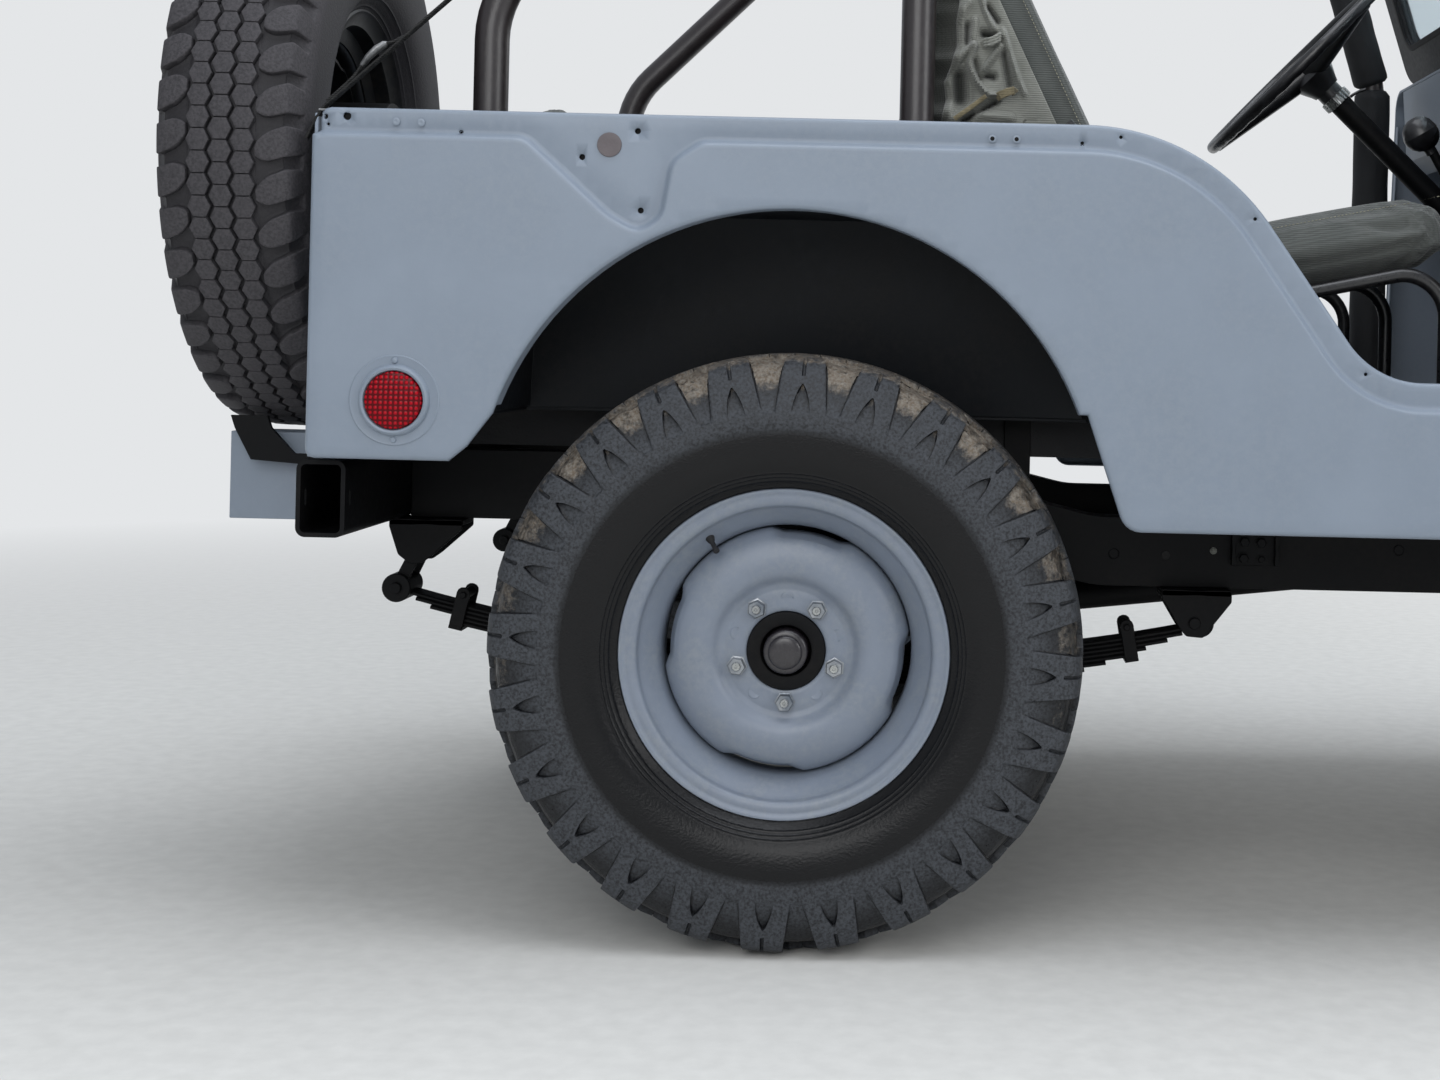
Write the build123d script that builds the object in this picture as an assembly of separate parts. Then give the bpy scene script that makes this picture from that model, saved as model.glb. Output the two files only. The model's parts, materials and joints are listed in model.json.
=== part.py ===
from build123d import *
from math import cos, radians, sin, sqrt, tan
import os

os.makedirs("parts", exist_ok=True)

# Frame: +X forward, +Y to the vehicle's left, +Z up, millimetres.
# The origin lies on the ground, half way along the vehicle and on its centre line.
# Heights below are measured from the body's datum plane, which lies DATUM_RISE above the ground,
# and save() lifts each finished piece by that much.

# Overall driving dimensions
OVERALL_LENGTH = 3526.0
REAR_OVERHANG = 856.0
WHEELBASE = 2057.0
TRACK = 1247.0
TUB_HALF_WIDTH = 752.0
FENDER_HALF_WIDTH = 773.0
SHEET = 5.0
DATUM_RISE = 22.0
SEAT_GAP = 0.3

REAR_AXLE_X = REAR_OVERHANG - OVERALL_LENGTH / 2
FRONT_AXLE_X = REAR_AXLE_X + WHEELBASE
FRONT_FACE_X = OVERALL_LENGTH / 2
WHEEL_Y = TRACK / 2

# Tyre and wheel
TYRE_OD = 812.0
TYRE_WIDTH = 208.0
RIM_OD = 446.0
RIM_WIDTH = 150.0
RIM_WALL = 6.0
BEAD_RADIUS = 204.0
WELL_RADIUS = 176.0
DISC_FACE = 22.0
DISC_WALL = 5.0
NUT_PLATEAU = 14.0
SLOT_LENGTH = 104.0
HUB_RADIUS = 54.0
CAP_RADIUS = 30.0
STUD_CIRCLE = 139.7
STUD_COUNT = 5
NUT_LENGTH = 18.0
DRUM_RADIUS = 150.0
AXLE_Z = TYRE_OD / 2 - DATUM_RISE

# Tub: stations are measured forward from the rear axle
TUB_BACK = -635.0
TUB_TOP_Z = 1102.0
TAIL_BOTTOM_Z = 637.0
ROCKER_BOTTOM_Z = 564.0
STEP_Z = 1067.0
STEP_DEPTH = 9.0
ARCH_CENTRE = (2.0, 568.0)
ARCH_RADIUS = 412.0
SHOULDER_START = 388.0
SHOULDER_RADIUS = 302.0
SHOULDER_TURN = 55.0
SILL_Z = 770.0
SILL_BACK = 836.0
SILL_FRONT = 1000.0
DASH_X = 1130.0
COWL_Z = 1350.0
COWL_FRONT = 1400.0
COWL_FRONT_HALF_WIDTH = 610.0
COWL_CORNER = 45.0
POST_FRONT = 1160.0
SHELF_FRONT = 1700.0
SIDE_FRONT = 1560.0

# Floors and wheel boxes
REAR_FLOOR_Z = 702.0
RIB_HEIGHT = 5.0
FRONT_FLOOR_Z = 600.0
FLOOR_STEP = 640.0
BOX_INNER_Y = 450.0
BOX_TOP_Z = 990.0
TOE_FOOT = 1330.0
FIREWALL = 1430.0

# Hood, grille and fenders
HOOD_FRONT = 2440.0
HOOD_FRONT_Z = 1268.0
HOOD_FRONT_HALF_WIDTH = 455.0
HOOD_CORNER = 70.0
HOOD_GAP = 6.0
GRILLE_BOTTOM_Z = 650.0
GRILLE_DEPTH = 30.0
GRILLE_SLOTS = 9
SLOT_PITCH = 44.0
SLOT_WIDTH = 24.0
SLOT_HEIGHT = 330.0
SLOT_Z = 950.0
LAMP_Y = 325.0
LAMP_Z = 1030.0
LAMP_RADIUS = 88.0
MARKER_Z = 850.0
MARKER_RADIUS = 30.0
HINGE_Y = 300.0
APRON_LOW_Z = 770.0
FENDER_TOP_Z = 1085.0
FENDER_FOOT_Z = 640.0
FENDER_ARCH_Z = 560.0
FENDER_ARCH_RADIUS = 432.0
FENDER_CORNER = 45.0

# Chassis
RAIL_OUTER_Y = 371.0
RAIL_WIDTH = 52.0
RAIL_DEPTH = 104.0
RAIL_BOTTOM_Z = 449.0
RAIL_TAIL_BOTTOM_Z = 528.0
RAIL_FRONT_Z = 520.0
ENGINE_BEARER_Z = 530.0
CROSSBAR_BACK = -659.0
CROSSBAR_LENGTH = 66.0
CROSSBAR_HALF_WIDTH = 705.0
CROSSBAR_WALL = 6.0
BUMPER_HALF_WIDTH = 640.0
BUMPER_HEIGHT = 125.0
BUMPER_DEPTH = 48.0
BUMPER_BOTTOM_Z = 530.0
BUMPER_BACK = OVERALL_LENGTH - REAR_OVERHANG - BUMPER_DEPTH
BUMPERETTE_Y = 455.0
RAIL_TAPER = 16.0
SPRING_Y = 366.0
FRONT_SPRING_Y = 326.0
SPRING_WIDTH = 45.0
LEAF = 7.0
LEAF_COUNT = 7
LEAF_EYE = 18.0
AXLE_TUBE_RADIUS = 38.0
DIFF_Y = -140.0
DIFF_RADIUS = 118.0
FLANGE_REACH = 205.0
TRANSFER = (1010.0, 1310.0)
SHAFT_Z = 470.0

# Roll cage
CAGE_TUBE = 48.0
CAGE_PAD = 70.0
CAGE_Y = 600.0
CAGE_TOP_Z = 1849.0
CAGE_INSET = 40.0
HOOP_X = 160.0
CAGE_REAR_X = -434.0
CAGE_REAR_BEND_Z = 1280.0
CAGE_FRONT_X = 1052.0
CAGE_FRONT_BEND_Z = 1341.0
SCREEN_RAKE = 17.5

# Spare wheel
SPARE_Y = -358.0
SPARE_Z = 1068.0

# Reflector, straps and dials
REFLECTOR = (-517.0, 716.0)
REFLECTOR_RADIUS = 38.5
STRAP_RADIUS = 4.5
DIALS = [  # across, height, radius
    (60.0, 1270.0, 48.0),
    (-40.0, 1255.0, 24.0),
    (-100.0, 1255.0, 24.0),
    (150.0, 1255.0, 24.0),
    (210.0, 1255.0, 24.0),
]

# Controls
STEERING_Y = 355.0
STEERING_X = 862.0
STEERING_Z = 1352.0
STEERING_RADIUS = 225.0
STEERING_RIM = 22.0
COLUMN_ANGLE = 44.0
COLUMN_RADIUS = 21.0
COLUMN_SHAFT = 11.0
COLUMN_END = 1010.0
COLUMN_BRACKET = 420.0
HUB_DROP = 45.0
KNOB = (1010.0, -10.0, 1180.0)
KNOB_RADIUS = 26.0
DASH_HALF_WIDTH = 670.0
DASH_LOW_Z = COWL_Z - 178.0
RUNNING_GAP = 5.5
SPINDLE_RADIUS = 24.0
SPINDLE_TIP = 40.0
KINGPIN_REACH = 96.0
KNUCKLE_GAP = 5.0
JOINT_STUD = 8.0
JOINT_CLEARANCE = 0.5
KINGPIN_Y = 505.0
STEERING_ARM = 128.0
STEERING_ARM_Z = AXLE_Z - 69.0
TIE_ROD_DROP = 42.0

# Windscreen, folding forward about a line just above the cowl
SCREEN_X = 1162.0
SCREEN_Z = 1363.0
SCREEN_HALF_WIDTH = 690.0
SCREEN_HEIGHT = 495.0
SCREEN_DEPTH = 30.0
SCREEN_SIDE = 62.0
SCREEN_POST = 44.0
SCREEN_BASE = 66.0
SCREEN_HEAD = 48.0
SCREEN_GLASS = 6.0
SCREEN_HINGE_Y = 560.0
SCREEN_HINGE = (1188.0, 1366.0)
HOOD_HINGE = (1403.0, 1356.0)
PIN_RADIUS = 4.0
PIN_CLEARANCE = 0.4

# Seats
SEAT_Y = 355.0
SEAT_WIDTH = 430.0
CUSHION_TILT = 12.0
CUSHION_THICK = 95.0
CUSHION_REAR = (470.0, 948.0)
CUSHION_LENGTH = 470.0
BACK_LEAN = 26.0
BACK_FOOT = (480.0, 985.0)
BACK_THICK = 110.0
BACK_LENGTH = 500.0
SEAT_TUBE = 21.0
BENCH_BACK = -330.0
BENCH_Z = 905.0
BENCH_HALF_WIDTH = 400.0
BENCH_BACK_HEIGHT = 190.0
BENCH_LEAN = 14.0
BENCH_PAD = 70.0


def rx(x):
    """A station given forward of the rear axle, in the vehicle's frame."""
    return REAR_AXLE_X + x


def box(x0, x1, y0, y1, z0, z1):
    """An upright block between two corners."""
    centre = Pos((x0 + x1) / 2, (y0 + y1) / 2, (z0 + z1) / 2)
    return centre * Box(x1 - x0, y1 - y0, z1 - z0)


def rod(start, end, radius):
    """A round bar from one point to another."""
    a, b = Vector(*start), Vector(*end)
    plane = Plane(origin=a, z_dir=b - a)
    return plane * Cylinder(radius, (b - a).length, align=(Align.CENTER, Align.CENTER, Align.MIN))


def bent_tube(points, bend, radius):
    """A round bar along straight runs joined by tangent bends."""
    path = FilletPolyline(*points, radius=bend)
    section = Plane(origin=path @ 0, z_dir=path % 0) * Circle(radius)
    return sweep(section, path=path)


def side_plate(face, y0, y1):
    """A side-view face, drawn as (x, z), given its thickness across the vehicle."""
    return extrude(Plane.XZ.offset(-max(y0, y1)) * face, amount=abs(y1 - y0))


def cross_plate(face, x0, x1):
    """A rear-view face, drawn as (y, z), given its length along the vehicle."""
    return extrude(Plane.YZ.offset(x0) * face, amount=x1 - x0)


def level_plate(face, z0, z1):
    """A plan-view face given its height."""
    return extrude(Plane.XY.offset(z0) * face, amount=z1 - z0)


def polygon(points):
    """A flat face inside a ring of straight edges."""
    return make_face(Polyline(*points, close=True))


def station_polygon(points):
    """A side-view face whose x values are measured forward from the rear axle."""
    return polygon([(rx(x), z) for x, z in points])


def round_corners(face, corners):
    """Rounds the corners of a face that lie nearest to the given (x, y, radius) rows."""
    for x, y, radius in corners:
        nearest = face.vertices().sort_by_distance(Vector(x, y, 0))[0]
        face = fillet([nearest], radius)
    return face


def both_sides(part):
    """A part together with its mirror image across the centre line."""
    return [part, mirror(part, about=Plane.XZ)]


def solids_of(parts):
    """All the separate solids of a list of parts, in one compound."""
    found = []
    for part in parts:
        found += part.solids()
    return Compound(children=found)


def save(node, part):
    """Writes one sub-part to its own file."""
    solids = [solid.moved(Location((0, 0, DATUM_RISE))) for solid in part.solids()]
    shape = solids[0] if len(solids) == 1 else Compound(children=solids)
    export_step(shape, f"parts/{node}.step")


# Wheels


def tyre_solid():
    """Balloon tyre standing on its rim, axis along Y, centred on the origin."""
    r, half = TYRE_OD / 2, TYRE_WIDTH / 2
    bead = -RIM_WIDTH / 2 + 11
    rows = [  # across the wheel, out from the axle
        (bead, BEAD_RADIUS),
        (bead, RIM_OD / 2 + 2),
        (-half + 4, BEAD_RADIUS + 62),
        (-half, BEAD_RADIUS + 92),
        (-half + 3, r - 52),
        (-half + 12, r - 22),
        (-half + 22, r - 9),
        (-half + 46, r - 2),
        (0, r),
    ]
    ring = rows + [(-across, out) for across, out in reversed(rows[:-1])]
    return revolve(polygon([(out, across) for across, out in ring]), axis=Axis.Y)


def rim_solid():
    """Rolled steel rim with its drop centre, axis along Y, outer face towards +Y."""
    flange, seat, well = RIM_OD / 2, BEAD_RADIUS - SEAT_GAP, WELL_RADIUS
    half, wall = RIM_WIDTH / 2, RIM_WALL
    outer = [
        (flange, -half), (flange - 4, -half + 8), (seat, -half + 10), (seat - 4, -half + 32),
        (well, -half + 44), (well, half - 58), (seat - 4, half - 34), (seat, half - 10),
        (flange - 4, half - 8), (flange, half),
    ]
    inner = [
        (flange - wall, half), (flange - wall - 2, half - 3), (seat - wall, half - 4),
        (seat - wall - 5, half - 32), (well - wall, half - 56), (well - wall, -half + 42),
        (seat - wall - 5, -half + 30), (seat - wall, -half + 4),
        (flange - wall - 2, -half + 3), (flange - wall, -half),
    ]
    return revolve(polygon(outer + inner), axis=Axis.Y)


def disc_solid():
    """Pressed wheel disc: dished nut plateau, domed shoulder, four slots at its rim and five nuts."""
    edge = WELL_RADIUS - RIM_WALL + 1 - DISC_WALL / 2
    middle = DISC_FACE + NUT_PLATEAU - DISC_WALL / 2
    sheet = FilletPolyline(  # out from the axle, across the wheel
        (HUB_RADIUS, middle), (90, middle), (104, middle + 12), (126, middle + 14), (152, middle + 5),
        (edge - 5, middle - 12), (edge, middle - 24), (edge, middle - 46),
        radius=[8, 8, 40, 30, 8, 8],
    )
    disc = revolve(trace(sheet, line_width=DISC_WALL), axis=Axis.Y)
    slot = Box(26, 60, SLOT_LENGTH)
    for quarter in range(4):
        turn = Rot(0, 12 + 90 * quarter, 0)
        disc -= turn * Pos(edge + 7, DISC_FACE - 6, 0) * slot
    nut = Rot(90, 0, 0) * extrude(RegularPolygon(13, 6), amount=NUT_LENGTH / 2, both=True)
    for stud in range(STUD_COUNT):
        turn = Rot(0, 90 + 360 / STUD_COUNT * stud, 0)
        disc += turn * Pos(STUD_CIRCLE / 2, DISC_FACE + NUT_PLATEAU - 2 + NUT_LENGTH / 2, 0) * nut
    return disc


def hub_and_drum():
    """Hub with its flange ring and cap, and the brake drum behind the disc."""
    back = -RIM_WIDTH / 2 + 8
    face = DISC_FACE + NUT_PLATEAU
    rows = [  # out from the axle, across the wheel
        (0, back), (DRUM_RADIUS, back), (DRUM_RADIUS, back + 58), (DRUM_RADIUS - 12, back + 70),
        (96, back + 74), (88, face - DISC_WALL), (HUB_RADIUS, face - DISC_WALL),
        (HUB_RADIUS, face + 1), (HUB_RADIUS - 3, face + 3), (CAP_RADIUS + 5, face + 3), (CAP_RADIUS + 3, face - 4),
        (CAP_RADIUS, face - 4), (CAP_RADIUS, face + 14), (CAP_RADIUS - 3, face + 17), (CAP_RADIUS - 8, face + 18),
        (CAP_RADIUS - 10, face + 22), (0, face + 24),
    ]
    hub = revolve(polygon(rows), axis=Axis.Y)
    return hub - rod((0, back - 1, 0), (0, SPINDLE_TIP + 2, 0), SPINDLE_RADIUS + PIN_CLEARANCE)


def wheel_solid():
    """Whole road wheel: rim, disc, hub and drum."""
    return rim_solid() + disc_solid() + hub_and_drum()


def spare_wheel_solid():
    """Rim and disc alone, as it hangs on its bracket."""
    return rim_solid() + disc_solid()


# Tub


def tub_side_face():
    """Side view of the tub's outer panel, from the tail to the front of the cowl."""
    turn = radians(SHOULDER_TURN)
    shoulder_end = (
        SHOULDER_START + SHOULDER_RADIUS * sin(turn),
        TUB_TOP_Z - SHOULDER_RADIUS * (1 - cos(turn)),
    )
    foot_x = shoulder_end[0] + (shoulder_end[1] - SILL_Z) / tan(turn)
    shelf_low = FENDER_TOP_Z - SHEET - SEAT_GAP
    outline = station_polygon([
        (TUB_BACK, TAIL_BOTTOM_Z), (TUB_BACK, TUB_TOP_Z),
        (SHOULDER_START + SHOULDER_RADIUS * tan(turn / 2), TUB_TOP_Z), (foot_x, SILL_Z),
        (DASH_X - 14, SILL_Z), (DASH_X, COWL_Z - COWL_CORNER), (POST_FRONT, COWL_Z - COWL_CORNER),
        (POST_FRONT, shelf_low), (SHELF_FRONT, shelf_low), (SIDE_FRONT, FENDER_FOOT_Z),
        (SIDE_FRONT, ROCKER_BOTTOM_Z),
        (ARCH_CENTRE[0] + 448, ROCKER_BOTTOM_Z), (ARCH_CENTRE[0] + 395, TAIL_BOTTOM_Z + 80),
        (ARCH_CENTRE[0] + 300, TAIL_BOTTOM_Z + 80), (-300, TAIL_BOTTOM_Z + 70),
        (-384, TAIL_BOTTOM_Z + 70), (-436, TAIL_BOTTOM_Z),
    ])
    cx, cz = rx(ARCH_CENTRE[0]), ARCH_CENTRE[1]
    outline -= Pos(cx, cz) * Circle(ARCH_RADIUS)
    outline -= offset(fender_outline(), SEAT_GAP)
    corners = [
        (rx(SHOULDER_START + SHOULDER_RADIUS * tan(turn / 2)), TUB_TOP_Z, SHOULDER_RADIUS),
        (rx(foot_x), SILL_Z, 120), (rx(DASH_X - 14), SILL_Z, SILL_FRONT - SILL_BACK - 34),
        (rx(ARCH_CENTRE[0] + 448), ROCKER_BOTTOM_Z, 30), (rx(-436), TAIL_BOTTOM_Z, 50),
        (rx(TUB_BACK), TAIL_BOTTOM_Z, 12),
    ]
    return round_corners(outline.faces().sort_by(SortBy.AREA)[-1], corners)


def step_face():
    """Side view of the pressed lower field, which stands proud of the band above it."""
    field = station_polygon([
        (TUB_BACK, 400), (TUB_BACK, STEP_Z), (-355, STEP_Z), (-243, 967), (-203, 945), (-172, 966),
        (-160, 1040), (-120, STEP_Z), (SHOULDER_START + 20, STEP_Z), (SHOULDER_START + 250, 930),
        (SHOULDER_START + 350, 790), (SILL_BACK + 40, SILL_Z - 38), (SIDE_FRONT, SILL_Z - 38),
        (SIDE_FRONT, 400),
    ])
    corners = [
        (rx(-355), STEP_Z, 30), (rx(-243), 967, 60), (rx(-203), 945, 24), (rx(-172), 966, 24),
        (rx(-160), 1040, 30), (rx(-120), STEP_Z, 24), (rx(SHOULDER_START + 20), STEP_Z, 200),
        (rx(SHOULDER_START + 250), 930, 200), (rx(SHOULDER_START + 350), 790, 100),
        (rx(SILL_BACK + 40), SILL_Z - 38, 90),
    ]
    return round_corners(field, corners)


def side_panel(side):
    """Outer side panel with its pressed field, folded top rail and arch lip."""
    outer = TUB_HALF_WIDTH
    face = tub_side_face()
    sheet = side_plate(face, outer - STEP_DEPTH - SHEET, outer - STEP_DEPTH)
    raised = side_plate(face, outer - STEP_DEPTH - SHEET, outer) & side_plate(step_face(), 0, outer)
    panel = sheet + raised
    lip = side_plate(Pos(rx(ARCH_CENTRE[0]), ARCH_CENTRE[1]) * Circle(ARCH_RADIUS + 5), outer - 36, outer)
    lip -= side_plate(Pos(rx(ARCH_CENTRE[0]), ARCH_CENTRE[1]) * Circle(ARCH_RADIUS), outer - 40, outer + 4)
    lip &= box(rx(-500), rx(500), 0, outer + 5, TAIL_BOTTOM_Z + 75, TUB_TOP_Z)
    panel += lip
    inner = outer - STEP_DEPTH - SHEET
    rail = box(rx(TUB_BACK + SHEET), rx(SHOULDER_START), inner - 26, inner, TUB_TOP_Z - SHEET, TUB_TOP_Z)
    panel += rail
    panel = Part() + panel
    return panel if side > 0 else mirror(panel, about=Plane.XZ)


def wheel_box_face(grow):
    """Side view of the wheel box, grown outwards by one wall when asked."""
    face = station_polygon([
        (-400, REAR_FLOOR_Z - 2), (-396, 800), (-300, 920), (-190, BOX_TOP_Z - SHEET),
        (194, BOX_TOP_Z - SHEET), (304, 920), (402, 800), (412, REAR_FLOOR_Z - 2),
    ])
    return offset(face, grow) if grow else face


def wheel_boxes():
    """Boxed wheel housings inside the load bed, open below and towards the arch."""
    outer_y = TUB_HALF_WIDTH - STEP_DEPTH - SHEET - SEAT_GAP
    shell = side_plate(wheel_box_face(SHEET), BOX_INNER_Y, outer_y)
    shell -= side_plate(wheel_box_face(0), BOX_INNER_Y + SHEET, outer_y + 1)
    shell -= box(rx(-600), rx(600), 0, outer_y + 1, 0, REAR_FLOOR_Z)
    shell -= side_plate(wheel_box_face(0), BOX_INNER_Y + SHEET, outer_y + 1)
    return solids_of(both_sides(shell))


def floor_pan():
    """Load floor, riser, footwell floor, toe board and firewall in one pressing."""
    half = TUB_HALF_WIDTH - STEP_DEPTH - SHEET - SEAT_GAP
    thick = SHEET
    profile = station_polygon([
        (TUB_BACK + SHEET + SEAT_GAP, REAR_FLOOR_Z), (FLOOR_STEP, REAR_FLOOR_Z),
        (FLOOR_STEP, FRONT_FLOOR_Z), (TOE_FOOT, FRONT_FLOOR_Z), (FIREWALL, 800),
        (FIREWALL, COWL_Z - 60), (FIREWALL + thick, COWL_Z - 60), (FIREWALL + thick, 800 - 2),
        (TOE_FOOT + 3, FRONT_FLOOR_Z - thick), (FLOOR_STEP - thick, FRONT_FLOOR_Z - thick),
        (FLOOR_STEP - thick, REAR_FLOOR_Z - thick), (TUB_BACK + SHEET + SEAT_GAP, REAR_FLOOR_Z - thick),
    ])
    pan = side_plate(profile, -half, half)
    for sign in (-1, 1):
        y0, y1 = sorted((sign * (BOX_INNER_Y - SEAT_GAP), sign * (half + 1)))
        pan -= box(rx(-406), rx(418), y0, y1, REAR_FLOOR_Z - 40, REAR_FLOOR_Z + 20)
    cowl_half = COWL_FRONT_HALF_WIDTH - 30
    for sign in (-1, 1):
        y0, y1 = sorted((sign * cowl_half, sign * (half + 1)))
        pan -= box(rx(FIREWALL - 1), rx(FIREWALL + 30), y0, y1, FENDER_TOP_Z - 40, COWL_Z)
    for rib in range(-3, 4):
        pan += box(rx(TUB_BACK + 60), rx(FLOOR_STEP - 60), rib * 120 - 9, rib * 120 + 9,
                   REAR_FLOOR_Z - 1, REAR_FLOOR_Z + RIB_HEIGHT)
    return pan


def rear_panel():
    """Tail panel across the load bed with its folded edges and pressed stiffeners."""
    half = TUB_HALF_WIDTH - STEP_DEPTH - SHEET - SEAT_GAP
    x0, x1 = rx(TUB_BACK), rx(TUB_BACK + SHEET)
    panel = box(x0, x1, -half, half, TAIL_BOTTOM_Z + 1, TUB_TOP_Z - 8)
    panel += box(x0, x1 + 22, -half + 60, half - 60, TUB_TOP_Z - 16, TUB_TOP_Z - 8)
    for y in (120, 300, 480):
        panel += box(x1 - 1, x1 + 6, y - 12, y + 12, REAR_FLOOR_Z + 40, TUB_TOP_Z - 60)
    return panel


def spare_carrier():
    """Pressed bracket that stands off the tail panel and takes the spare wheel's disc."""
    x1 = rx(TUB_BACK) - SEAT_GAP
    disc_back = spare_centre_x() - DISC_FACE - 14 + DISC_WALL
    plate = x1 - 6
    carrier = box(plate, x1, SPARE_Y - 90, SPARE_Y + 90, SPARE_Z - 130, TUB_TOP_Z - 20)
    carrier += rod((disc_back + SEAT_GAP, SPARE_Y, SPARE_Z), (x1, SPARE_Y, SPARE_Z), 84)
    return carrier


def spare_centre_x():
    """Middle plane of the spare tyre, whose back is the vehicle's last point."""
    return -OVERALL_LENGTH / 2 + TYRE_WIDTH / 2


def cowl_section(x, half, top, corner):
    """Half-round cornered section of the cowl across the vehicle."""
    low = FENDER_TOP_Z - SHEET + 2
    face = polygon([(-half, low), (half, low), (half, top), (-half, top)])
    face = fillet([v for v in face.vertices() if v.Y > low + 1], corner)
    return Plane.YZ.offset(rx(x)) * face


def cowl():
    """Cowl between the dash and the hood: top and drawn-in sides, open below."""
    half = TUB_HALF_WIDTH - STEP_DEPTH - SHEET - SEAT_GAP
    outside = loft([
        cowl_section(DASH_X, half, COWL_Z, COWL_CORNER),
        cowl_section(COWL_FRONT, COWL_FRONT_HALF_WIDTH, COWL_Z - 4, COWL_CORNER),
    ])
    inside = loft([
        cowl_section(DASH_X - 1, half - SHEET, COWL_Z - SHEET, COWL_CORNER - SHEET),
        cowl_section(COWL_FRONT + 1, COWL_FRONT_HALF_WIDTH - SHEET, COWL_Z - 4 - SHEET, COWL_CORNER - SHEET),
    ])
    part = outside - inside
    shelf = polygon([
        (rx(DASH_X + 6), half - 12), (rx(COWL_FRONT), COWL_FRONT_HALF_WIDTH - 12),
        (rx(SHELF_FRONT), COWL_FRONT_HALF_WIDTH - 60), (rx(SHELF_FRONT), half), (rx(DASH_X + 6), half),
    ])
    for piece in both_sides(level_plate(shelf, FENDER_TOP_Z - SHEET, FENDER_TOP_Z)):
        part += piece
    return part


def hinge_line(x, z, y, foot_z, foot_x):
    """Two ears and their pin, which carry one hinge eye between them."""
    ears = rod((x, y - 26, z), (x, y + 26, z), PIN_RADIUS)
    for side in (-1, 1):
        y0, y1 = sorted((y + side * 17, y + side * 23))
        ears += box(min(x - 8, foot_x), x + 8, y0, y1, foot_z, z + 8)
    return ears


def hinge_eye(x, z, y, arm_to):
    """Barrel that turns on a hinge pin, with a short arm to the panel it carries."""
    eye = rod((x, y - 15, z), (x, y + 15, z), PIN_RADIUS + 5)
    low, high = sorted((x, arm_to[0]))
    base, top = sorted((z, arm_to[1]))
    eye += box(low, high, y - 15, y + 15, base - 3, top + 3)
    return eye - rod((x, y - 20, z), (x, y + 20, z), PIN_RADIUS + PIN_CLEARANCE)


# Hood, fenders and grille


def hood_section(x, half, top, grow):
    """Section of the hood across the vehicle, drawn in by the given wall."""
    low = FENDER_TOP_Z + HOOD_GAP
    face = polygon([
        (-half + grow, low - 2 * grow), (half - grow, low - 2 * grow),
        (half - 14 - grow, top - grow), (-half + 14 + grow, top - grow),
    ])
    face = fillet([v for v in face.vertices() if v.Y > low + 20], HOOD_CORNER - grow)
    return Plane.YZ.offset(rx(x)) * face


def hood():
    """Hood skin: a tapering rounded shell, open below and at both ends, with its hinge eyes."""
    back, front = COWL_FRONT + HOOD_GAP, HOOD_FRONT
    shell = loft([
        hood_section(back, COWL_FRONT_HALF_WIDTH, COWL_Z - 4, 0),
        hood_section(front, HOOD_FRONT_HALF_WIDTH, HOOD_FRONT_Z, 0),
    ])
    shell -= loft([
        hood_section(back - 1, COWL_FRONT_HALF_WIDTH, COWL_Z - 4, SHEET),
        hood_section(front + 1, HOOD_FRONT_HALF_WIDTH, HOOD_FRONT_Z, SHEET),
    ])
    shell &= hood_reach(0)
    for y in (-HINGE_Y, HINGE_Y):
        shell += hinge_eye(rx(HOOD_HINGE[0]), HOOD_HINGE[1], y, (rx(back + 40), COWL_Z - 6))
    return shell


def hood_reach(gap):
    """Drum about the hood's hinge line which its front edge just stays inside as it lifts."""
    x, z = rx(HOOD_HINGE[0]), HOOD_HINGE[1]
    reach = sqrt((HOOD_FRONT - HOOD_HINGE[0]) ** 2 + (HOOD_HINGE[1] - HOOD_FRONT_Z) ** 2) + gap
    return rod((x, -TUB_HALF_WIDTH, z), (x, TUB_HALF_WIDTH, z), reach)


def fender_outline():
    """Side view of a front fender, its wheel arch still filled."""
    top = FENDER_TOP_Z
    face = station_polygon([
        (1640, FENDER_FOOT_Z), (2460, 705), (2588, 705), (2596, 930), (2500, top), (1800, top),
        (1620, top - 60), (1490, 800), (1470, FENDER_FOOT_Z),
    ])
    return round_corners(face, [
        (rx(2596), 930, 120), (rx(2500), top, 60), (rx(1800), top, 200), (rx(1620), top - 60, 160),
        (rx(1490), 800, 120),
    ])


def fender_face():
    """Side view of a front fender between its top line and its wheel arch."""
    face = fender_outline() - Pos(FRONT_AXLE_X, FENDER_ARCH_Z) * Circle(FENDER_ARCH_RADIUS)
    return face.faces().sort_by(SortBy.AREA)[-1]


def fender():
    """Left front fender: top skin, outer skirt and inner apron in one pressed shell."""
    outer, inner = FENDER_HALF_WIDTH, HOOD_FRONT_HALF_WIDTH + SEAT_GAP
    skin = side_plate(fender_face(), inner, outer)
    skin = fillet([e for e in skin.edges() if is_top_edge(e.center(), outer)], FENDER_CORNER)
    cavity = side_plate(offset(fender_face(), -SHEET), inner + SHEET, outer - SHEET)
    rounded = [e for e in cavity.edges() if is_top_edge(e.center(), outer - SHEET)]
    skin -= fillet(rounded, FENDER_CORNER - SHEET)
    well = Pos(FRONT_AXLE_X, FENDER_ARCH_Z) * Circle(FENDER_ARCH_RADIUS + 1)
    apron = side_plate(well, inner, inner + SHEET) & box(rx(1000), rx(3000), 0, outer, APRON_LOW_Z, 2000)
    return skin + apron


def is_top_edge(point, outer):
    """Whether a point lies on the rounded outline of the fender's outer face."""
    reach = sqrt((point.X - FRONT_AXLE_X) ** 2 + (point.Z - FENDER_ARCH_Z) ** 2)
    return point.Y > outer - 1 and reach > FENDER_ARCH_RADIUS + 20 and point.Z > FENDER_FOOT_Z + 70


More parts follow.
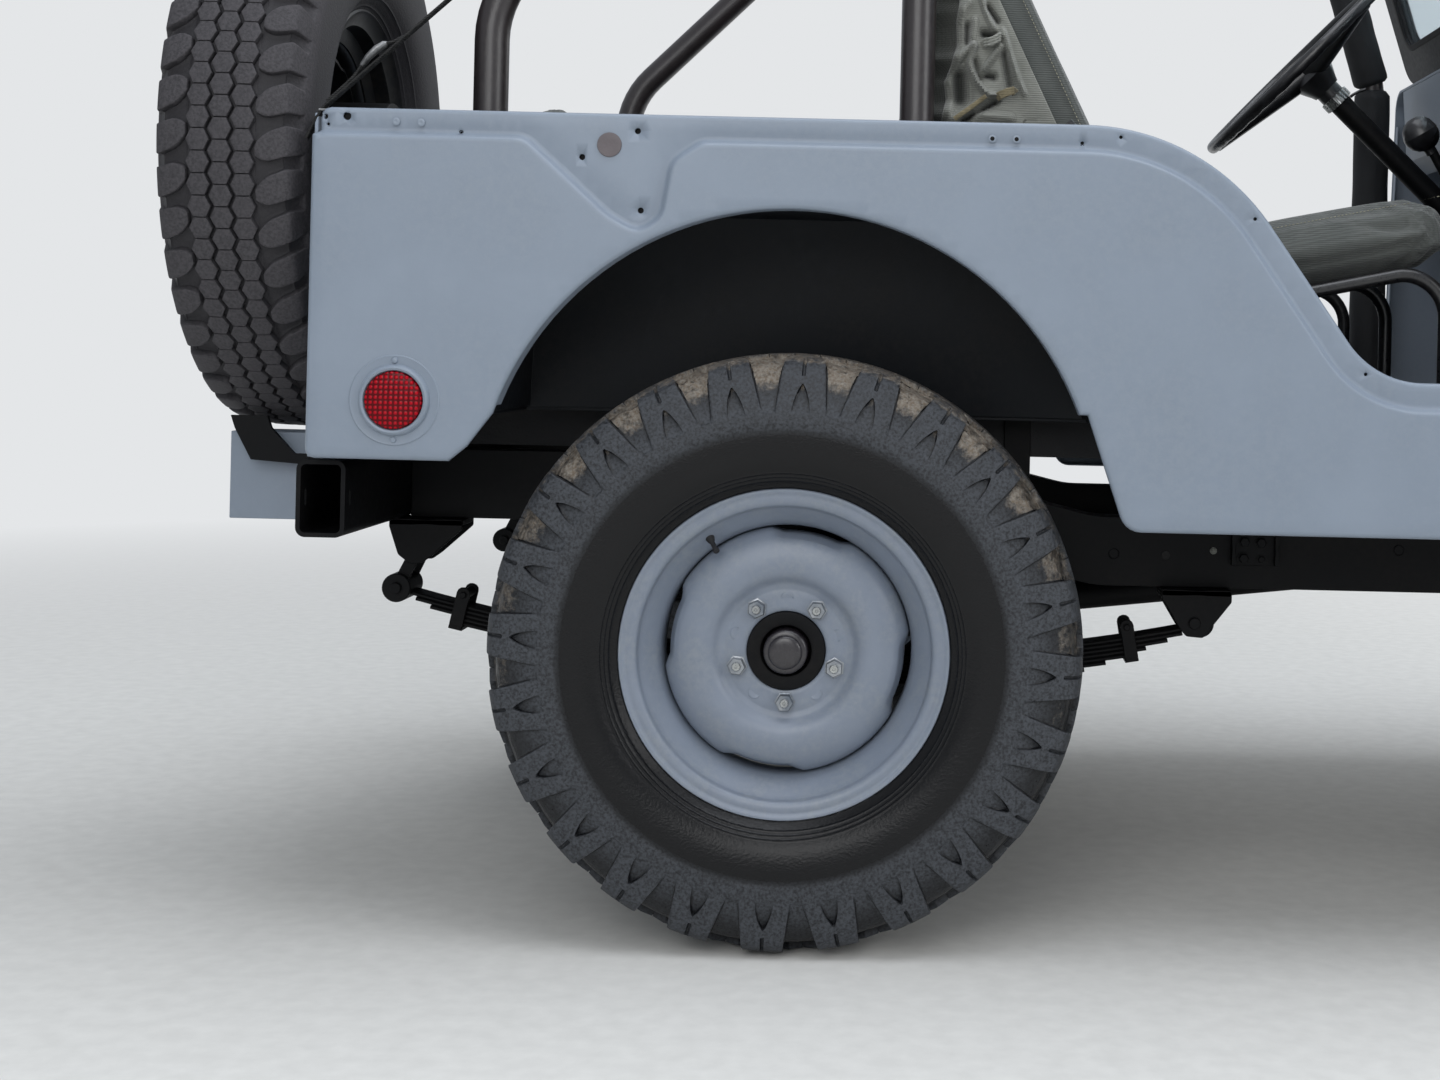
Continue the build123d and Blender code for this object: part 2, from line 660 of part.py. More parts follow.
def grille_face(grow):
    """Front view of the grille panel."""
    half = HOOD_FRONT_HALF_WIDTH
    face = polygon([
        (-half + 40, GRILLE_BOTTOM_Z), (half - 40, GRILLE_BOTTOM_Z), (half, 800),
        (half - 14, HOOD_FRONT_Z), (-half + 14, HOOD_FRONT_Z), (-half, 800),
    ])
    face = fillet([v for v in face.vertices() if v.Y > 900], HOOD_CORNER)
    face = fillet([v for v in face.vertices() if v.Y < 700], 30)
    return offset(face, -grow) if grow else face


def grille_panel():
    """Pressed grille panel with upright slots and lamp holes, its sides folded back to the hood."""
    front, back = rx(HOOD_FRONT + GRILLE_DEPTH), rx(HOOD_FRONT - 60)
    panel = cross_plate(grille_face(0), back, front) - cross_plate(grille_face(SHEET), back - 1, front - SHEET)
    panel -= hood_reach(HOOD_GAP)
    for slot in range(GRILLE_SLOTS):
        y = (slot - (GRILLE_SLOTS - 1) / 2) * SLOT_PITCH
        hole = Pos(y, SLOT_Z) * SlotOverall(SLOT_HEIGHT, SLOT_WIDTH, rotation=90)
        panel -= cross_plate(hole, front - 20, front + 1)
    for sign in (-1, 1):
        for z, radius in ((LAMP_Z, LAMP_RADIUS), (MARKER_Z, MARKER_RADIUS)):
            panel -= cross_plate(Pos(sign * LAMP_Y, z) * Circle(radius + 4), front - 20, front + 1)
    return panel


def lamp_solid(radius, depth):
    """Round lamp with its bowl, bezel and domed glass, axis along X, seat plane at x = 0."""
    rows = [  # along the lamp, out from its axis
        (-depth, 0), (-depth, radius * 0.45), (-depth * 0.4, radius * 0.9), (0, radius),
        (SEAT_GAP, radius), (SEAT_GAP, radius + 12), (9, radius + 12), (12, radius + 2),
        (14, radius - 6), (20, radius * 0.5), (22, 0),
    ]
    return revolve(polygon(rows), axis=Axis.X)


def front_lamps():
    """Headlamps and marker lamps in the grille panel."""
    front = rx(HOOD_FRONT + GRILLE_DEPTH)
    lamps = []
    for sign in (-1, 1):
        lamps.append(Pos(front, sign * LAMP_Y, LAMP_Z) * lamp_solid(LAMP_RADIUS, 90))
        lamps.append(Pos(front, sign * LAMP_Y, MARKER_Z) * lamp_solid(MARKER_RADIUS, 40))
    return solids_of(lamps)


def radiator():
    """Radiator core and tanks behind the grille, on the front crossmember."""
    core = box(rx(2310), rx(2370), -250, 250, RAIL_FRONT_Z + RAIL_DEPTH + 30, 1150)
    tank = box(rx(2300), rx(2380), -265, 265, 1130, 1200)
    foot = box(rx(2305), rx(2375), -265, 265, RAIL_FRONT_Z + RAIL_DEPTH, RAIL_FRONT_Z + RAIL_DEPTH + 40)
    return core + tank + foot


def engine():
    """Engine as one plain block, standing on its crossmember."""
    return box(rx(1560), rx(2180), -190, 190, ENGINE_BEARER_Z, 1120)


def gearbox():
    """Gearbox and transfer case behind the engine, resting on the skid crossmember."""
    case = rod((rx(1180), 0, 600 - 62), (rx(1560), 0, 600 - 62), 92)
    case -= box(rx(1100), rx(1600), -200, 200, FRONT_FLOOR_Z - SHEET - 4, 900)
    case += box(rx(1060), rx(1260), DIFF_Y - 85, 90, RAIL_BOTTOM_Z - 20, FRONT_FLOOR_Z - SHEET - 8)
    case += rod((rx(TRANSFER[0]), DIFF_Y, SHAFT_Z), (rx(TRANSFER[1]), DIFF_Y, SHAFT_Z), 40)
    return case


# Chassis


def rail_face():
    """Side view of one frame rail with its kicked-up ends."""
    low = [  # station, underside
        (CROSSBAR_BACK + CROSSBAR_LENGTH, RAIL_TAIL_BOTTOM_Z), (110, RAIL_TAIL_BOTTOM_Z),
        (440, RAIL_BOTTOM_Z), (1560, RAIL_BOTTOM_Z), (1820, RAIL_FRONT_Z), (BUMPER_BACK, RAIL_FRONT_Z),
    ]
    face = station_polygon(low + [(x, z + RAIL_DEPTH) for x, z in reversed(low)])
    corners = [(rx(x), z + rise, 160) for x, z in low[1:-1] for rise in (0, RAIL_DEPTH)]
    return round_corners(face, corners)


def chassis_frame():
    """Two kicked rails, drawn in at the front, with their crossmembers."""
    inner, outer = RAIL_OUTER_Y - RAIL_WIDTH, RAIL_OUTER_Y
    plan = station_polygon([
        (CROSSBAR_BACK, inner), (1500, inner), (1640, inner - RAIL_TAPER), (BUMPER_BACK + 9, inner - RAIL_TAPER),
        (BUMPER_BACK + 9, outer - RAIL_TAPER), (1640, outer - RAIL_TAPER), (1500, outer), (CROSSBAR_BACK, outer),
    ])
    rail = side_plate(rail_face(), 0, outer) & level_plate(plan, 0, 1000)
    frame = rail + mirror(rail, about=Plane.XZ)
    mid_tail = RAIL_TAIL_BOTTOM_Z + RAIL_DEPTH / 2
    frame += rod((rx(-330), -inner - 4, mid_tail), (rx(-330), inner + 4, mid_tail), 30)
    frame += box(rx(560), rx(620), -inner - 4, inner + 4, RAIL_BOTTOM_Z + 56, RAIL_BOTTOM_Z + 96)
    frame += box(rx(1040), rx(1260), -inner - 4, inner + 4, RAIL_BOTTOM_Z - 28, RAIL_BOTTOM_Z - 20)
    for sign in (-1, 1):
        y0, y1 = sorted((sign * (inner - 4), sign * (inner + 10)))
        frame += box(rx(1040), rx(1260), y0, y1, RAIL_BOTTOM_Z - 28, RAIL_BOTTOM_Z + 10)
    top = RAIL_FRONT_Z + RAIL_DEPTH
    frame += box(rx(2280), rx(2400), -inner, inner, top - 30, top)
    frame += box(rx(1700), rx(1780), -inner, inner, ENGINE_BEARER_Z - 26, ENGINE_BEARER_Z)
    for station, width in ((-250, 40), (300, 40), (900, 40)):
        low, high = (RAIL_TAIL_BOTTOM_Z if station < 0 else RAIL_BOTTOM_Z), REAR_FLOOR_Z - SHEET
        high = FRONT_FLOOR_Z - SHEET if station > FLOOR_STEP else high
        for sign in (-1, 1):
            y0, y1 = sorted((sign * inner, sign * outer))
            frame += box(rx(station), rx(station + width), y0, y1, low + RAIL_DEPTH / 2, high)
    return frame


def rear_crossbar():
    """Open-ended box bar across the tail, with the arm that steadies the spare wheel."""
    x0, x1 = rx(CROSSBAR_BACK), rx(CROSSBAR_BACK + CROSSBAR_LENGTH)
    low, high = RAIL_TAIL_BOTTOM_Z, RAIL_TAIL_BOTTOM_Z + RAIL_DEPTH
    section = Plane.XZ.offset(-CROSSBAR_HALF_WIDTH) * (
        Pos((x0 + x1) / 2, (low + high) / 2) * RectangleRounded(x1 - x0, high - low, 13)
    )
    bore = Plane.XZ.offset(-CROSSBAR_HALF_WIDTH - 1) * (
        Pos((x0 + x1) / 2, (low + high) / 2)
        * RectangleRounded(x1 - x0 - 2 * CROSSBAR_WALL, high - low - 2 * CROSSBAR_WALL, 7)
    )
    bar = extrude(section, amount=2 * CROSSBAR_HALF_WIDTH)
    bar -= extrude(bore, amount=2 * CROSSBAR_HALF_WIDTH + 2)
    for sign in (-1, 1):
        slot = Pos(0, sign * (CROSSBAR_HALF_WIDTH - 22), (low + high) / 2) * Rot(0, 90, 0)
        bar -= slot * extrude(SlotOverall(24, 9), amount=3000, both=True)
    arm = station_polygon([
        (CROSSBAR_BACK + 6, high - 22), (-782, high - 13), (-806, 664), (-812, 682), (-760, 682),
        (-754, 665), (-720, high - 3), (CROSSBAR_BACK + 6, high - 3),
    ])
    return bar + side_plate(arm, SPARE_Y - 170, SPARE_Y - 162)


def bumperettes():
    """Two channel-shaped guards behind the crossbar."""
    x1 = rx(CROSSBAR_BACK) - SEAT_GAP
    x0 = rx(CROSSBAR_BACK - 162)
    low, high = RAIL_TAIL_BOTTOM_Z + 4, SPARE_Z - TYRE_OD / 2 - 4
    guard = box(x0, x1, BUMPERETTE_Y - 45, BUMPERETTE_Y + 45, low, high)
    guard -= box(x0 + SHEET, x1 + 1, BUMPERETTE_Y - 40, BUMPERETTE_Y + 40, low - 1, high + 1)
    guard += box(x1 - SHEET, x1, BUMPERETTE_Y - 42, BUMPERETTE_Y + 42, low, high - 20)
    return solids_of(both_sides(guard))


def front_bumper():
    """Pressed channel across the front, its back open."""
    x1 = FRONT_FACE_X
    x0 = rx(BUMPER_BACK)
    low, high = BUMPER_BOTTOM_Z, BUMPER_BOTTOM_Z + BUMPER_HEIGHT
    face = polygon([(x0, low), (x1, low), (x1, high), (x0, high)])
    face = fillet([v for v in face.vertices() if v.X > x1 - 1], 16)
    bar = side_plate(face, -BUMPER_HALF_WIDTH, BUMPER_HALF_WIDTH)
    bar -= box(x0 - 1, x1 - SHEET, -BUMPER_HALF_WIDTH - 1, BUMPER_HALF_WIDTH + 1, low + SHEET, high - SHEET)
    for sign in (-1, 1):
        y = sign * (RAIL_OUTER_Y - RAIL_TAPER - RAIL_WIDTH / 2)
        bar += box(x0, x1 - 1, y - 26, y + 26, RAIL_FRONT_Z + 10, RAIL_FRONT_Z + RAIL_DEPTH)
    return bar


def circle_through(a, b, c):
    """Centre and radius of the circle through three points of a side view."""
    d = 2 * (a[0] * (b[1] - c[1]) + b[0] * (c[1] - a[1]) + c[0] * (a[1] - b[1]))
    sq = [p[0] ** 2 + p[1] ** 2 for p in (a, b, c)]
    x = (sq[0] * (b[1] - c[1]) + sq[1] * (c[1] - a[1]) + sq[2] * (a[1] - b[1])) / d
    z = (sq[0] * (c[0] - b[0]) + sq[1] * (a[0] - c[0]) + sq[2] * (b[0] - a[0])) / d
    return x, z, sqrt((a[0] - x) ** 2 + (a[1] - z) ** 2)


def leaf_spring(axle_x, y, rear_eye, front_eye, rear_rail_z, front_rail_z):
    """Left leaf pack slung under its axle, with its front hanger and rear shackle."""
    seat_z = AXLE_Z - AXLE_TUBE_RADIUS - 8
    rear, front = (axle_x + rear_eye[0], rear_eye[1]), (axle_x + front_eye[0], front_eye[1])
    cx, cz, radius = circle_through(rear, (axle_x, seat_z), front)
    pack = None
    for leaf in range(LEAF_COUNT):
        half = (1 - leaf / (LEAF_COUNT + 1)) * (front[0] - rear[0]) / 2
        middle = (front[0] + rear[0]) / 2
        ring = Pos(cx, cz) * Circle(radius + LEAF * (leaf + 1)) - Pos(cx, cz) * Circle(radius + LEAF * leaf)
        band = Pos(middle, seat_z) * Rectangle(2 * half, 600)
        strip = (ring & band).faces().sort_by(Axis.Y)[0]
        pack = strip if pack is None else pack + strip
    inner, outer = y - SPRING_WIDTH / 2, y + SPRING_WIDTH / 2
    spring = side_plate(pack, inner, outer)
    for x, z in (rear, front):
        spring += rod((x, inner, z), (x, outer, z), LEAF_EYE)
    plate_z = seat_z - LEAF * LEAF_COUNT
    spring += box(axle_x - 60, axle_x + 60, y - 34, y + 34, plate_z - 10, plate_z + 2)
    spring += box(axle_x - 45, axle_x + 45, y - 26, y + 26, seat_z - 2, AXLE_Z - AXLE_TUBE_RADIUS + 10)
    spring -= rod((axle_x, y - 60, AXLE_Z), (axle_x, y + 60, AXLE_Z), AXLE_TUBE_RADIUS + SEAT_GAP)
    for x in (axle_x - 52, axle_x + 52):
        for across in (y - 30, y + 30):
            spring += rod((x, across, plate_z), (x, across, AXLE_Z + 20), 6)
        spring += box(x - 5, x + 5, y - 30, y + 30, AXLE_Z + 12, AXLE_Z + 22)
    for x in (rear[0] + 200, front[0] - 200):
        low = cz - sqrt((radius + LEAF * 3) ** 2 - (x - cx) ** 2)
        spring += box(x - 12, x + 12, y - 28, y + 28, low - 12, low + 26)
    hanger = polygon([
        (front[0] - 50, front_rail_z - SEAT_GAP), (front[0] - 22, front[1] - 20), (front[0] + 22, front[1] - 20),
        (front[0] + 50, front_rail_z - SEAT_GAP),
    ])
    shackle = polygon([
        (rear[0] - 20, rear[1] - 14), (rear[0] + 16, rear[1] - 20), (rear[0] + 95, rear_rail_z - SEAT_GAP),
        (rear[0] - 20, rear_rail_z - SEAT_GAP),
    ])
    for plate, rail_z in ((hanger, front_rail_z), (shackle, rear_rail_z)):
        for y0, y1 in ((inner - 6, inner + 1), (outer - 1, outer + 6)):
            spring += side_plate(plate, y0, y1)
        box_x = plate.bounding_box()
        spring += box(box_x.min.X, box_x.max.X, inner - 6, outer + 6, rail_z - 10, rail_z - SEAT_GAP)
    return spring


def leaf_springs():
    """All four springs."""
    springs = both_sides(leaf_spring(REAR_AXLE_X, SPRING_Y, (-604, 424), (600, 397),
                                     RAIL_TAIL_BOTTOM_Z, RAIL_BOTTOM_Z))
    springs += both_sides(leaf_spring(FRONT_AXLE_X, FRONT_SPRING_Y, (-470, 410), (470, 410),
                                      RAIL_BOTTOM_Z, RAIL_FRONT_Z))
    return solids_of(springs)


def axle_beam(x, end_y, nose):
    """Axle tube with its offset differential case, the nose pointing along the vehicle."""
    beam = rod((x, -end_y, AXLE_Z), (x, end_y, AXLE_Z), AXLE_TUBE_RADIUS)
    case = rod((x, DIFF_Y - 62, AXLE_Z), (x, DIFF_Y + 62, AXLE_Z), DIFF_RADIUS)
    case = fillet(case.edges().filter_by(GeomType.CIRCLE), 30)
    beam += case
    beam += rod((x, DIFF_Y, AXLE_Z), (x + nose * 190, DIFF_Y, AXLE_Z), 52)
    beam += rod((x + nose * (FLANGE_REACH - 20), DIFF_Y, AXLE_Z), (x + nose * FLANGE_REACH, DIFF_Y, AXLE_Z), 60)
    return beam


def rear_axle():
    """Rear axle with its backing plates."""
    end = WHEEL_Y - RIM_WIDTH / 2 + 8 - RUNNING_GAP
    beam = axle_beam(REAR_AXLE_X, end, 1)
    for sign in (-1, 1):
        beam += rod((REAR_AXLE_X, sign * (end - 6), AXLE_Z), (REAR_AXLE_X, sign * end, AXLE_Z), DRUM_RADIUS - 4)
        beam += rod((REAR_AXLE_X, sign * (end - 40), AXLE_Z), (REAR_AXLE_X, sign * (end - 5), AXLE_Z), 62)
        beam += spindle(REAR_AXLE_X, sign, end)
    return beam


def spindle(x, sign, start):
    """Stub on which a wheel turns, inside the hub's bore."""
    tip = WHEEL_Y + SPINDLE_TIP
    return rod((x, sign * (start - 2), AXLE_Z), (x, sign * tip, AXLE_Z), SPINDLE_RADIUS)


def front_axle():
    """Front axle beam with the open yokes that hold the kingpins."""
    beam = axle_beam(FRONT_AXLE_X, KINGPIN_Y - 70, -1)
    for sign in (-1, 1):
        y = sign * KINGPIN_Y
        for up in (-1, 1):
            z = AXLE_Z + up * KINGPIN_REACH
            y0, y1 = sorted((sign * (KINGPIN_Y - 80), y + sign * 20))
            beam += box(FRONT_AXLE_X - 22, FRONT_AXLE_X + 22, y0, y1, z - 9, z + 9)
        y0, y1 = sorted((sign * (KINGPIN_Y - 80), sign * (KINGPIN_Y - 62)))
        beam += box(FRONT_AXLE_X - 26, FRONT_AXLE_X + 26, y0, y1, AXLE_Z - KINGPIN_REACH - 9,
                    AXLE_Z + KINGPIN_REACH + 9)
        beam += rod((FRONT_AXLE_X, y, AXLE_Z - KINGPIN_REACH), (FRONT_AXLE_X, y, AXLE_Z - KINGPIN_REACH + 34), 9)
        beam += rod((FRONT_AXLE_X, y, AXLE_Z + KINGPIN_REACH - 34), (FRONT_AXLE_X, y, AXLE_Z + KINGPIN_REACH), 9)
    return beam


def knuckle(sign):
    """Steering knuckle: bored housing, backing plate, wheel spindle and steering arm."""
    start = WHEEL_Y - RIM_WIDTH / 2 + 8 - RUNNING_GAP
    y = sign * KINGPIN_Y
    reach = KINGPIN_REACH - 9 - KNUCKLE_GAP
    body = rod((FRONT_AXLE_X, y, AXLE_Z - reach), (FRONT_AXLE_X, y, AXLE_Z + reach), 30)
    body += rod((FRONT_AXLE_X, y, AXLE_Z), (FRONT_AXLE_X, sign * start, AXLE_Z), 44)
    body += rod((FRONT_AXLE_X, sign * (start - 6), AXLE_Z), (FRONT_AXLE_X, sign * start, AXLE_Z), DRUM_RADIUS - 4)
    body += spindle(FRONT_AXLE_X, sign, start)
    arm_x = FRONT_AXLE_X - STEERING_ARM
    y0, y1 = y - 15, y + 15
    body += box(FRONT_AXLE_X - 20, FRONT_AXLE_X + 10, y0, y1, STEERING_ARM_Z - 8, AXLE_Z)
    body += box(arm_x, FRONT_AXLE_X, y0, y1, STEERING_ARM_Z - 8, STEERING_ARM_Z + 8)
    body += rod((arm_x, y, STEERING_ARM_Z - 8), (arm_x, y, STEERING_ARM_Z + 8), 18)
    body -= rod((arm_x, y, STEERING_ARM_Z - 30), (arm_x, y, STEERING_ARM_Z + 30), JOINT_STUD + JOINT_CLEARANCE)
    for up in (-1, 1):
        pin = rod((FRONT_AXLE_X, y, AXLE_Z + up * (KINGPIN_REACH - 36)), (FRONT_AXLE_X, y, AXLE_Z + up * 200),
                  9 + PIN_CLEARANCE)
        body -= pin
    return body


def tie_rod():
    """Rod between the two steering arms, with an upright stud at each end."""
    x, z = FRONT_AXLE_X - STEERING_ARM, STEERING_ARM_Z - TIE_ROD_DROP
    bar = rod((x, -KINGPIN_Y, z), (x, KINGPIN_Y, z), 12)
    for sign in (-1, 1):
        y = sign * KINGPIN_Y
        bar += rod((x, y, z - 14), (x, y, z + 12), 17)
        bar += rod((x, y, z), (x, y, z + TIE_ROD_DROP + 14), JOINT_STUD)
    return bar


def damper(axle_x, rail_inner, plate_y, lean):
    """Left telescopic damper between the rail's inner face and the spring plate."""
    across = min(rail_inner - 29, plate_y - 22)
    foot, head = (axle_x + lean, across, AXLE_Z - 95), (axle_x + lean * 2.6, across, 570)
    middle = tuple((a + b) / 2 for a, b in zip(foot, head))
    part = rod(foot, middle, 20) + rod(middle, head, 26)
    part += rod((foot[0], across - 24, foot[2]), (foot[0], plate_y - SEAT_GAP, foot[2]), 9)
    return part + rod((head[0], across - 30, head[2]), (head[0], rail_inner - SEAT_GAP, head[2]), 12)


def shock_absorbers():
    """Telescopic dampers between the rails and the spring plates."""
    rail = RAIL_OUTER_Y - RAIL_WIDTH
    dampers = both_sides(damper(REAR_AXLE_X, rail, SPRING_Y - 34, 70))
    dampers += both_sides(damper(FRONT_AXLE_X, rail - RAIL_TAPER, FRONT_SPRING_Y - 34, -70))
    return solids_of(dampers)


def propshaft(rear_end, front_end):
    """Open shaft between two flanges, with a ball-shaped joint at each end."""
    x0, x1 = rear_end[0] + SEAT_GAP, front_end[0] - SEAT_GAP
    start, end = (x0 + 26, DIFF_Y, rear_end[1]), (x1 - 26, DIFF_Y, front_end[1])
    shaft = rod(start, end, 25)
    for centre in (start, end):
        shaft += Pos(*centre) * Sphere(36)
    return shaft & box(x0, x1, DIFF_Y - 60, DIFF_Y + 60, 0, FRONT_FLOOR_Z)


def propshafts():
    """Two open shafts from the transfer case to the differentials."""
    rear = propshaft((REAR_AXLE_X + FLANGE_REACH, AXLE_Z), (rx(TRANSFER[0]), SHAFT_Z))
    front = propshaft((rx(TRANSFER[1]), SHAFT_Z), (FRONT_AXLE_X - FLANGE_REACH, AXLE_Z))
    return solids_of([rear, front])


def exhaust():
    """Exhaust pipe with its silencer slung under the floor on the left."""
    pipe = bent_tube([
        (rx(1700), 190 + 20 + SEAT_GAP, 640), (rx(1560), 240, 560), (rx(1350), 260, 500), (rx(900), 260, 470),
        (rx(420), 260, 470),
    ], 50, 20)
    silencer = rod((rx(700), 252, 484), (rx(980), 252, 484), 50)
    strap = box(rx(820), rx(850), 237, 267, 500, FRONT_FLOOR_Z - SHEET - SEAT_GAP)
    return pipe + silencer + strap


# Cabin


def dashboard():
    """Dash panel under the cowl's rear edge, with its rolled lip and dial housings."""
    half, top = DASH_HALF_WIDTH, COWL_Z - SHEET - 1
    profile = station_polygon([
        (DASH_X, top), (DASH_X + 10, COWL_Z - 150), (DASH_X + 40, DASH_LOW_Z),
        (DASH_X + 40, DASH_LOW_Z + SHEET), (DASH_X + 14, COWL_Z - 148), (DASH_X + SHEET, top - 8),
        (DASH_X + 40, top - 8), (DASH_X + 40, top),
    ])
    panel = side_plate(profile, -half, half)
    for y, z, radius in DIALS:
        panel += rod((rx(DASH_X + 2 + (COWL_Z - z) / 15), y, z), (rx(DASH_X + 60), y, z), radius)
    return panel


def steering_axis():
    """Unit vector up the steering column."""
    a = radians(COLUMN_ANGLE)
    return Vector(-cos(a), 0, sin(a))


def column_point(distance):
    """A point on the column's axis, measured down from the steering wheel's rim plane."""
    centre = Vector(rx(STEERING_X), STEERING_Y, STEERING_Z)
    return tuple(centre - steering_axis() * distance)


def steering_wheel():
    """Rim, three dished spokes and hub."""
    plane = Plane(origin=column_point(0), x_dir=(0, 1, 0), z_dir=tuple(steering_axis()))
    wheel = plane * Torus(STEERING_RADIUS, STEERING_RIM / 2)
    wheel += plane * Pos(0, 0, -HUB_DROP) * Cylinder(32, 40)
    for spoke in range(3):
        turn = radians(90 + 120 * spoke)
        start = plane.from_local_coords(Vector(24 * cos(turn), 24 * sin(turn), -HUB_DROP))
        end = plane.from_local_coords(Vector(STEERING_RADIUS * cos(turn), STEERING_RADIUS * sin(turn), 0))
        wheel += rod(tuple(start), tuple(end), 7)
    bore_start = column_point(HUB_DROP + 24)
    bore_end = column_point(HUB_DROP - 8)
    wheel -= rod(bore_start, bore_end, COLUMN_SHAFT + PIN_CLEARANCE)
    return wheel


def steering_column():
    """Column jacket and shaft, from the hub through the toe board to the steering box."""
    jacket = rod(column_point(HUB_DROP + 28), column_point(COLUMN_END), COLUMN_RADIUS)
    jacket += rod(column_point(HUB_DROP - 4), column_point(HUB_DROP + 40), COLUMN_SHAFT)
    end = column_point(COLUMN_END)
    outer = RAIL_OUTER_Y - RAIL_TAPER + SEAT_GAP
    jacket += box(end[0] - 60, end[0] + 60, outer, outer + 76, end[2] - 70, end[2] + 40)
    bracket = column_point(COLUMN_BRACKET)
    jacket += box(bracket[0] - 20, bracket[0] + 20, STEERING_Y - 24, STEERING_Y + 24, bracket[2],
                  DASH_LOW_Z - SEAT_GAP)
    return jacket


def floor_boot(x, y, half):
    """Small block seated on the footwell floor, from which a lever rises."""
    low = FRONT_FLOOR_Z + SEAT_GAP
    return box(rx(x) - half, rx(x) + half, y - half, y + half, low, low + 14)


def pedals_and_levers():
    """Three pedals on their arms, the gear lever with its ball knob, and the two transfer levers."""
    lift = FRONT_FLOOR_Z + 10
    pieces = []
    for y in (STEERING_Y + 115, STEERING_Y - 60, STEERING_Y - 150):
        arm = rod((rx(1290), y, lift), (rx(1250), y, 745), 8) + floor_boot(1290, y, 14)
        arm += Pos(rx(1250), y, 752) * Rot(0, -35, 0) * Box(12, 62, 56)
        pieces.append(arm)
    knob = Vector(rx(KNOB[0]), KNOB[1], KNOB[2])
    lever = bent_tube([(rx(1240), KNOB[1], lift), (rx(1225), KNOB[1], 800), tuple(knob)], 120, 8)
    lever += Pos(*knob) * Sphere(KNOB_RADIUS)
    pieces.append(lever + floor_boot(1240, KNOB[1], 50))
    for x, y, top in ((1120, -60, 900), (1120, -100, 880)):
        short = rod((rx(x), y, lift), (rx(x - 30), y, top), 7) + floor_boot(x, y, 16)
        pieces.append(short + Pos(rx(x - 30), y, top) * Sphere(18))
    return solids_of(pieces)


def cushion_plane(y):
    """Plane of a front cushion's underside, from its rear edge forward."""
    a = radians(CUSHION_TILT)
    low = (rx(CUSHION_REAR[0]) + CUSHION_THICK * sin(a), y, CUSHION_REAR[1] - CUSHION_THICK * cos(a))
    return Plane(origin=low, x_dir=(cos(a), 0, sin(a)), z_dir=(-sin(a), 0, cos(a)))


def back_plane(y):
    """Plane of a backrest's front face, from its foot upward."""
    a = radians(BACK_LEAN)
    return Plane(origin=(rx(BACK_FOOT[0]), y, BACK_FOOT[1]), x_dir=(-sin(a), 0, cos(a)), z_dir=(-cos(a), 0, -sin(a)))


def pad(length, width, thick, corner):
    """A plain rounded cushion, its underside on the plane and its rear edge on the origin."""
    block = Pos(length / 2, 0, thick / 2) * Box(length, width, thick)
    return fillet(block.edges().filter_by(Axis.Z), corner)


def front_cushions():
    """The two front seat cushions."""
    pads = [cushion_plane(s * SEAT_Y) * pad(CUSHION_LENGTH, SEAT_WIDTH, CUSHION_THICK, 40) for s in (-1, 1)]
    return solids_of(pads)


def front_backrests():
    """The two front backrests."""
    pads = [back_plane(s * SEAT_Y) * pad(BACK_LENGTH, SEAT_WIDTH, BACK_THICK, 40) for s in (-1, 1)]
    return solids_of(pads)


def front_seat_frame(y):
    """Bent tube frame of one front seat: base runners, legs and back uprights."""
    r = SEAT_TUBE / 2
    base, back = cushion_plane(y), back_plane(y)
    half, reach = SEAT_WIDTH / 2 - 25, SEAT_WIDTH / 2 + r + SEAT_GAP
    under = -r - SEAT_GAP
    frame = Part()
    for side in (-1, 1):
        rear = base.from_local_coords(Vector(20, side * half, under))
        front = base.from_local_coords(Vector(CUSHION_LENGTH - 35, side * half, under))
        for end, floor in ((rear, REAR_FLOOR_Z), (front, FRONT_FLOOR_Z)):
            frame += box(end.X - 22, end.X + 22, end.Y - 22, end.Y + 22, floor + SEAT_GAP, floor + 6)
        frame += bent_tube([
            (rear.X, rear.Y, REAR_FLOOR_Z + 3), tuple(rear), tuple(front), (front.X, front.Y, FRONT_FLOOR_Z + 3),
        ], 60, r)
        low = base.from_local_coords(Vector(95, side * reach, under))
        high = back.from_local_coords(Vector(170, side * reach, 40))
        frame += rod(tuple(low), tuple(high), r)
        frame += rod((low.X, y + side * (reach + 6), low.Z), (low.X, y + side * half, low.Z), r - 1.5)
    for along in (150, CUSHION_LENGTH - 150):
        left, right = [base.from_local_coords(Vector(along, s * half, under)) for s in (-1, 1)]
        frame += rod(tuple(left), tuple(right), r - 1.5)
    return frame


def seat_frames():
    """Both front seat frames."""
    return solids_of([front_seat_frame(s * SEAT_Y) for s in (-1, 1)])


def bench_post_x(z):
    """Station of the rear bench's upright at a height, just behind its back pad."""
    a = radians(BENCH_LEAN)
    behind = BENCH_PAD + SEAT_TUBE / 2 + SEAT_GAP
    return BENCH_BACK + 2 - behind * cos(a) + (BENCH_Z + 84 - behind * sin(a) - z) * tan(a)


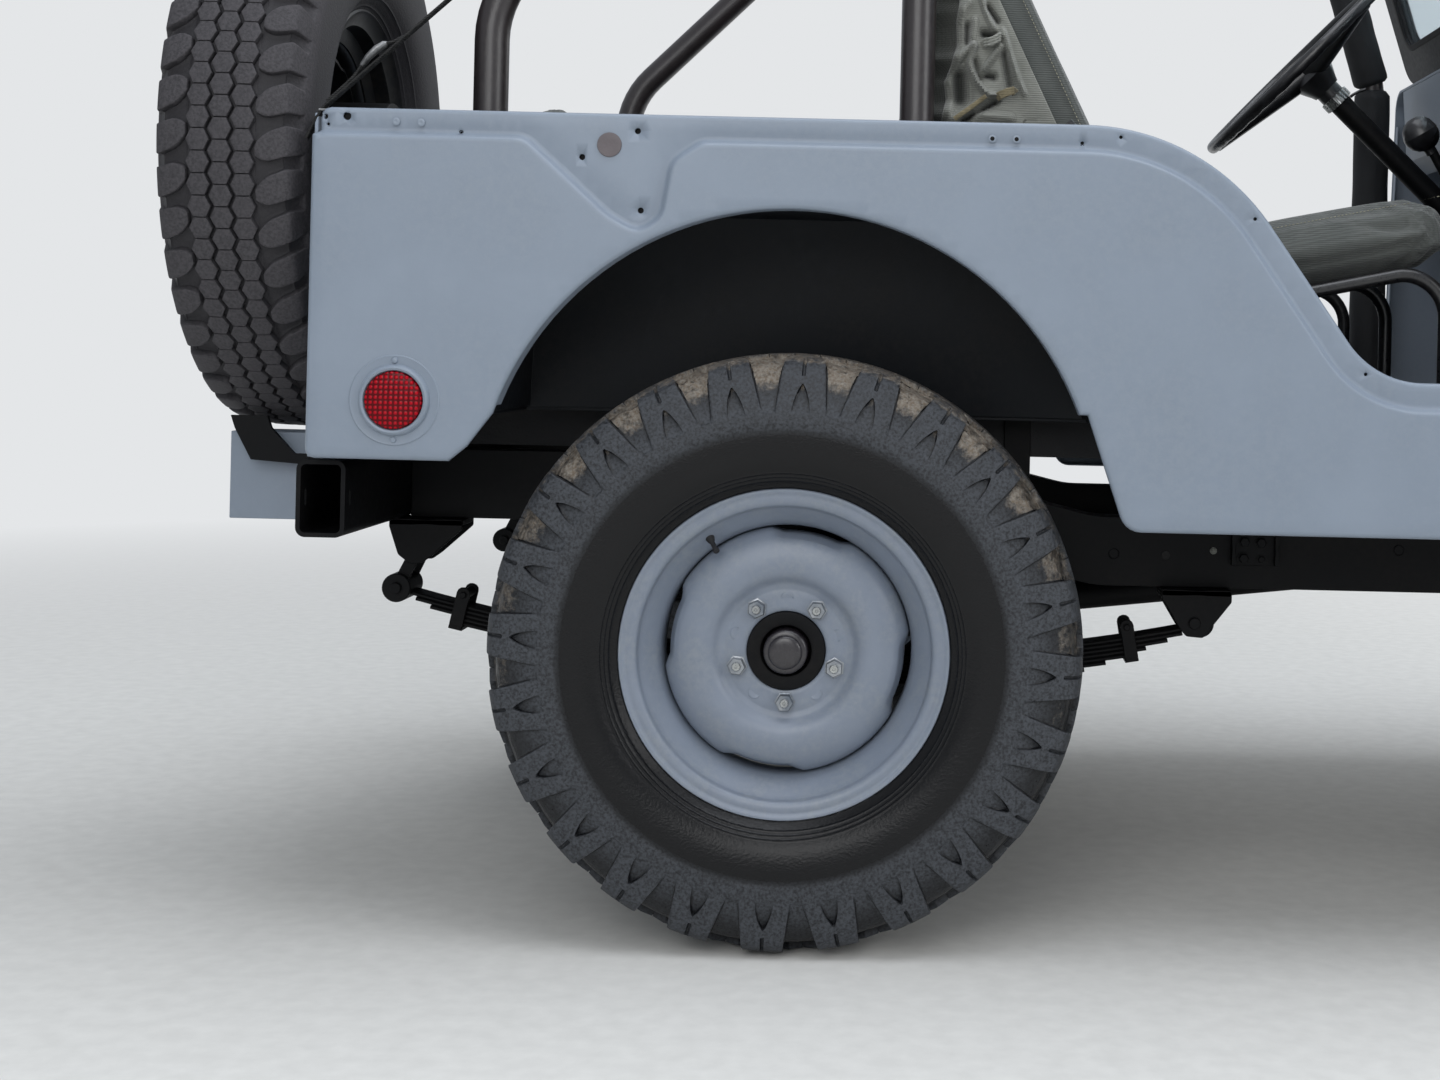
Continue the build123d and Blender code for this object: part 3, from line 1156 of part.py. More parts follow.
def rear_bench_frame():
    """Tube frame of the narrow rear bench."""
    r = SEAT_TUBE / 2
    level, front, foot = BENCH_Z - r, BENCH_BACK + 370, REAR_FLOOR_Z + RIB_HEIGHT + SEAT_GAP
    frame = Part()
    for side in (-1, 1):
        y = side * (BENCH_HALF_WIDTH - 30)
        frame += bent_tube([
            (rx(front), y, foot), (rx(front), y, level), (rx(bench_post_x(level)), y, level),
            (rx(bench_post_x(level + 240)), y, level + 240),
        ], 40, r)
        frame += rod((rx(BENCH_BACK + 10), y, foot), (rx(BENCH_BACK + 10), y, level), r - 1.5)
    for x in (BENCH_BACK + 120, front - 60):
        frame += rod((rx(x), -BENCH_HALF_WIDTH + 30, level), (rx(x), BENCH_HALF_WIDTH - 30, level), r - 1.5)
    return frame


def rear_bench_pads():
    """Seat and back pads of the rear bench."""
    seat = Pos(rx(BENCH_BACK), 0, BENCH_Z + SEAT_GAP) * pad(390, 2 * BENCH_HALF_WIDTH, 80, 40)
    a = radians(BENCH_LEAN)
    plane = Plane(origin=(rx(BENCH_BACK + 2), 0, BENCH_Z + 84), x_dir=(-sin(a), 0, cos(a)), z_dir=(-cos(a), 0, -sin(a)))
    return solids_of([seat, plane * pad(BENCH_BACK_HEIGHT, 2 * BENCH_HALF_WIDTH, BENCH_PAD, 40)])


def roll_cage():
    """Tube cage: main hoop, raked front legs, top rails and rear braces."""
    r = CAGE_TUBE / 2
    top, foot = CAGE_TOP_Z, REAR_FLOOR_Z + SEAT_GAP
    front_top_x = CAGE_FRONT_X - (top - CAGE_FRONT_BEND_Z) * tan(radians(SCREEN_RAKE + 1))
    box_top = BOX_TOP_Z + SEAT_GAP
    cage = bent_tube([
        (rx(HOOP_X), -CAGE_Y, box_top), (rx(HOOP_X), -CAGE_Y, top), (rx(HOOP_X), CAGE_Y, top),
        (rx(HOOP_X), CAGE_Y, box_top),
    ], 110, r)
    for sign in (-1, 1):
        y = sign * CAGE_Y
        inset = sign * (CAGE_Y - CAGE_INSET)
        cage += bent_tube([
            (rx(CAGE_REAR_X), y, foot), (rx(CAGE_REAR_X), y, CAGE_REAR_BEND_Z), (rx(HOOP_X), inset, top),
        ], 150, r)
        cage += bent_tube([
            (rx(CAGE_FRONT_X), y, FRONT_FLOOR_Z + SEAT_GAP), (rx(CAGE_FRONT_X), y, CAGE_FRONT_BEND_Z),
            (rx(front_top_x), y - sign * 60, top), (rx(HOOP_X), inset, top),
        ], 120, r)
        for x, z in ((HOOP_X, box_top), (CAGE_REAR_X, foot), (CAGE_FRONT_X, FRONT_FLOOR_Z + SEAT_GAP)):
            plate = 25 if x == CAGE_REAR_X else 34
            cage += box(rx(x) - plate, rx(x) + plate, y - 45, y + 45, z, z + 6)
    cage += rod((rx(front_top_x), -CAGE_Y + 60, top), (rx(front_top_x), CAGE_Y - 60, top), r)
    return cage


def cage_pads():
    """Foam sleeves round the cage's front legs."""
    r = CAGE_TUBE / 2
    rake = tan(radians(SCREEN_RAKE + 1))
    sleeves = []
    for sign in (-1, 1):
        y = sign * CAGE_Y
        low = rod((rx(CAGE_FRONT_X), y, FRONT_FLOOR_Z + 60), (rx(CAGE_FRONT_X), y, CAGE_FRONT_BEND_Z - 40), CAGE_PAD / 2)
        low -= rod((rx(CAGE_FRONT_X), y, FRONT_FLOOR_Z), (rx(CAGE_FRONT_X), y, CAGE_FRONT_BEND_Z), r + SEAT_GAP)
        sleeves.append(low)
        rise = CAGE_TOP_Z - CAGE_FRONT_BEND_Z
        ends = [(rx(CAGE_FRONT_X - t * rake * rise), y - sign * 60 * t, CAGE_FRONT_BEND_Z + t * rise)
                for t in (0.0, 0.14, 0.72, 1.0)]
        high = rod(ends[1], ends[2], CAGE_PAD / 2) - rod(ends[0], ends[3], r + SEAT_GAP)
        sleeves.append(high)
    return solids_of(sleeves)


# Windscreen


def screen_plane():
    """Middle plane of the windscreen: across, then up the rake, then forward."""
    a = radians(SCREEN_RAKE)
    return Plane(origin=(rx(SCREEN_X), 0, SCREEN_Z), x_dir=(0, 1, 0), z_dir=(cos(a), 0, sin(a)))


def pane_faces(grow):
    """The two glazed openings in the windscreen frame."""
    width = SCREEN_HALF_WIDTH - SCREEN_SIDE - SCREEN_POST / 2
    height = SCREEN_HEIGHT - SCREEN_BASE - SCREEN_HEAD
    pane = RectangleRounded(width + 2 * grow, height + 2 * grow, 38 + grow)
    y = SCREEN_POST / 2 + width / 2
    z = SCREEN_BASE + height / 2
    return [Pos(sign * y, z) * pane for sign in (-1, 1)]


def windscreen_frame():
    """Folding windscreen frame with its hinge eyes."""
    outline = Pos(0, SCREEN_HEIGHT / 2) * RectangleRounded(2 * SCREEN_HALF_WIDTH, SCREEN_HEIGHT, 40)
    for pane in pane_faces(0):
        outline -= pane
    frame = extrude(screen_plane() * outline, amount=SCREEN_DEPTH / 2, both=True)
    for pane in pane_faces(8):
        frame -= extrude(screen_plane() * pane, amount=SCREEN_GLASS / 2 + SEAT_GAP, both=True)
    for y in (-SCREEN_HINGE_Y, SCREEN_HINGE_Y):
        frame += hinge_eye(rx(SCREEN_HINGE[0]), SCREEN_HINGE[1], y, (rx(SCREEN_X), SCREEN_HINGE[1] + 4))
    return frame


def windscreen_glass():
    """The two panes, seated in the frame's channel."""
    panes = [extrude(screen_plane() * pane, amount=SCREEN_GLASS / 2, both=True) for pane in pane_faces(8 - SEAT_GAP)]
    return solids_of(panes)


def cowl_with_hinges():
    """Cowl with the ears and pins of the windscreen and the hood."""
    part = cowl()
    for y in (-SCREEN_HINGE_Y, SCREEN_HINGE_Y):
        part += hinge_line(rx(SCREEN_HINGE[0]), SCREEN_HINGE[1], y, COWL_Z - 3, rx(SCREEN_HINGE[0] - 8))
    for y in (-HINGE_Y, HINGE_Y):
        part += hinge_line(rx(HOOD_HINGE[0]), HOOD_HINGE[1], y, COWL_Z - 6, rx(HOOD_HINGE[0] - 24))
    gap = rx(COWL_FRONT + 1)
    for y in (-HINGE_Y, HINGE_Y):
        for side in (-1, 1):
            y0, y1 = sorted((y + side * 16.9, y + side * 23.1))
            part -= box(gap, gap + 30, y0, y1, COWL_Z - 20, COWL_Z + 1)
    return part


# Lamps, reflectors and lashing straps


def side_reflectors():
    """Round reflector with its bezel on each rear quarter."""
    rows = [  # out from its axis, across the vehicle
        (0, 0), (REFLECTOR_RADIUS + 7, 0), (REFLECTOR_RADIUS + 7, 6), (REFLECTOR_RADIUS + 2, 11),
        (REFLECTOR_RADIUS, 8), (REFLECTOR_RADIUS * 0.6, 11), (0, 12),
    ]
    disc = revolve(polygon(rows), axis=Axis.Y)
    lamp = Pos(rx(REFLECTOR[0]), TUB_HALF_WIDTH + SEAT_GAP, REFLECTOR[1]) * disc
    return solids_of(both_sides(lamp))


def rear_lamps():
    """Tail lamps on the back of the crossbar."""
    z = RAIL_TAIL_BOTTOM_Z + RAIL_DEPTH / 2
    x = rx(CROSSBAR_BACK) - SEAT_GAP
    lamps = [rod((x - 22, y, z), (x, y, z), 34) + rod((x - 28, y, z), (x, y, z), 28) for y in (-560, 560)]
    return solids_of(lamps)


def lashing_straps():
    """Tight straps from the tail corners up to the outer side of the cage's rear braces."""
    inner = TUB_HALF_WIDTH - STEP_DEPTH - SHEET - 8
    low, high = Vector(rx(CAGE_REAR_X), CAGE_Y, CAGE_REAR_BEND_Z), Vector(rx(HOOP_X), CAGE_Y - CAGE_INSET, CAGE_TOP_Z)
    along = (high - low).normalized()
    outward = Vector(-along.Z, 0, along.X) * sin(radians(40)) + Vector(0, 1, 0) * cos(radians(40))
    head = low + (high - low) * 0.85 + outward * (CAGE_TUBE / 2 + STRAP_RADIUS + SEAT_GAP)
    foot = (rx(TUB_BACK + 14), inner, TUB_TOP_Z + 9)
    strap = rod(foot, tuple(head), STRAP_RADIUS)
    strap += box(foot[0] - 8, foot[0] + 8, inner - 6, inner + 6, TUB_TOP_Z + SEAT_GAP, TUB_TOP_Z + 14)
    return solids_of(both_sides(strap))


def main():
    """Builds each sub-part and writes it."""
    save("side_panel_left", side_panel(1))
    save("side_panel_right", side_panel(-1))
    save("wheel_boxes", wheel_boxes())
    column_hole = rod(column_point(400), column_point(COLUMN_END + 200), COLUMN_RADIUS + 6)
    save("floor_pan", floor_pan() - column_hole)
    save("rear_panel", rear_panel())
    save("spare_carrier", spare_carrier())
    save("cowl", cowl_with_hinges())
    save("dashboard", dashboard())
    save("hood", hood())
    save("front_fenders", solids_of(both_sides(fender())))
    save("grille_panel", grille_panel())
    save("front_lamps", front_lamps())
    save("radiator", radiator())
    save("engine", engine())
    save("gearbox", gearbox())
    save("chassis_frame", chassis_frame())
    save("rear_crossbar", rear_crossbar())
    save("bumperettes", bumperettes())
    save("front_bumper", front_bumper())
    save("leaf_springs", leaf_springs())
    save("rear_axle", rear_axle())
    save("front_axle", front_axle())
    save("knuckle_left", knuckle(1))
    save("knuckle_right", knuckle(-1))
    save("tie_rod", tie_rod())
    save("shock_absorbers", shock_absorbers())
    save("propshafts", propshafts())
    save("exhaust", exhaust())
    save("steering_wheel", steering_wheel())
    save("steering_column", steering_column())
    save("pedals_and_levers", pedals_and_levers())
    save("front_cushions", front_cushions())
    save("front_backrests", front_backrests())
    save("seat_frames", seat_frames())
    save("rear_bench_frame", rear_bench_frame())
    save("rear_bench_pads", rear_bench_pads())
    save("roll_cage", roll_cage())
    save("cage_pads", cage_pads())
    save("windscreen_frame", windscreen_frame())
    save("windscreen_glass", windscreen_glass())
    save("side_reflectors", side_reflectors())
    save("rear_lamps", rear_lamps())
    save("lashing_straps", lashing_straps())
    for end, x in (("rear", REAR_AXLE_X), ("front", FRONT_AXLE_X)):
        for side, sign in (("left", 1), ("right", -1)):
            place = Pos(x, sign * WHEEL_Y, AXLE_Z) * Rot(0, 0, 0 if sign > 0 else 180)
            save(f"tyre_{end}_{side}", place * tyre_solid())
            save(f"wheel_{end}_{side}", place * wheel_solid())
    spare = Pos(spare_centre_x(), SPARE_Y, SPARE_Z) * Rot(0, 0, 90)
    save("spare_tyre", spare * tyre_solid())
    save("spare_wheel", spare * spare_wheel_solid())


main()
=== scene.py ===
# %% [markdown]
# An open army four-by-four car, seen close up from its right side.
# The frame of the car comes from its CAD model, and every piece made here rides on one of the CAD bodies.
# This lesson adds what the CAD model leaves out: tread, folds, stitching, seals and finishes.

# %% Load the frame
import json
import math
import bmesh
import bpy
import numpy as np
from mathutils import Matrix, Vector
from mathutils.geometry import delaunay_2d_cdt


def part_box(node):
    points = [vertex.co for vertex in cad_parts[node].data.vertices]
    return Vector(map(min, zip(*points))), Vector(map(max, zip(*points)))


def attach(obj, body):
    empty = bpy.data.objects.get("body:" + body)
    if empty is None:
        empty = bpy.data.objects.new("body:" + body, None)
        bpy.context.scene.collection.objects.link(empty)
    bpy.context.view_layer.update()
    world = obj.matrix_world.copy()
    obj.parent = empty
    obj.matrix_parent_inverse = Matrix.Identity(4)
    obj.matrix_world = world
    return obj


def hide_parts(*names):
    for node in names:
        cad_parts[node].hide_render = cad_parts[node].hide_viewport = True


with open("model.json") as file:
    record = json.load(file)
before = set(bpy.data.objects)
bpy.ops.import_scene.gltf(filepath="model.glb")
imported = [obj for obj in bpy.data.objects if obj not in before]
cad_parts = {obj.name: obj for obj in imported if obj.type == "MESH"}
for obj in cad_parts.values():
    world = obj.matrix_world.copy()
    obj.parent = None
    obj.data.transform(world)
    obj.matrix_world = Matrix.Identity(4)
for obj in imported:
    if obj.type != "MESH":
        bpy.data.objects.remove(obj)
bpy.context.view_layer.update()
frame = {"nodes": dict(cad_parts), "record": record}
BODY_OF = {node: body for body, nodes in frame["record"]["behaviour"]["bodies"].items() for node in nodes}
SLOT_OF = {row["node"]: row["material_slot"] for row in frame["record"]["subparts"]}

# %% [markdown]
# A car body is drawn from two lines: the rear axle, from which lengths are measured, and a level datum
# plane under the frame. Real drawings use such lines too, because they stay put when a panel changes.
# spot() turns those millimetres into the frame's metres, so the sizes below read as a body drawing does.

# %% Places on the car
REAR_AXLE = -0.907
DATUM_RISE = 0.022
WHEELBASE = 2057
AXLE_UP = 384
WHEEL_OUT = 623.5
SPARE_AT = (-752, -358, 1068)
SIDES = {"right": -1, "left": 1}


def spot(along, across, up):
    """Millimetres ahead of the rear axle, left of the centre line and above the datum, as metres."""
    along, across, up = np.broadcast_arrays(along, across, up)
    return np.stack([along / 1000 + REAR_AXLE, across / 1000, up / 1000 + DATUM_RISE], axis=-1)


print("rear axle stands at", spot(0, 0, AXLE_UP).round(3))

# %% [markdown]
# Pressed steel, rubber and tube all come from a die, a mould or a bender, so each is one smooth sheet of
# points. Here a sheet is a grid worked out by numpy: rows one way, columns the other, closed into a ring
# where the real one is round.

# %% Sheets of points
def grid_faces(rows, columns, round_rows=False, round_columns=False):
    """Corners of the quads between rows and columns; a round direction also joins its last to its first."""
    down = np.arange(rows if round_rows else rows - 1)[:, None]
    along = np.arange(columns if round_columns else columns - 1)[None, :]
    below, beside = (down + 1) % rows, (along + 1) % columns
    corners = [down * columns + along, down * columns + beside, below * columns + beside,
               below * columns + along]
    return np.stack([c.ravel() for c in corners], axis=1)


def sheet_of(points, **closing):
    """A grid of points of shape (rows, columns, 3) with its quads."""
    return points.reshape(-1, 3), grid_faces(*points.shape[:2], **closing)


def together(parts):
    """Several (points, faces) pairs as one, each one's corners counted on from the last."""
    starts = np.cumsum([0] + [len(points) for points, faces in parts[:-1]])
    return np.vstack([p for p, f in parts]), np.vstack([f + start for (p, f), start in zip(parts, starts)])


def new_piece(name, shape, node, skin, merge=2e-6, sharp=38, marks=None, closed=True):
    """Makes a mesh of (points, faces), riding on the body of a CAD node and finished in a material."""
    points, faces = shape
    mesh = bpy.data.meshes.new(name)
    mesh.vertices.add(len(points))
    mesh.vertices.foreach_set("co", np.asarray(points, np.float32).ravel())
    mesh.loops.add(faces.size)
    mesh.loops.foreach_set("vertex_index", faces.astype(np.int32).ravel())
    mesh.polygons.add(len(faces))
    mesh.polygons.foreach_set("loop_start", np.arange(0, faces.size, faces.shape[1], dtype=np.int32))
    mesh.update(calc_edges=True)
    for label, values in (marks or {}).items():
        mark = mesh.attributes.new(label, "FLOAT", "POINT")
        mark.data.foreach_set("value", np.asarray(values, np.float32).ravel())
    return finish_mesh(name, mesh, node, skin, merge, sharp, closed)


def finish_mesh(name, mesh, node, skin, merge=2e-6, sharp=38, closed=True):
    """Merges doubles, turns faces outwards, smooths all but sharp edges and hangs the piece on its body."""
    work = bmesh.new()
    work.from_mesh(mesh)
    bmesh.ops.remove_doubles(work, verts=work.verts, dist=merge)
    if closed:
        bmesh.ops.recalc_face_normals(work, faces=work.faces)
    work.to_mesh(mesh)
    work.free()
    mesh.polygons.foreach_set("use_smooth", np.ones(len(mesh.polygons), bool))
    mesh.set_sharp_from_angle(angle=math.radians(sharp))
    piece = bpy.data.objects.new(name, mesh)
    bpy.context.scene.collection.objects.link(piece)
    mesh.materials.append(skin)
    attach(piece, BODY_OF[node])
    return piece


def points_of(mesh):
    """A mesh's points as an array."""
    points = np.empty(len(mesh.vertices) * 3, np.float32)
    mesh.vertices.foreach_get("co", points)
    return points.reshape(-1, 3)


def move_points(mesh, points):
    """Puts a mesh's points at new places."""
    mesh.vertices.foreach_set("co", np.asarray(points, np.float32).ravel())
    mesh.update()


def smooth_line(knots, per_span=8):
    """Catmull-Rom line: it passes each knot in the direction of the line between that knot's neighbours."""
    p = np.asarray(knots, float)
    p = np.vstack([2 * p[0] - p[1], p, 2 * p[-1] - p[-2]])
    t = np.linspace(0, 1, per_span, endpoint=False)[:, None, None]
    a, b, c, d = p[:-3], p[1:-2], p[2:-1], p[3:]
    q = 0.5 * (2 * b + (c - a) * t + (2 * a - 5 * b + 4 * c - d) * t**2 + (3 * b - a - 3 * c + d) * t**3)
    return np.vstack([q.transpose(1, 0, 2).reshape(-1, p.shape[1]), p[-2]])


def unit(vectors):
    """Vectors at length one."""
    return vectors / np.maximum(np.linalg.norm(vectors, axis=-1, keepdims=True), 1e-12)


def swept(path, outline, upright=(0, 0, 1), capped=True):
    """Carries a closed outline of (side, up) pairs along a path; side is square to path and upright."""
    path, outline = np.asarray(path, float), np.asarray(outline, float)
    forward = unit(np.gradient(path, axis=0))
    side = unit(np.cross(forward, np.broadcast_to(upright, path.shape)))
    up = np.cross(side, forward)
    if outline.ndim == 2:
        outline = np.broadcast_to(outline, (len(path), *outline.shape))
    rings = path[:, None] + outline[..., :1] * side[:, None] + outline[..., 1:] * up[:, None]
    if capped:
        first = np.broadcast_to(path[0], rings[0].shape)[None]
        last = np.broadcast_to(path[-1], rings[0].shape)[None]
        rings = np.concatenate([first, rings, last])
    return sheet_of(rings, round_columns=True)


def around(count):
    """Even angles once round, without the last, which is the first again."""
    return np.linspace(0, 2 * np.pi, count, endpoint=False)


def ring_outline(radius, sides=16):
    """A circle as (side, up) pairs."""
    turn = around(sides)
    return radius * np.column_stack([np.cos(turn), np.sin(turn)])


def plate_outline(wide, thick, round_by=None):
    """A flat strap's section with eased corners as (side, up) pairs."""
    r = round_by or min(wide, thick) * 0.3
    a, b = wide / 2, thick / 2
    return np.array([(a - r, -b), (a, -b + r), (a, b - r), (a - r, b), (-a + r, b), (-a, b - r),
                     (-a, -b + r), (-a + r, -b)])


def turned(rows, centre, axis, steps=48, start=0.0):
    """Turns (out, along) rows, in millimetres, about an axis: out times cosine one way and sine the other."""
    rows = np.asarray(rows, float) / 1000
    axis = unit(np.asarray(axis, float))
    one = unit(np.cross(axis, (0.0, 0.0, 1.0) if abs(axis[2]) < 0.9 else (1.0, 0.0, 0.0)))
    other = np.cross(axis, one)
    turn = start + around(steps)[None, :, None]
    out, along = rows[:, 0][:, None, None], rows[:, 1][:, None, None]
    points = np.asarray(centre) + along * axis + out * (np.cos(turn) * one + np.sin(turn) * other)
    return sheet_of(points, round_columns=True)


def stud(rows, x, y, z, side, steps):
    """A turned piece that stands out of the car's side, at a place in millimetres."""
    return turned(rows, spot(x, side * y, z), (0, side, 0), steps)


print("a grid of 4 by 6 points has", len(grid_faces(4, 6)), "quads, and",
      len(grid_faces(4, 6, round_columns=True)), "as a ring")

# %% [markdown]
# Materials are graphs of nodes. One helper adds a node with its settings and with what feeds it, and
# another turns the hex codes that a paint maker's chart gives into Blender's linear colours.

# %% Nodes and colours
def linear(code):
    """A hex colour as linear light: (c + 0.055) / 1.055 to the power 2.4, or c / 12.92 where it is dark."""
    c = np.array([int(code[i:i + 2], 16) for i in (1, 3, 5)]) / 255
    return (*np.where(c <= 0.04045, c / 12.92, ((c + 0.055) / 1.055) ** 2.4).tolist(), 1.0)


def add(tree, kind, feeds=(), **settings):
    """Adds a node; settings are its own values, and feeds its sockets' values or what feeds them."""
    made = tree.nodes.new("ShaderNode" + kind)
    for name, value in settings.items():
        setattr(made, name, value)
    for name, value in dict(feeds).items():
        if isinstance(value, bpy.types.NodeSocket):
            tree.links.new(value, made.inputs[name])
        else:
            made.inputs[name].default_value = value
    return made


def start_material(name):
    """A material with nothing in it but its output, and the piece's own coordinates."""
    skin = bpy.data.materials.new(name)
    skin.use_nodes = True
    tree = skin.node_tree
    tree.nodes.clear()
    return skin, tree, add(tree, "TexCoord").outputs["Object"]


def surface(tree, **sockets):
    """The shader that ends a material, with its sockets' names written with underscores for spaces."""
    shader = add(tree, "BsdfPrincipled", {name.replace("_", " "): value for name, value in sockets.items()})
    tree.links.new(shader.outputs[0], add(tree, "OutputMaterial").inputs["Surface"])
    return shader


def blend_colours(tree, amount, first, second):
    """Two colours or outputs mixed by an amount."""
    mix = add(tree, "Mix", data_type="RGBA")
    for index, value in ((0, amount), (6, first), (7, second)):
        if isinstance(value, bpy.types.NodeSocket):
            tree.links.new(value, mix.inputs[index])
        else:
            mix.inputs[index].default_value = value
    return mix.outputs[2]


def spread(tree, value, low, high, to_low=0.0, to_high=1.0):
    """A value's part from low to high, stretched to run from to_low to to_high."""
    feeds = {"Value": value, "From Min": low, "From Max": high, "To Min": to_low, "To Max": to_high}
    return add(tree, "MapRange", feeds).outputs[0]


def two_tone(tree, value, first, second, low=0.3, high=0.7):
    """One hex colour turning into another as a value runs from low to high."""
    return blend_colours(tree, spread(tree, value, low, high), linear(first), linear(second))


def noise(tree, place, scale, detail, roughness=0.5):
    """Soft noise with so many features to the metre."""
    feeds = {"Vector": place, "Scale": scale, "Detail": detail, "Roughness": roughness}
    return add(tree, "TexNoise", feeds).outputs[0]


def calc(tree, operation, first, second):
    """Two values or outputs joined by one sum."""
    return add(tree, "Math", {0: first, 1: second}, operation=operation).outputs[0]


def stored(tree, name):
    """A mark stored on the piece's points."""
    return add(tree, "Attribute", attribute_name=name).outputs["Fac"]


def bumped(tree, height, strength, metres=0.001):
    """The surface's direction, bent by a height."""
    return add(tree, "Bump", {"Height": height, "Strength": strength, "Distance": metres}).outputs[0]


print("paint grey in linear light:", [round(c, 3) for c in linear("#87919D")])

# %% [markdown]
# The body is satin coach paint, sprayed over filled and rubbed-down steel. It gives the eye a soft sheen,
# faint orange peel and, where the car has stood out, a little dust. Chassis black is brushed or sprayed
# thicker and holds more dust. All of them are one recipe with different numbers: colour, patches, peel and
# dust.

# %% Painted steel
def painted(name, colour, shade, dust, rough, peel_mm=3.0, peel=0.05, dust_share=0.25, patch_mm=140,
            sheen=0.35, shine=0.5):
    """Coach paint: two near colours in soft patches, thin dust, and fine orange peel."""
    skin, tree, place = start_material(name)
    patches = noise(tree, place, 1000 / patch_mm, 5.0, 0.6)
    specks = noise(tree, place, 1000 / 9, 4.0, 0.7)
    fine = noise(tree, place, 1000 / peel_mm, 2.0)
    mottled = two_tone(tree, patches, colour, shade)
    grime = calc(tree, "MULTIPLY", patches, specks)
    dusty = blend_colours(tree, spread(tree, grime, 0.22, 0.42, 0.0, dust_share), mottled, linear(dust))
    gloss = spread(tree, specks, 0.3, 0.7, rough - 0.06, rough + 0.08)
    bump = bumped(tree, fine, peel)
    surface(tree, Base_Color=dusty, Roughness=gloss, Normal=bump, Coat_Weight=sheen, Coat_Roughness=0.32,
            Specular_IOR_Level=shine)
    return skin


BODY_PAINT = painted("satin_coach_paint", "#848F9D", "#7B8694", "#98A0A8", 0.48, peel=0.06, dust_share=0.2,
                     sheen=0.22)
INSIDE_PAINT = painted("satin_black_tub_lining", "#1B1E22", "#14161A", "#3E3C39", 0.5, dust_share=0.2,
                       sheen=0.0, shine=0.2)
CHASSIS_PAINT = painted("brushed_chassis_enamel", "#0E0F11", "#0A0A0C", "#2E2B28", 0.5, peel_mm=6,
                        peel=0.12, dust_share=0.2, sheen=0.0, shine=0.15)
WHEEL_PAINT = painted("sprayed_wheel_enamel", "#7D8694", "#737C8A", "#999E9F", 0.42, peel=0.1,
                      dust_share=0.3, patch_mm=60, sheen=0.3)
BLACK_WHEEL_PAINT = painted("black_wheel_enamel", "#1C1D20", "#141518", "#4F4B45", 0.4, dust_share=0.3,
                            patch_mm=60)
CAGE_PAINT = painted("roll_cage_enamel", "#2A2325", "#1E191B", "#4E4845", 0.34, peel=0.1, dust_share=0.2,
                     sheen=0.5)
TUBE_PAINT = painted("seat_tube_enamel", "#1A1A1C", "#101012", "#4A4642", 0.3, dust_share=0.2, sheen=0.5)
print("painted finishes made")

# %% [markdown]
# Bare and cast metals: a cast iron case is sand-cast and rough, an exhaust pipe is rolled steel that heat
# has browned, and bolts are zinc-plated. Metals keep the default index of refraction and take their look
# from roughness and colour.

# %% Bare metals
def bare_metal(name, colour, shade, rough, grain_mm, bump, metallic=1.0):
    """Bare metal: two near colours in blotches and a grain that roughens it."""
    skin, tree, place = start_material(name)
    blotches = noise(tree, place, 25.0, 6.0, 0.65)
    grain = noise(tree, place, 1000 / grain_mm, 3.0)
    colours = two_tone(tree, blotches, colour, shade, 0.35, 0.65)
    relief = bumped(tree, grain, bump)
    surface(tree, Base_Color=colours, Roughness=spread(tree, grain, 0.3, 0.7, rough - 0.1, rough + 0.1),
            Normal=relief, Metallic=metallic)
    return skin


CAST_IRON = bare_metal("sand_cast_iron", "#4A4744", "#35312E", 0.62, 2.5, 0.5, 0.7)
EXHAUST_STEEL = bare_metal("heat_browned_steel", "#7A6A5C", "#5A4A40", 0.45, 4.0, 0.2)
ZINC = bare_metal("zinc_plated_steel", "#B9BBB8", "#96989A", 0.3, 3.0, 0.15)
BRASS = bare_metal("tarnished_brass", "#9C7A45", "#6E5634", 0.42, 4.0, 0.2)
print("bare metals made")

# %% [markdown]
# Tyre rubber is vulcanised in a polished mould, so its sidewall shines when it is wet or dressed, while lug
# faces are scuffed grey and dried mud is dead matt. Two marks stored on the tyre's points, worn and mud,
# say where each shows. On the road tyre they also carry painted light: a grey band of painted sheen on the
# raised shoulder of the side, and painted shade where both are cleared beside the groove walls.

# %% Tyre rubber
def rubber(name, black, grey, mud, gloss):
    """Moulded rubber: black, then grey by the worn mark (scuffs, and a band of painted sheen), then mud by
    the mud mark and noise; black where both marks are cleared is painted shade.
    """
    skin, tree, place = start_material(name)
    worn = stored(tree, "worn")
    muddy = stored(tree, "mud")
    clods = noise(tree, place, 90.0, 8.0, 0.72)
    scuffs = noise(tree, place, 260.0, 4.0, 0.6)
    uneven = calc(tree, "MULTIPLY", worn, spread(tree, scuffs, 0.34, 0.62, 0.22, 1.0))
    scuffed = blend_colours(tree, uneven, linear(black), linear(grey))
    clotted = spread(tree, calc(tree, "MULTIPLY", muddy, clods), 0.27, 0.47)
    earth = two_tone(tree, scuffs, mud, "#8F8A82", 0.35, 0.7)
    colour = blend_colours(tree, clotted, scuffed, earth)
    dull = spread(tree, calc(tree, "MAXIMUM", uneven, clotted), 0.0, 1.0, gloss, 0.86)
    height = calc(tree, "MULTIPLY", clods, clotted)
    grainy = calc(tree, "ADD", height, scuffs)
    relief = bumped(tree, grainy, 0.35, 0.002)
    surface(tree, Base_Color=colour, Roughness=dull, Normal=relief, Specular_IOR_Level=0.3)
    return skin


TYRE_RUBBER = rubber("dressed_tyre_rubber", "#0A0A0C", "#4C4F54", "#6E6255", 0.24)
SPARE_RUBBER = rubber("dry_tyre_rubber", "#2B2A2D", "#4B494C", "#5D5650", 0.55)
print("rubber made")

# %% [markdown]
# Soft things next. Seat canvas is plain-woven cotton duck, about 2 threads to the millimetre, faded olive
# grey. Webbing is ribbed across its width. Foam sleeves are closed-cell and matt. The weave is drawn three
# times coarser than it is, because the real thread is finer than one pixel.

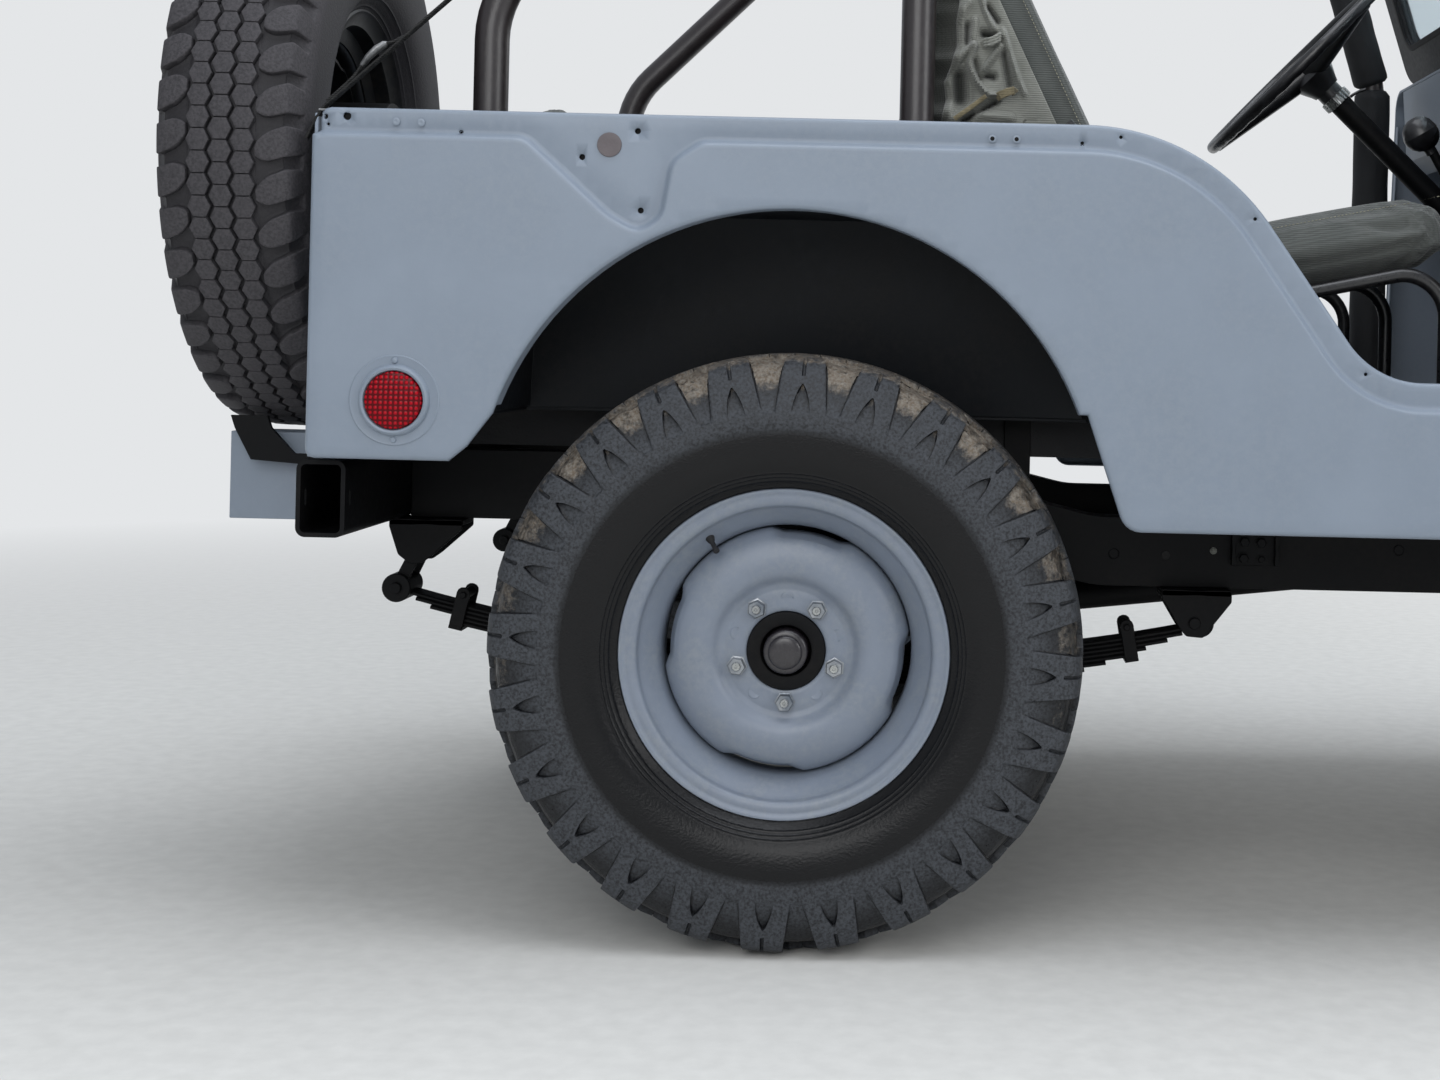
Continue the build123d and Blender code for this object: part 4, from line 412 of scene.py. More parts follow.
# %% Cloth, webbing and foam
def woven(name, colour, shade, thread_mm, relief, rough=0.85, fuzz=0.25, stretch=(1.0, 1.0, 1.0),
          mark=None):
    """Woven cloth: two crossed sets of bands as threads with painted shade between them, faded patches, and
    painted shade where a stored mark says.
    """
    skin, tree, place = start_material(name)
    pulled = add(tree, "Mapping", {"Vector": place, "Scale": stretch}).outputs[0]
    fade = noise(tree, place, 14.0, 6.0, 0.65)
    bands = [add(tree, "TexWave", {"Vector": pulled, "Scale": 500 / thread_mm / math.pi, "Distortion": 1.2,
                                   "Detail": 2.0}, bands_direction=way).outputs["Fac"]
             for way in ("Y", "Z")]
    weave = calc(tree, "ADD", bands[0], bands[1])
    cloth = two_tone(tree, fade, colour, shade)
    # The mix toward #15150F between the threads is painted shade in the weave's gaps; the stored mark's
    # #1E211D is painted shade too.
    threads = blend_colours(tree, spread(tree, weave, 0.2, 1.8, 0.35, 0.0), cloth, linear("#15150F"))
    if mark:
        threads = blend_colours(tree, stored(tree, mark), threads, linear("#1E211D"))
    bump = bumped(tree, weave, relief, 0.0012)
    surface(tree, Base_Color=threads, Roughness=rough, Normal=bump, Sheen_Weight=fuzz, Sheen_Roughness=0.5)
    return skin


CANVAS = woven("cotton_duck_canvas", "#5A5D5A", "#494D4B", 1.6, 0.35)
WEBBING = woven("black_polyester_webbing", "#0D0D0F", "#09090A", 1.4, 0.6, 0.7, 0.0)


def dull_foam(name, colour, shade, cell_mm):
    """Closed-cell foam: matt, with a fine cellular relief."""
    skin, tree, place = start_material(name)
    cells = add(tree, "TexVoronoi", {"Vector": place, "Scale": 1000 / cell_mm}).outputs["Distance"]
    tone = noise(tree, place, 18.0, 5.0)
    colours = two_tone(tree, tone, colour, shade)
    bump = bumped(tree, cells, 0.3)
    surface(tree, Base_Color=colours, Roughness=spread(tree, tone, 0.3, 0.7, 0.7, 0.85), Normal=bump)
    return skin


FOAM = dull_foam("closed_cell_foam", "#1E1F22", "#28292B", 2.5)
PLUG_RUBBER = dull_foam("grey_plug_rubber", "#6F686A", "#625C5E", 4.0)
SOFT_RUBBER = dull_foam("moulded_black_rubber", "#151517", "#212124", 4.0)
print("soft finishes made")

# %% [markdown]
# Glass, lens and hard plastic. A reflector lens is injection-moulded red acrylic over a grid of small
# prisms; its glow in squares is painted, each square light red in its middle and dark red at its edges, as
# painted reflection and painted shade. Windscreen glass is float glass with a faint blue tint. Both show the
# edge darker than the face.

# %% Glass, lens and plastic
def clear(name, tint, rough, weight=0.93):
    """Thin glass: mostly clear, faintly tinted."""
    skin, tree, place = start_material(name)
    smear = noise(tree, place, 6.0, 4.0)
    surface(tree, Base_Color=linear(tint), Roughness=spread(tree, smear, 0.3, 0.8, rough, rough + 0.06),
            IOR=1.5, Transmission_Weight=weight)
    return skin


def prisms(name, bright, deep, cell_mm):
    """A moulded lens: a square grid of small prisms, each painted light in its middle and dark at its edges
    as painted reflection and shade.
    """
    skin, tree, place = start_material(name)
    waves = [add(tree, "TexWave", {"Vector": place, "Scale": 500 / cell_mm / math.pi},
                 bands_direction=way).outputs["Fac"] for way in ("X", "Z")]
    grid = calc(tree, "MULTIPLY", waves[0], waves[1])
    # The colours from the dark edge to the light middle of each square are painted reflection and painted
    # shade of the prisms.
    colours = two_tone(tree, grid, deep, bright, 0.05, 0.6)
    bump = bumped(tree, grid, 0.5, 0.0015)
    surface(tree, Base_Color=colours, Roughness=spread(tree, grid, 0.0, 1.0, 0.22, 0.12), Normal=bump,
            Specular_IOR_Level=0.18)
    return skin


def hard_plastic(name, colour, shade, rough):
    """Hard moulded plastic, rubbed by hands."""
    skin, tree, place = start_material(name)
    rub = noise(tree, place, 40.0, 6.0)
    colours = two_tone(tree, rub, colour, shade)
    surface(tree, Base_Color=colours, Roughness=spread(tree, rub, 0.3, 0.7, rough - 0.06, rough + 0.1),
            Coat_Weight=0.3)
    return skin


WINDSCREEN_GLASS = clear("tinted_float_glass", "#DCEBF2", 0.02)
LAMP_GLASS = clear("fluted_lamp_glass", "#EEF1EE", 0.12, 0.75)
RED_LENS = prisms("red_acrylic_prisms_painted_glint", "#B00018", "#560008", 3.4)
BLACK_PLASTIC = hard_plastic("worn_black_plastic", "#161618", "#232326", 0.36)
DIAL_FACE = hard_plastic("printed_dial_face", "#22231F", "#1A1B18", 0.3)
print("clear and plastic finishes made")

FINISH = {
    "body_paint": BODY_PAINT, "chassis_black": CHASSIS_PAINT, "machined_iron": CAST_IRON,
    "exhaust_steel": EXHAUST_STEEL,
    "wheel_paint": WHEEL_PAINT, "spare_wheel_black": BLACK_WHEEL_PAINT, "tyre": SPARE_RUBBER,
    "cage_paint": CAGE_PAINT,
    "foam_sleeve": FOAM, "canvas": CANVAS, "tube_black": TUBE_PAINT, "wheel_rim_plastic": BLACK_PLASTIC,
    "clear_glass": WINDSCREEN_GLASS, "lamp_glass": LAMP_GLASS, "red_lens": RED_LENS, "webbing": WEBBING,
}

# %% [markdown]
# Most CAD parts already have the right shape, but folded and pressed steel never has a knife edge: paint
# and press radii round it, and that round line is what catches the light. A copy of the node's mesh is
# merged, its flat triangles are joined, and a narrow bevel goes along its sharp edges. Shrinking the CAD
# part instead would change its size.

# %% Eased copies of CAD parts
EASED_MM = {
    "wheel_boxes": 1.5, "floor_pan": 1.5, "rear_panel": 1.5, "cowl": 1.8, "dashboard": 1.5, "hood": 1.8,
    "front_fenders": 1.8,
    "grille_panel": 1.5, "bumperettes": 1.5, "chassis_frame": 2.0, "rear_crossbar": 2.5,
    "front_bumper": 2.5,
    "spare_carrier": 1.2, "windscreen_frame": 1.5, "engine": 3.0, "radiator": 1.5, "front_axle": 1.0,
    "rear_axle": 1.0, "gearbox": 1.5, "exhaust": 0.8, "pedals_and_levers": 0.8, "steering_column": 0.6,
    "seat_frames": 0.5,
    "rear_bench_frame": 0.5, "roll_cage": 0.6, "knuckle_left": 0.8, "knuckle_right": 0.8, "tie_rod": 0.6,
    "shock_absorbers": 0.8, "propshafts": 0.8,
}


def eased(node, width_mm, skin):
    """A copy of a CAD part whose sharp edges are rounded by a narrow bevel."""
    mesh = frame["nodes"][node].data.copy()
    mesh.materials.clear()
    work = bmesh.new()
    work.from_mesh(mesh)
    bmesh.ops.remove_doubles(work, verts=work.verts, dist=2e-6)
    bmesh.ops.dissolve_limit(work, angle_limit=math.radians(0.4), verts=work.verts, edges=work.edges)
    work.to_mesh(mesh)
    work.free()
    piece = finish_mesh(node + "_eased", mesh, node, skin, sharp=32)
    bevel = piece.modifiers.new("eased", "BEVEL")
    bevel.width = width_mm / 1000
    bevel.segments = 2
    bevel.limit_method = "ANGLE"
    bevel.angle_limit = math.radians(32)
    bevel.harden_normals = True
    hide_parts(node)
    return piece


LINED = {"wheel_boxes": INSIDE_PAINT, "floor_pan": INSIDE_PAINT, "windscreen_frame": INSIDE_PAINT}
pieces = {node: eased(node, width, LINED.get(node, FINISH[SLOT_OF[node]])) for node,
          width in EASED_MM.items()}
print("eased", len(pieces), "parts")

# %% Finishes of the parts that stay as they are
for node, carried in frame["nodes"].items():
    skin = LINED.get(node, FINISH[SLOT_OF[node]])
    carried.data.materials.clear()
    carried.data.materials.append(skin)
print("finished", len(frame["nodes"]), "nodes")

# %% [markdown]
# A cross-ply tyre is moulded in one piece: a smooth carcass with blocks standing on it. The mould is cut
# from a section and a flat pattern wrapped round it, so this does the same. Each row of points lies at a
# distance along the section, each column at an angle, and a depth table sinks the grooves. Rows and columns
# follow the edges of the blocks, so the edges stay crisp with few points; a displaced fine grid would need
# twenty times as many.

# %% A smooth half section and its wrapped pattern
def section(knots, per_span=10):
    """Half section through (across, out) places: the distance along it, its places and what is outward."""
    line = smooth_line(knots, per_span)
    run = np.concatenate([[0], np.cumsum(np.linalg.norm(np.diff(line, axis=0), axis=1))])
    tangent = unit(np.gradient(line, axis=0))
    return run, line, np.column_stack([-tangent[:, 1], tangent[:, 0]])


def runs_at(half, heights):
    """Distances along a half section at which its side is at some heights."""
    run, line, _ = half
    side = slice(np.argmax(line[:, 0] > 60), np.argmax(line[:, 1] < 215))
    return np.interp(-np.asarray(heights, float), -line[side, 1], run[side])


def each_column(values, count):
    """One value a row, repeated over the row's columns."""
    return np.repeat(values[:, None], count, axis=1)


def each_pitch(values, pitches):
    """The values of one pitch, repeated all round."""
    return np.repeat(values[:, None], pitches, axis=1).reshape(len(values), -1)


def wheel_place(centre, outward, across, out, angle):
    """Centre plus millimetres: across along the axle, out times sine ahead and out times cosine up."""
    outward = np.asarray(outward, float)
    ahead = np.array([1.0, 0, 0]) if abs(outward[1]) > 0.5 else np.array([0, 1.0, 0])
    forward = (out * np.sin(angle))[..., None] * ahead
    up = (out * np.cos(angle))[..., None] * np.array([0, 0, 1.0])
    return np.asarray(centre) + (across[..., None] * outward + forward + up) / 1000


def wrapped(half, rows, offsets, depths, pitches, hand, centre, outward, phase):
    """Wraps one pitch of a pattern all round: an angle is offset over radius, plus the pitch's own."""
    run, line, normal = half
    across, out = np.interp(rows, run, line[:, 0]), np.interp(rows, run, line[:, 1])
    sunk_across = across - depths * np.interp(rows, run, normal[:, 0])
    sunk_out = out - depths * np.interp(rows, run, normal[:, 1])
    turn = phase + np.arange(pitches) * 2 * np.pi / pitches
    angle = (turn[None, :, None] + (offsets / out)[:, None, :]).reshape(len(rows), -1)
    across, out = hand * each_pitch(sunk_across, pitches), each_pitch(sunk_out, pitches)
    return wheel_place(centre, outward, across, out, angle), angle


def hex_columns(count, pitch):
    """Offsets, zigzag from -1 to 1, and number in the hexagon of columns, eight to each hexagon."""
    number = np.arange(-count // 2 + 1, count // 2 + 1)
    slit = 1.0 / (pitch * 8 / count)
    part = np.array([0, slit, 0.25, 0.5 - slit, 0.5, 0.5 + slit, 0.75, 1 - slit])[number % 8]
    return (number // 8 + part) * pitch * 8 / count, 1 - 4 * np.abs(part - 0.5), number % 8


print("columns of two hexagons:", hex_columns(16, 58.0)[0].round(1))

# %% Pattern tables
# Each row: distance along the section, share of the zigzag, depth, and the block row that it belongs to.
CENTRE_ROWS = [
    (0, 0, 0, 1), (5, 0.3, 0, 1), (10.6, 1, 0, 1), (11.6, 1, 0.5, 1), (12.6, 1, 9, 0), (16.8, 1, 9, 0),
    (17.8, 1, 0.5, 2), (18.8, 1, 0, 2),
    (24, 0.4, 0, 2), (29.5, 0, 0, 2), (35, -0.4, 0, 2), (40.2, -1, 0, 2), (41.2, -1, 0.5, 2),
    (42.2, -1, 9, 0),
]
ZIGZAG = 3.6


def centre_zone(count, pitch, deepen):
    """Rows, offsets and depths of three rows of hexagons parted by zigzag grooves and narrow slits."""
    offsets, zigzag, kind = hex_columns(count, pitch)
    table = np.array(CENTRE_ROWS, float)
    rows = table[:, :1] + ZIGZAG * table[:, 1:2] * zigzag[None]
    depths = np.repeat(table[:, 2:3] * deepen, len(offsets), axis=1)
    slit = ((table[:, 3:] == 1) & (kind == 0)) | ((table[:, 3:] == 2) & (kind == 4))
    depths = np.where(slit, np.maximum(depths, 3.5), depths)
    return rows, np.repeat(offsets[None], len(rows), axis=0), depths


def both_ways(half_offsets, half_depths):
    """Columns from a block's middle to the middle of the gap, repeated the other way."""
    offsets = np.hstack([-half_offsets[:, -2:0:-1], half_offsets])
    return offsets, np.hstack([half_depths[:, -2:0:-1], half_depths])


print("centre rows", len(CENTRE_ROWS))

# %% [markdown]
# The road tyre has 24 lugs on each shoulder. Seen from the side a lug is a letter A: it widens downwards, a
# pointed pocket is cut in its foot and a short slot in its top. Between lugs the floor ramps down to a
# smooth raised band. Mud dries in those gaps, most of all where the wheel stood in its last turn.

# %% Road tyre
ROAD_SECTION = section([
    (0, 406), (30, 405.4), (56, 403.6), (76, 399), (85, 394), (90, 387.5), (94.5, 374), (98.6, 354),
    (101.8, 338),
    (103.6, 326), (104.6, 318), (104.9, 307), (104.0, 302.5), (104.0, 290), (102, 273), (96.5, 255),
    (87.5, 241),
    (80.5, 233.5), (75.6, 228), (71.4, 221.5), (66, 213), (64, 204), (40, 204), (0, 204),
])
ROAD_PITCHES = 24


def road_shoulder(half, pitch_angle):
    """Rows, offsets and depths of the A-shaped lugs, from the outer zigzag groove down to the raised band."""
    run, line, _ = half
    heights = [391, 387, 382, 377.5, 376, 372, 366, 365, 362, 357, 350, 342, 335, 330, 327.6]
    rows = np.concatenate([[46, 48.5, 49.5, 53, 58, 64, 70, 76, 82, 88], runs_at(half, heights)])
    out = np.interp(rows, run, line[:, 1])
    width = np.interp(rows, [46, 50, 58, 66, 90, rows[-1]], [10, 12, 21, 27, 28, 34])
    rise = np.clip((out - 328) / 37.5, 0, 1)
    pocket = np.where(out < 365.5, np.maximum(11.5 * (1 - rise**1.7) ** 0.75, 0.9),
                      np.where((out > 376.5) | (rows < 90), 2.1, 0.9))
    pocket = np.where(rows < 72, 0.9, pocket)
    sunk = np.where(out < 365.3, np.interp(out, [328, 333, 365], [1.0, 2.5, 8.5]),
                    np.where((out > 376.5) & (rows > 74), 6.0, 0.0))
    floor = np.interp(rows, [46, 50, 88, rows[-1]], [9.5, 12.5, 13.5, 1.4])
    gap = pitch_angle * out / 2
    edge = np.minimum(1.2 + 0 * out, floor)
    beyond, flat = gap - width, 0 * out
    offsets = np.stack([flat, pocket * 0.55, pocket, pocket + 0.7, (width + pocket) / 2, width - 3.4,
                        width - 1.2, width, width + edge, width + 3.2, width + beyond * 0.45,
                        width + beyond * 0.75, gap], axis=1)
    block = np.where(rows < 48, 1.0, 0.0) * floor
    depths = np.stack([sunk, sunk, sunk * 0.7, flat, flat, flat, flat + 0.1, flat + 0.7, floor * 0.93,
                       floor, floor, floor, floor], axis=1)
    depths[:, :8] = np.maximum(depths[:, :8], block[:, None])
    return rows, offsets, depths


def sidewall_rows(half, heights, ridges):
    """Rows of the plain side by their heights, with thin raised rings at some of them."""
    levels = np.sort(np.concatenate([heights, [r + d for r in ridges for d in (-1.1, 0, 1.1)]]))[::-1]
    depth = np.where(np.isin(levels, ridges), -0.9, 0.0)
    under_rim = half[0][-1] - np.array([64.0, 52.0, 40.0, 0.0])
    return np.concatenate([runs_at(half, levels), under_rim]), np.concatenate([depth, 0 * under_rim])


def road_half(hand, centre, outward):
    """One half of the road tyre with its worn and mud marks."""
    pitch_angle = 2 * np.pi / ROAD_PITCHES
    rows, offsets, depths = centre_zone(24, pitch_angle * 405, 1.1)
    lug_rows, lug_half, lug_depths = road_shoulder(ROAD_SECTION, pitch_angle)
    lug_offsets, lug_depths = both_ways(lug_half, lug_depths)
    heights = [326.4, 325.2, 316, 306.5, 303.4, 302.2, 296, 286, 276, 266, 257, 249, 239, 233, 226, 220]
    plain, plain_depth = sidewall_rows(ROAD_SECTION, heights, [246.0, 241.0, 236.0])
    out = np.interp(plain, ROAD_SECTION[0], ROAD_SECTION[1][:, 1])
    even = np.linspace(-0.5, 0.5, 25)[1:]
    all_rows = np.vstack([rows, each_column(lug_rows, 24), each_column(plain, 24)])
    blend_in = np.clip(np.arange(len(plain)) / 6, 0, 1)[:, None]
    lug_share, even_share = lug_offsets[-1] / 327.6, even * pitch_angle
    plain_offsets = lug_share * out[:, None] * (1 - blend_in) + even_share * out[:, None] * blend_in
    all_offsets = np.vstack([offsets, lug_offsets, plain_offsets])
    all_depths = np.vstack([depths, lug_depths, each_column(plain_depth, 24)])
    phase = math.radians(2.9) + (0 if hand > 0 else pitch_angle / 2)
    points, angle = wrapped(ROAD_SECTION, all_rows, all_offsets, all_depths, ROAD_PITCHES, hand, centre,
                            outward, phase)
    deep, level = each_pitch(all_depths, ROAD_PITCHES), each_pitch(all_rows, ROAD_PITCHES)
    worn, mud, groove, top = road_marks(deep, level, angle)
    chance = np.random.default_rng(11 if hand > 0 else 12)
    fill = groove * top**2 * chance.uniform(0.0, 6.5, deep.shape)
    centre_line = np.asarray(centre) + ((points - centre) @ outward)[..., None] * outward
    return points + unit(points - centre_line) * fill[..., None] / 1000, worn, mud


def road_marks(deep, level, angle):
    """Where the rubber is scuffed grey and muddy, with the groove's share and how near the top it lies; both
    marks also carry painted sheen and painted shade.
    """
    top = 0.5 + 0.5 * np.cos(angle)
    groove = np.clip((deep - 3.5) / 6, 0, 1)
    crown = np.clip((96 - level) / 12, 0, 1)
    mud = groove * (0.15 + 0.85 * top) + (1 - groove) * crown * 0.75 * top
    # The worn mark's grey band on the side, between 308 and 298 mm high, is a painted sheen on the raised
    # shoulder.
    band = np.interp(level, runs_at(ROAD_SECTION, [308, 298]), [1.0, 0.0])
    worn = np.where(level < runs_at(ROAD_SECTION, 326), np.clip(1 - groove * 0.75, 0, 1) * 0.9, 0.8 * band)
    # Beside each groove wall the worn and mud marks are cleared, so black rubber shows there as painted
    # shade.
    floor = deep.max(axis=1, keepdims=True)
    sunk = deep / np.maximum(floor, 0.1)
    beside_wall = (sunk > 0.6) & (np.minimum(np.roll(sunk, 1, axis=1), np.roll(sunk, -1, axis=1)) < 0.6)
    shadow = beside_wall * np.clip((floor - 1.5) / 2.5, 0, 1)
    return worn * (1 - shadow), mud * (1 - 0.9 * shadow), groove, top


def whole_tyre(name, node, skin, half, centre, outward):
    """Both halves of a tyre, joined at the crown and under the rim."""
    outward = np.asarray(outward, float)
    points, *kinds = zip(*[half(hand, np.asarray(centre), outward) for hand in (1, -1)])
    shape = together([sheet_of(p, round_columns=True) for p in points])
    marks = {label: np.concatenate([m.ravel() for m in kind]) for label,
             kind in zip(("worn", "mud"), kinds)}
    piece = new_piece(name, shape, node, skin, merge=3e-5, sharp=42, marks=marks)
    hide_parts(node)
    return piece


AXLES = {"rear": 0, "front": WHEELBASE}
WHEELS = {end + "_" + name: (station, side) for end, station in AXLES.items() for name,
          side in SIDES.items()}
for place, (station, side) in WHEELS.items():
    tyre = whole_tyre("road_tyre_" + place, "tyre_" + place, TYRE_RUBBER, road_half,
                      spot(station, side * WHEEL_OUT, AXLE_UP), (0, side, 0))
    print(tyre.name, len(tyre.data.polygons), "faces")

# %% [markdown]
# The spare is an older tyre of another pattern, with 43 leaf-shaped shoulder lugs on each side and no
# slots. Its lugs lean, so the wrap adds a shift to the columns that grows towards the lug's inner end.

# %% Spare tyre
SPARE_SECTION = section([
    (0, 406), (30, 405.2), (56, 403.2), (76, 399), (85, 395), (88.5, 390), (92.5, 377), (97.5, 361),
    (101, 348),
    (103.3, 333), (103.8, 318), (103.6, 296), (101, 273), (94.5, 253), (86, 240), (80, 233), (75.4, 228),
    (71.2, 221.5), (66, 213),
    (64, 204), (40, 204), (0, 204),
])
SPARE_PITCHES = 43


def spare_half(hand, centre, outward):
    """One half of the spare tyre: hexagons, leaning leaf-shaped lugs, then the plain side."""
    pitch_angle = 2 * np.pi / SPARE_PITCHES
    rows, offsets, depths = centre_zone(16, pitch_angle * 405, 1.0)
    run, line, _ = SPARE_SECTION
    heights = [394, 390, 384, 377, 370, 365, 362, 360.5]
    lug_rows = np.concatenate([[45, 46.3, 48.5, 52, 57, 63, 70, 78, 84], runs_at(SPARE_SECTION, heights)])
    out = np.interp(lug_rows, run, line[:, 1])
    width = np.interp(lug_rows, [45, 46.3, 48.5, 52, 57, 63, 72, 90, lug_rows[-1]],
                      [5, 7, 10, 13, 16.5, 19, 20, 20, 16.5])
    floor = np.interp(lug_rows, [45, 48, 84, lug_rows[-3], lug_rows[-1]], [9, 11, 12.5, 4.0, 0.6])
    gap = pitch_angle * out / 2
    half_offsets = np.stack([0 * out, width * 0.5, width - 2.6, width - 0.9, width,
                             width + np.minimum(1.4, floor), width + (gap - width) * 0.4,
                             width + (gap - width) * 0.7, gap], axis=1)
    dome = np.interp(lug_rows, [46, 52, 80, 86], [1.2, 0.0, 0.0, 0.4])
    half_depths = np.stack([dome, dome, dome, dome + 0.15, dome + 0.8, floor * 0.9, floor, floor, floor],
                           axis=1)
    half_depths[0] = floor[0]
    lug_offsets, lug_depths = both_ways(half_offsets, half_depths)
    lug_offsets = lug_offsets + hand * np.interp(lug_rows, [40, 86], [15.0, 0.0])[:, None]
    heights = [358, 350, 338, 325, 310, 296, 282, 268, 256, 247, 239, 233, 226, 220]
    plain, plain_depth = sidewall_rows(SPARE_SECTION, heights, [244.0, 229.5])
    plain_out = np.interp(plain, run, line[:, 1])[:, None]
    plain_offsets = np.linspace(-0.5, 0.5, 17)[1:] * pitch_angle * plain_out
    all_rows = np.vstack([rows, each_column(lug_rows, 16), each_column(plain, 16)])
    all_depths = np.vstack([depths, lug_depths, each_column(plain_depth, 16)])
    points, _ = wrapped(SPARE_SECTION, all_rows, np.vstack([offsets, lug_offsets, plain_offsets]),
                        all_depths, SPARE_PITCHES, hand, centre, outward, 0.0)
    deep, level = each_pitch(all_depths, SPARE_PITCHES), each_pitch(all_rows, SPARE_PITCHES)
    groove = np.clip((deep - 3) / 6, 0, 1)
    worn = np.where(level < 140, 0.95 * (1 - groove * 0.8), 0.25)
    return points, worn, groove * 0.2


spare_tyre = whole_tyre("spare_tyre_treaded", "spare_tyre", SPARE_RUBBER, spare_half, spot(*SPARE_AT),
                        (-1, 0, 0))
print(spare_tyre.name, len(spare_tyre.data.polygons), "faces")

# %% [markdown]
# The side panel is one sheet, pressed in a die. The die leaves a field standing 9 mm proud behind a soft
# step, and the edges roll inwards. A flat CAD plate has neither roll nor soft step. Here the outline is
# filled with triangles whose points lie on a plain grid and in rows beside each line, and then every
# point's height across the car is worked out from its distance to the step and to the edge. A real hole is
# left for each hole in the panel.

# %% Outlines with rounded corners
def rounded(corners, closed=True, spacing=9.0):
    """A line through (x, z, radius) corners, each replaced by an arc that touches both its sides."""
    table = np.array(corners, float)
    places, radii = table[:, :2], table[:, 2]
    line = []
    for i, (here, radius) in enumerate(zip(places, radii)):
        if radius < 0.5 or (not closed and i in (0, len(places) - 1)):
            line.append(here[None])
            continue
        back, ahead = unit(places[i - 1] - here), unit(places[(i + 1) % len(places)] - here)
        half = np.arccos(np.clip(back @ ahead, -1, 1)) / 2
        centre = here + unit(back + ahead) * radius / np.sin(half)
        first = here + back * radius / np.tan(half) - centre
        last = here + ahead * radius / np.tan(half) - centre
        turn = np.arctan2(first[0] * last[1] - first[1] * last[0], first @ last)
        part = np.linspace(0, turn, max(4, int(abs(turn) * radius / spacing) + 2))[:, None]
        line.append(centre + np.cos(part) * first + np.sin(part) * np.array([-first[1], first[0]]))
    return spaced(np.vstack(line), spacing, closed)


def spaced(line, spacing, closed=True):
    """The same line with points added so that no two neighbours lie further apart than the spacing."""
    ends = np.vstack([line[1:], line[:1]]) if closed else line[1:]
    starts = line if closed else line[:-1]
    counts = np.maximum(1, np.ceil(np.linalg.norm(ends - starts, axis=1) / spacing)).astype(int)
    filled = [a + (b - a) * np.arange(n)[:, None] / n for a, b, n in zip(starts, ends, counts)]
    return np.vstack(filled if closed else filled + [line[-1:]])


def signed_distance(points, line):
    """Distance from a closed line, above zero inside, where a ray crosses it an odd number of times."""
    a, b = line, np.roll(line, -1, axis=0)
    along, rel = (b - a)[None], points[:, None] - a[None]
    share = np.clip((rel * along).sum(-1) / np.maximum((along**2).sum(-1), 1e-9), 0, 1)
    distance = np.linalg.norm(rel - share[..., None] * along, axis=-1).min(axis=1)
    crossing = (a[None, :, 1] > points[:, None, 1]) != (b[None, :, 1] > points[:, None, 1])
    rise = np.where(along[..., 1] == 0, 1e-9, along[..., 1])
    reach_x = a[None, :, 0] + (points[:, None, 1] - a[None, :, 1]) * along[..., 0] / rise
    inside = (crossing & (points[:, None, 0] < reach_x)).sum(axis=1) % 2 == 1
    return np.where(inside, distance, -distance)


ARCH_AT, ARCH_RADIUS = np.array([2, 568]), 412
turn = np.radians(np.linspace(21.2, 161.0, 90))
ARCH = ARCH_AT + ARCH_RADIUS * np.column_stack([np.cos(turn), np.sin(turn)])
REAR_AND_TOP = [
    (-436, 637, 50), (-635, 637, 12), (-635, 1066, 4), (-627, 1070, 4), (-627, 1102, 14),
    (545.2, 1102, 302), (777.7, 770, 120),
    (1116, 770, 130), (1130, 1305, 6), (1160, 1305, 0), (1160, 1079.7, 0), (1700, 1079.7, 0),
    (1690, 1048.7, 0), (1677.5, 1044.5, 0),
    (1619.8, 1025.3, 160), (1489.7, 800.1, 120), (1469.7, 639.7, 0), (1560, 639.7, 0), (1560, 564, 0),
    (450, 564, 30), (397, 717, 0),
]
TUB_EDGE = spaced(np.vstack([rounded(REAR_AND_TOP, closed=False), ARCH, [(-421.0, 657.2)]])[1:], 9.0)
STEP_LINE = rounded([
    (-700, 1067, 0), (-355, 1067, 30), (-243, 967, 60), (-203, 945, 26), (-172, 966, 26), (-160, 1040, 32),
    (-120, 1066, 26),
    (526.5, 1066, 266), (759, 733, 156), (1640, 733, 0), (1640, 300, 0), (-700, 300, 0),
])
HOLES = [(-206, 1079, 4.2), (-279, 1043, 4.2), (-200, 974, 4.2), (-591, 1090, 5.5), (382, 1077, 2.4),
         (433, 1086, 2.4), (613, 982, 2.4), (764, 780, 2.4), (-620, 1089, 4.0), (-616, 1079, 2.0),
         (-440, 1072, 1.8)]
DOTS = [(-526, 1084), (-493, 1083.5), (263, 1080), (295, 1080)]
DOT_OUT = 742.4
print("tub edge", len(TUB_EDGE), "points, step line", len(STEP_LINE))


# %% Side panels
def beside(line, offsets):
    """Copies of a closed line pushed sideways by some distances, as one list of points."""
    ahead = unit(np.roll(line, -1, axis=0) - np.roll(line, 1, axis=0))
    across = np.column_stack([-ahead[:, 1], ahead[:, 0]])
    return np.vstack([line + across * d for d in offsets])


def panel_height(places):
    """Distance out: 743 mm, plus 9 mm by a smooth step, less the edge's roll r - sqrt(r^2 - (r - e)^2)."""
    step, edge = signed_distance(places, STEP_LINE), signed_distance(places, TUB_EDGE)
    share = np.clip((step + 4.5) / 8.5, 0, 1)
    proud = 743 + 9 * share**2 * (3 - 2 * share)
    dished = (1 - share) * 3.0 * (1 - np.clip(-step - 5, 0, 30) / 30)
    groove = 0.9 * np.exp(-((step + 8.5) / 4.0) ** 2) + dished
    roll = 7.0
    inward = roll - np.clip(edge, 0, roll)
    calm = 0.5 * np.sin(places[:, 0] / 190) * np.sin(places[:, 1] / 150)
    return proud - groove - (roll - np.sqrt(roll**2 - inward**2)) + calm * np.clip(edge / 60, 0, 1) - 0.5


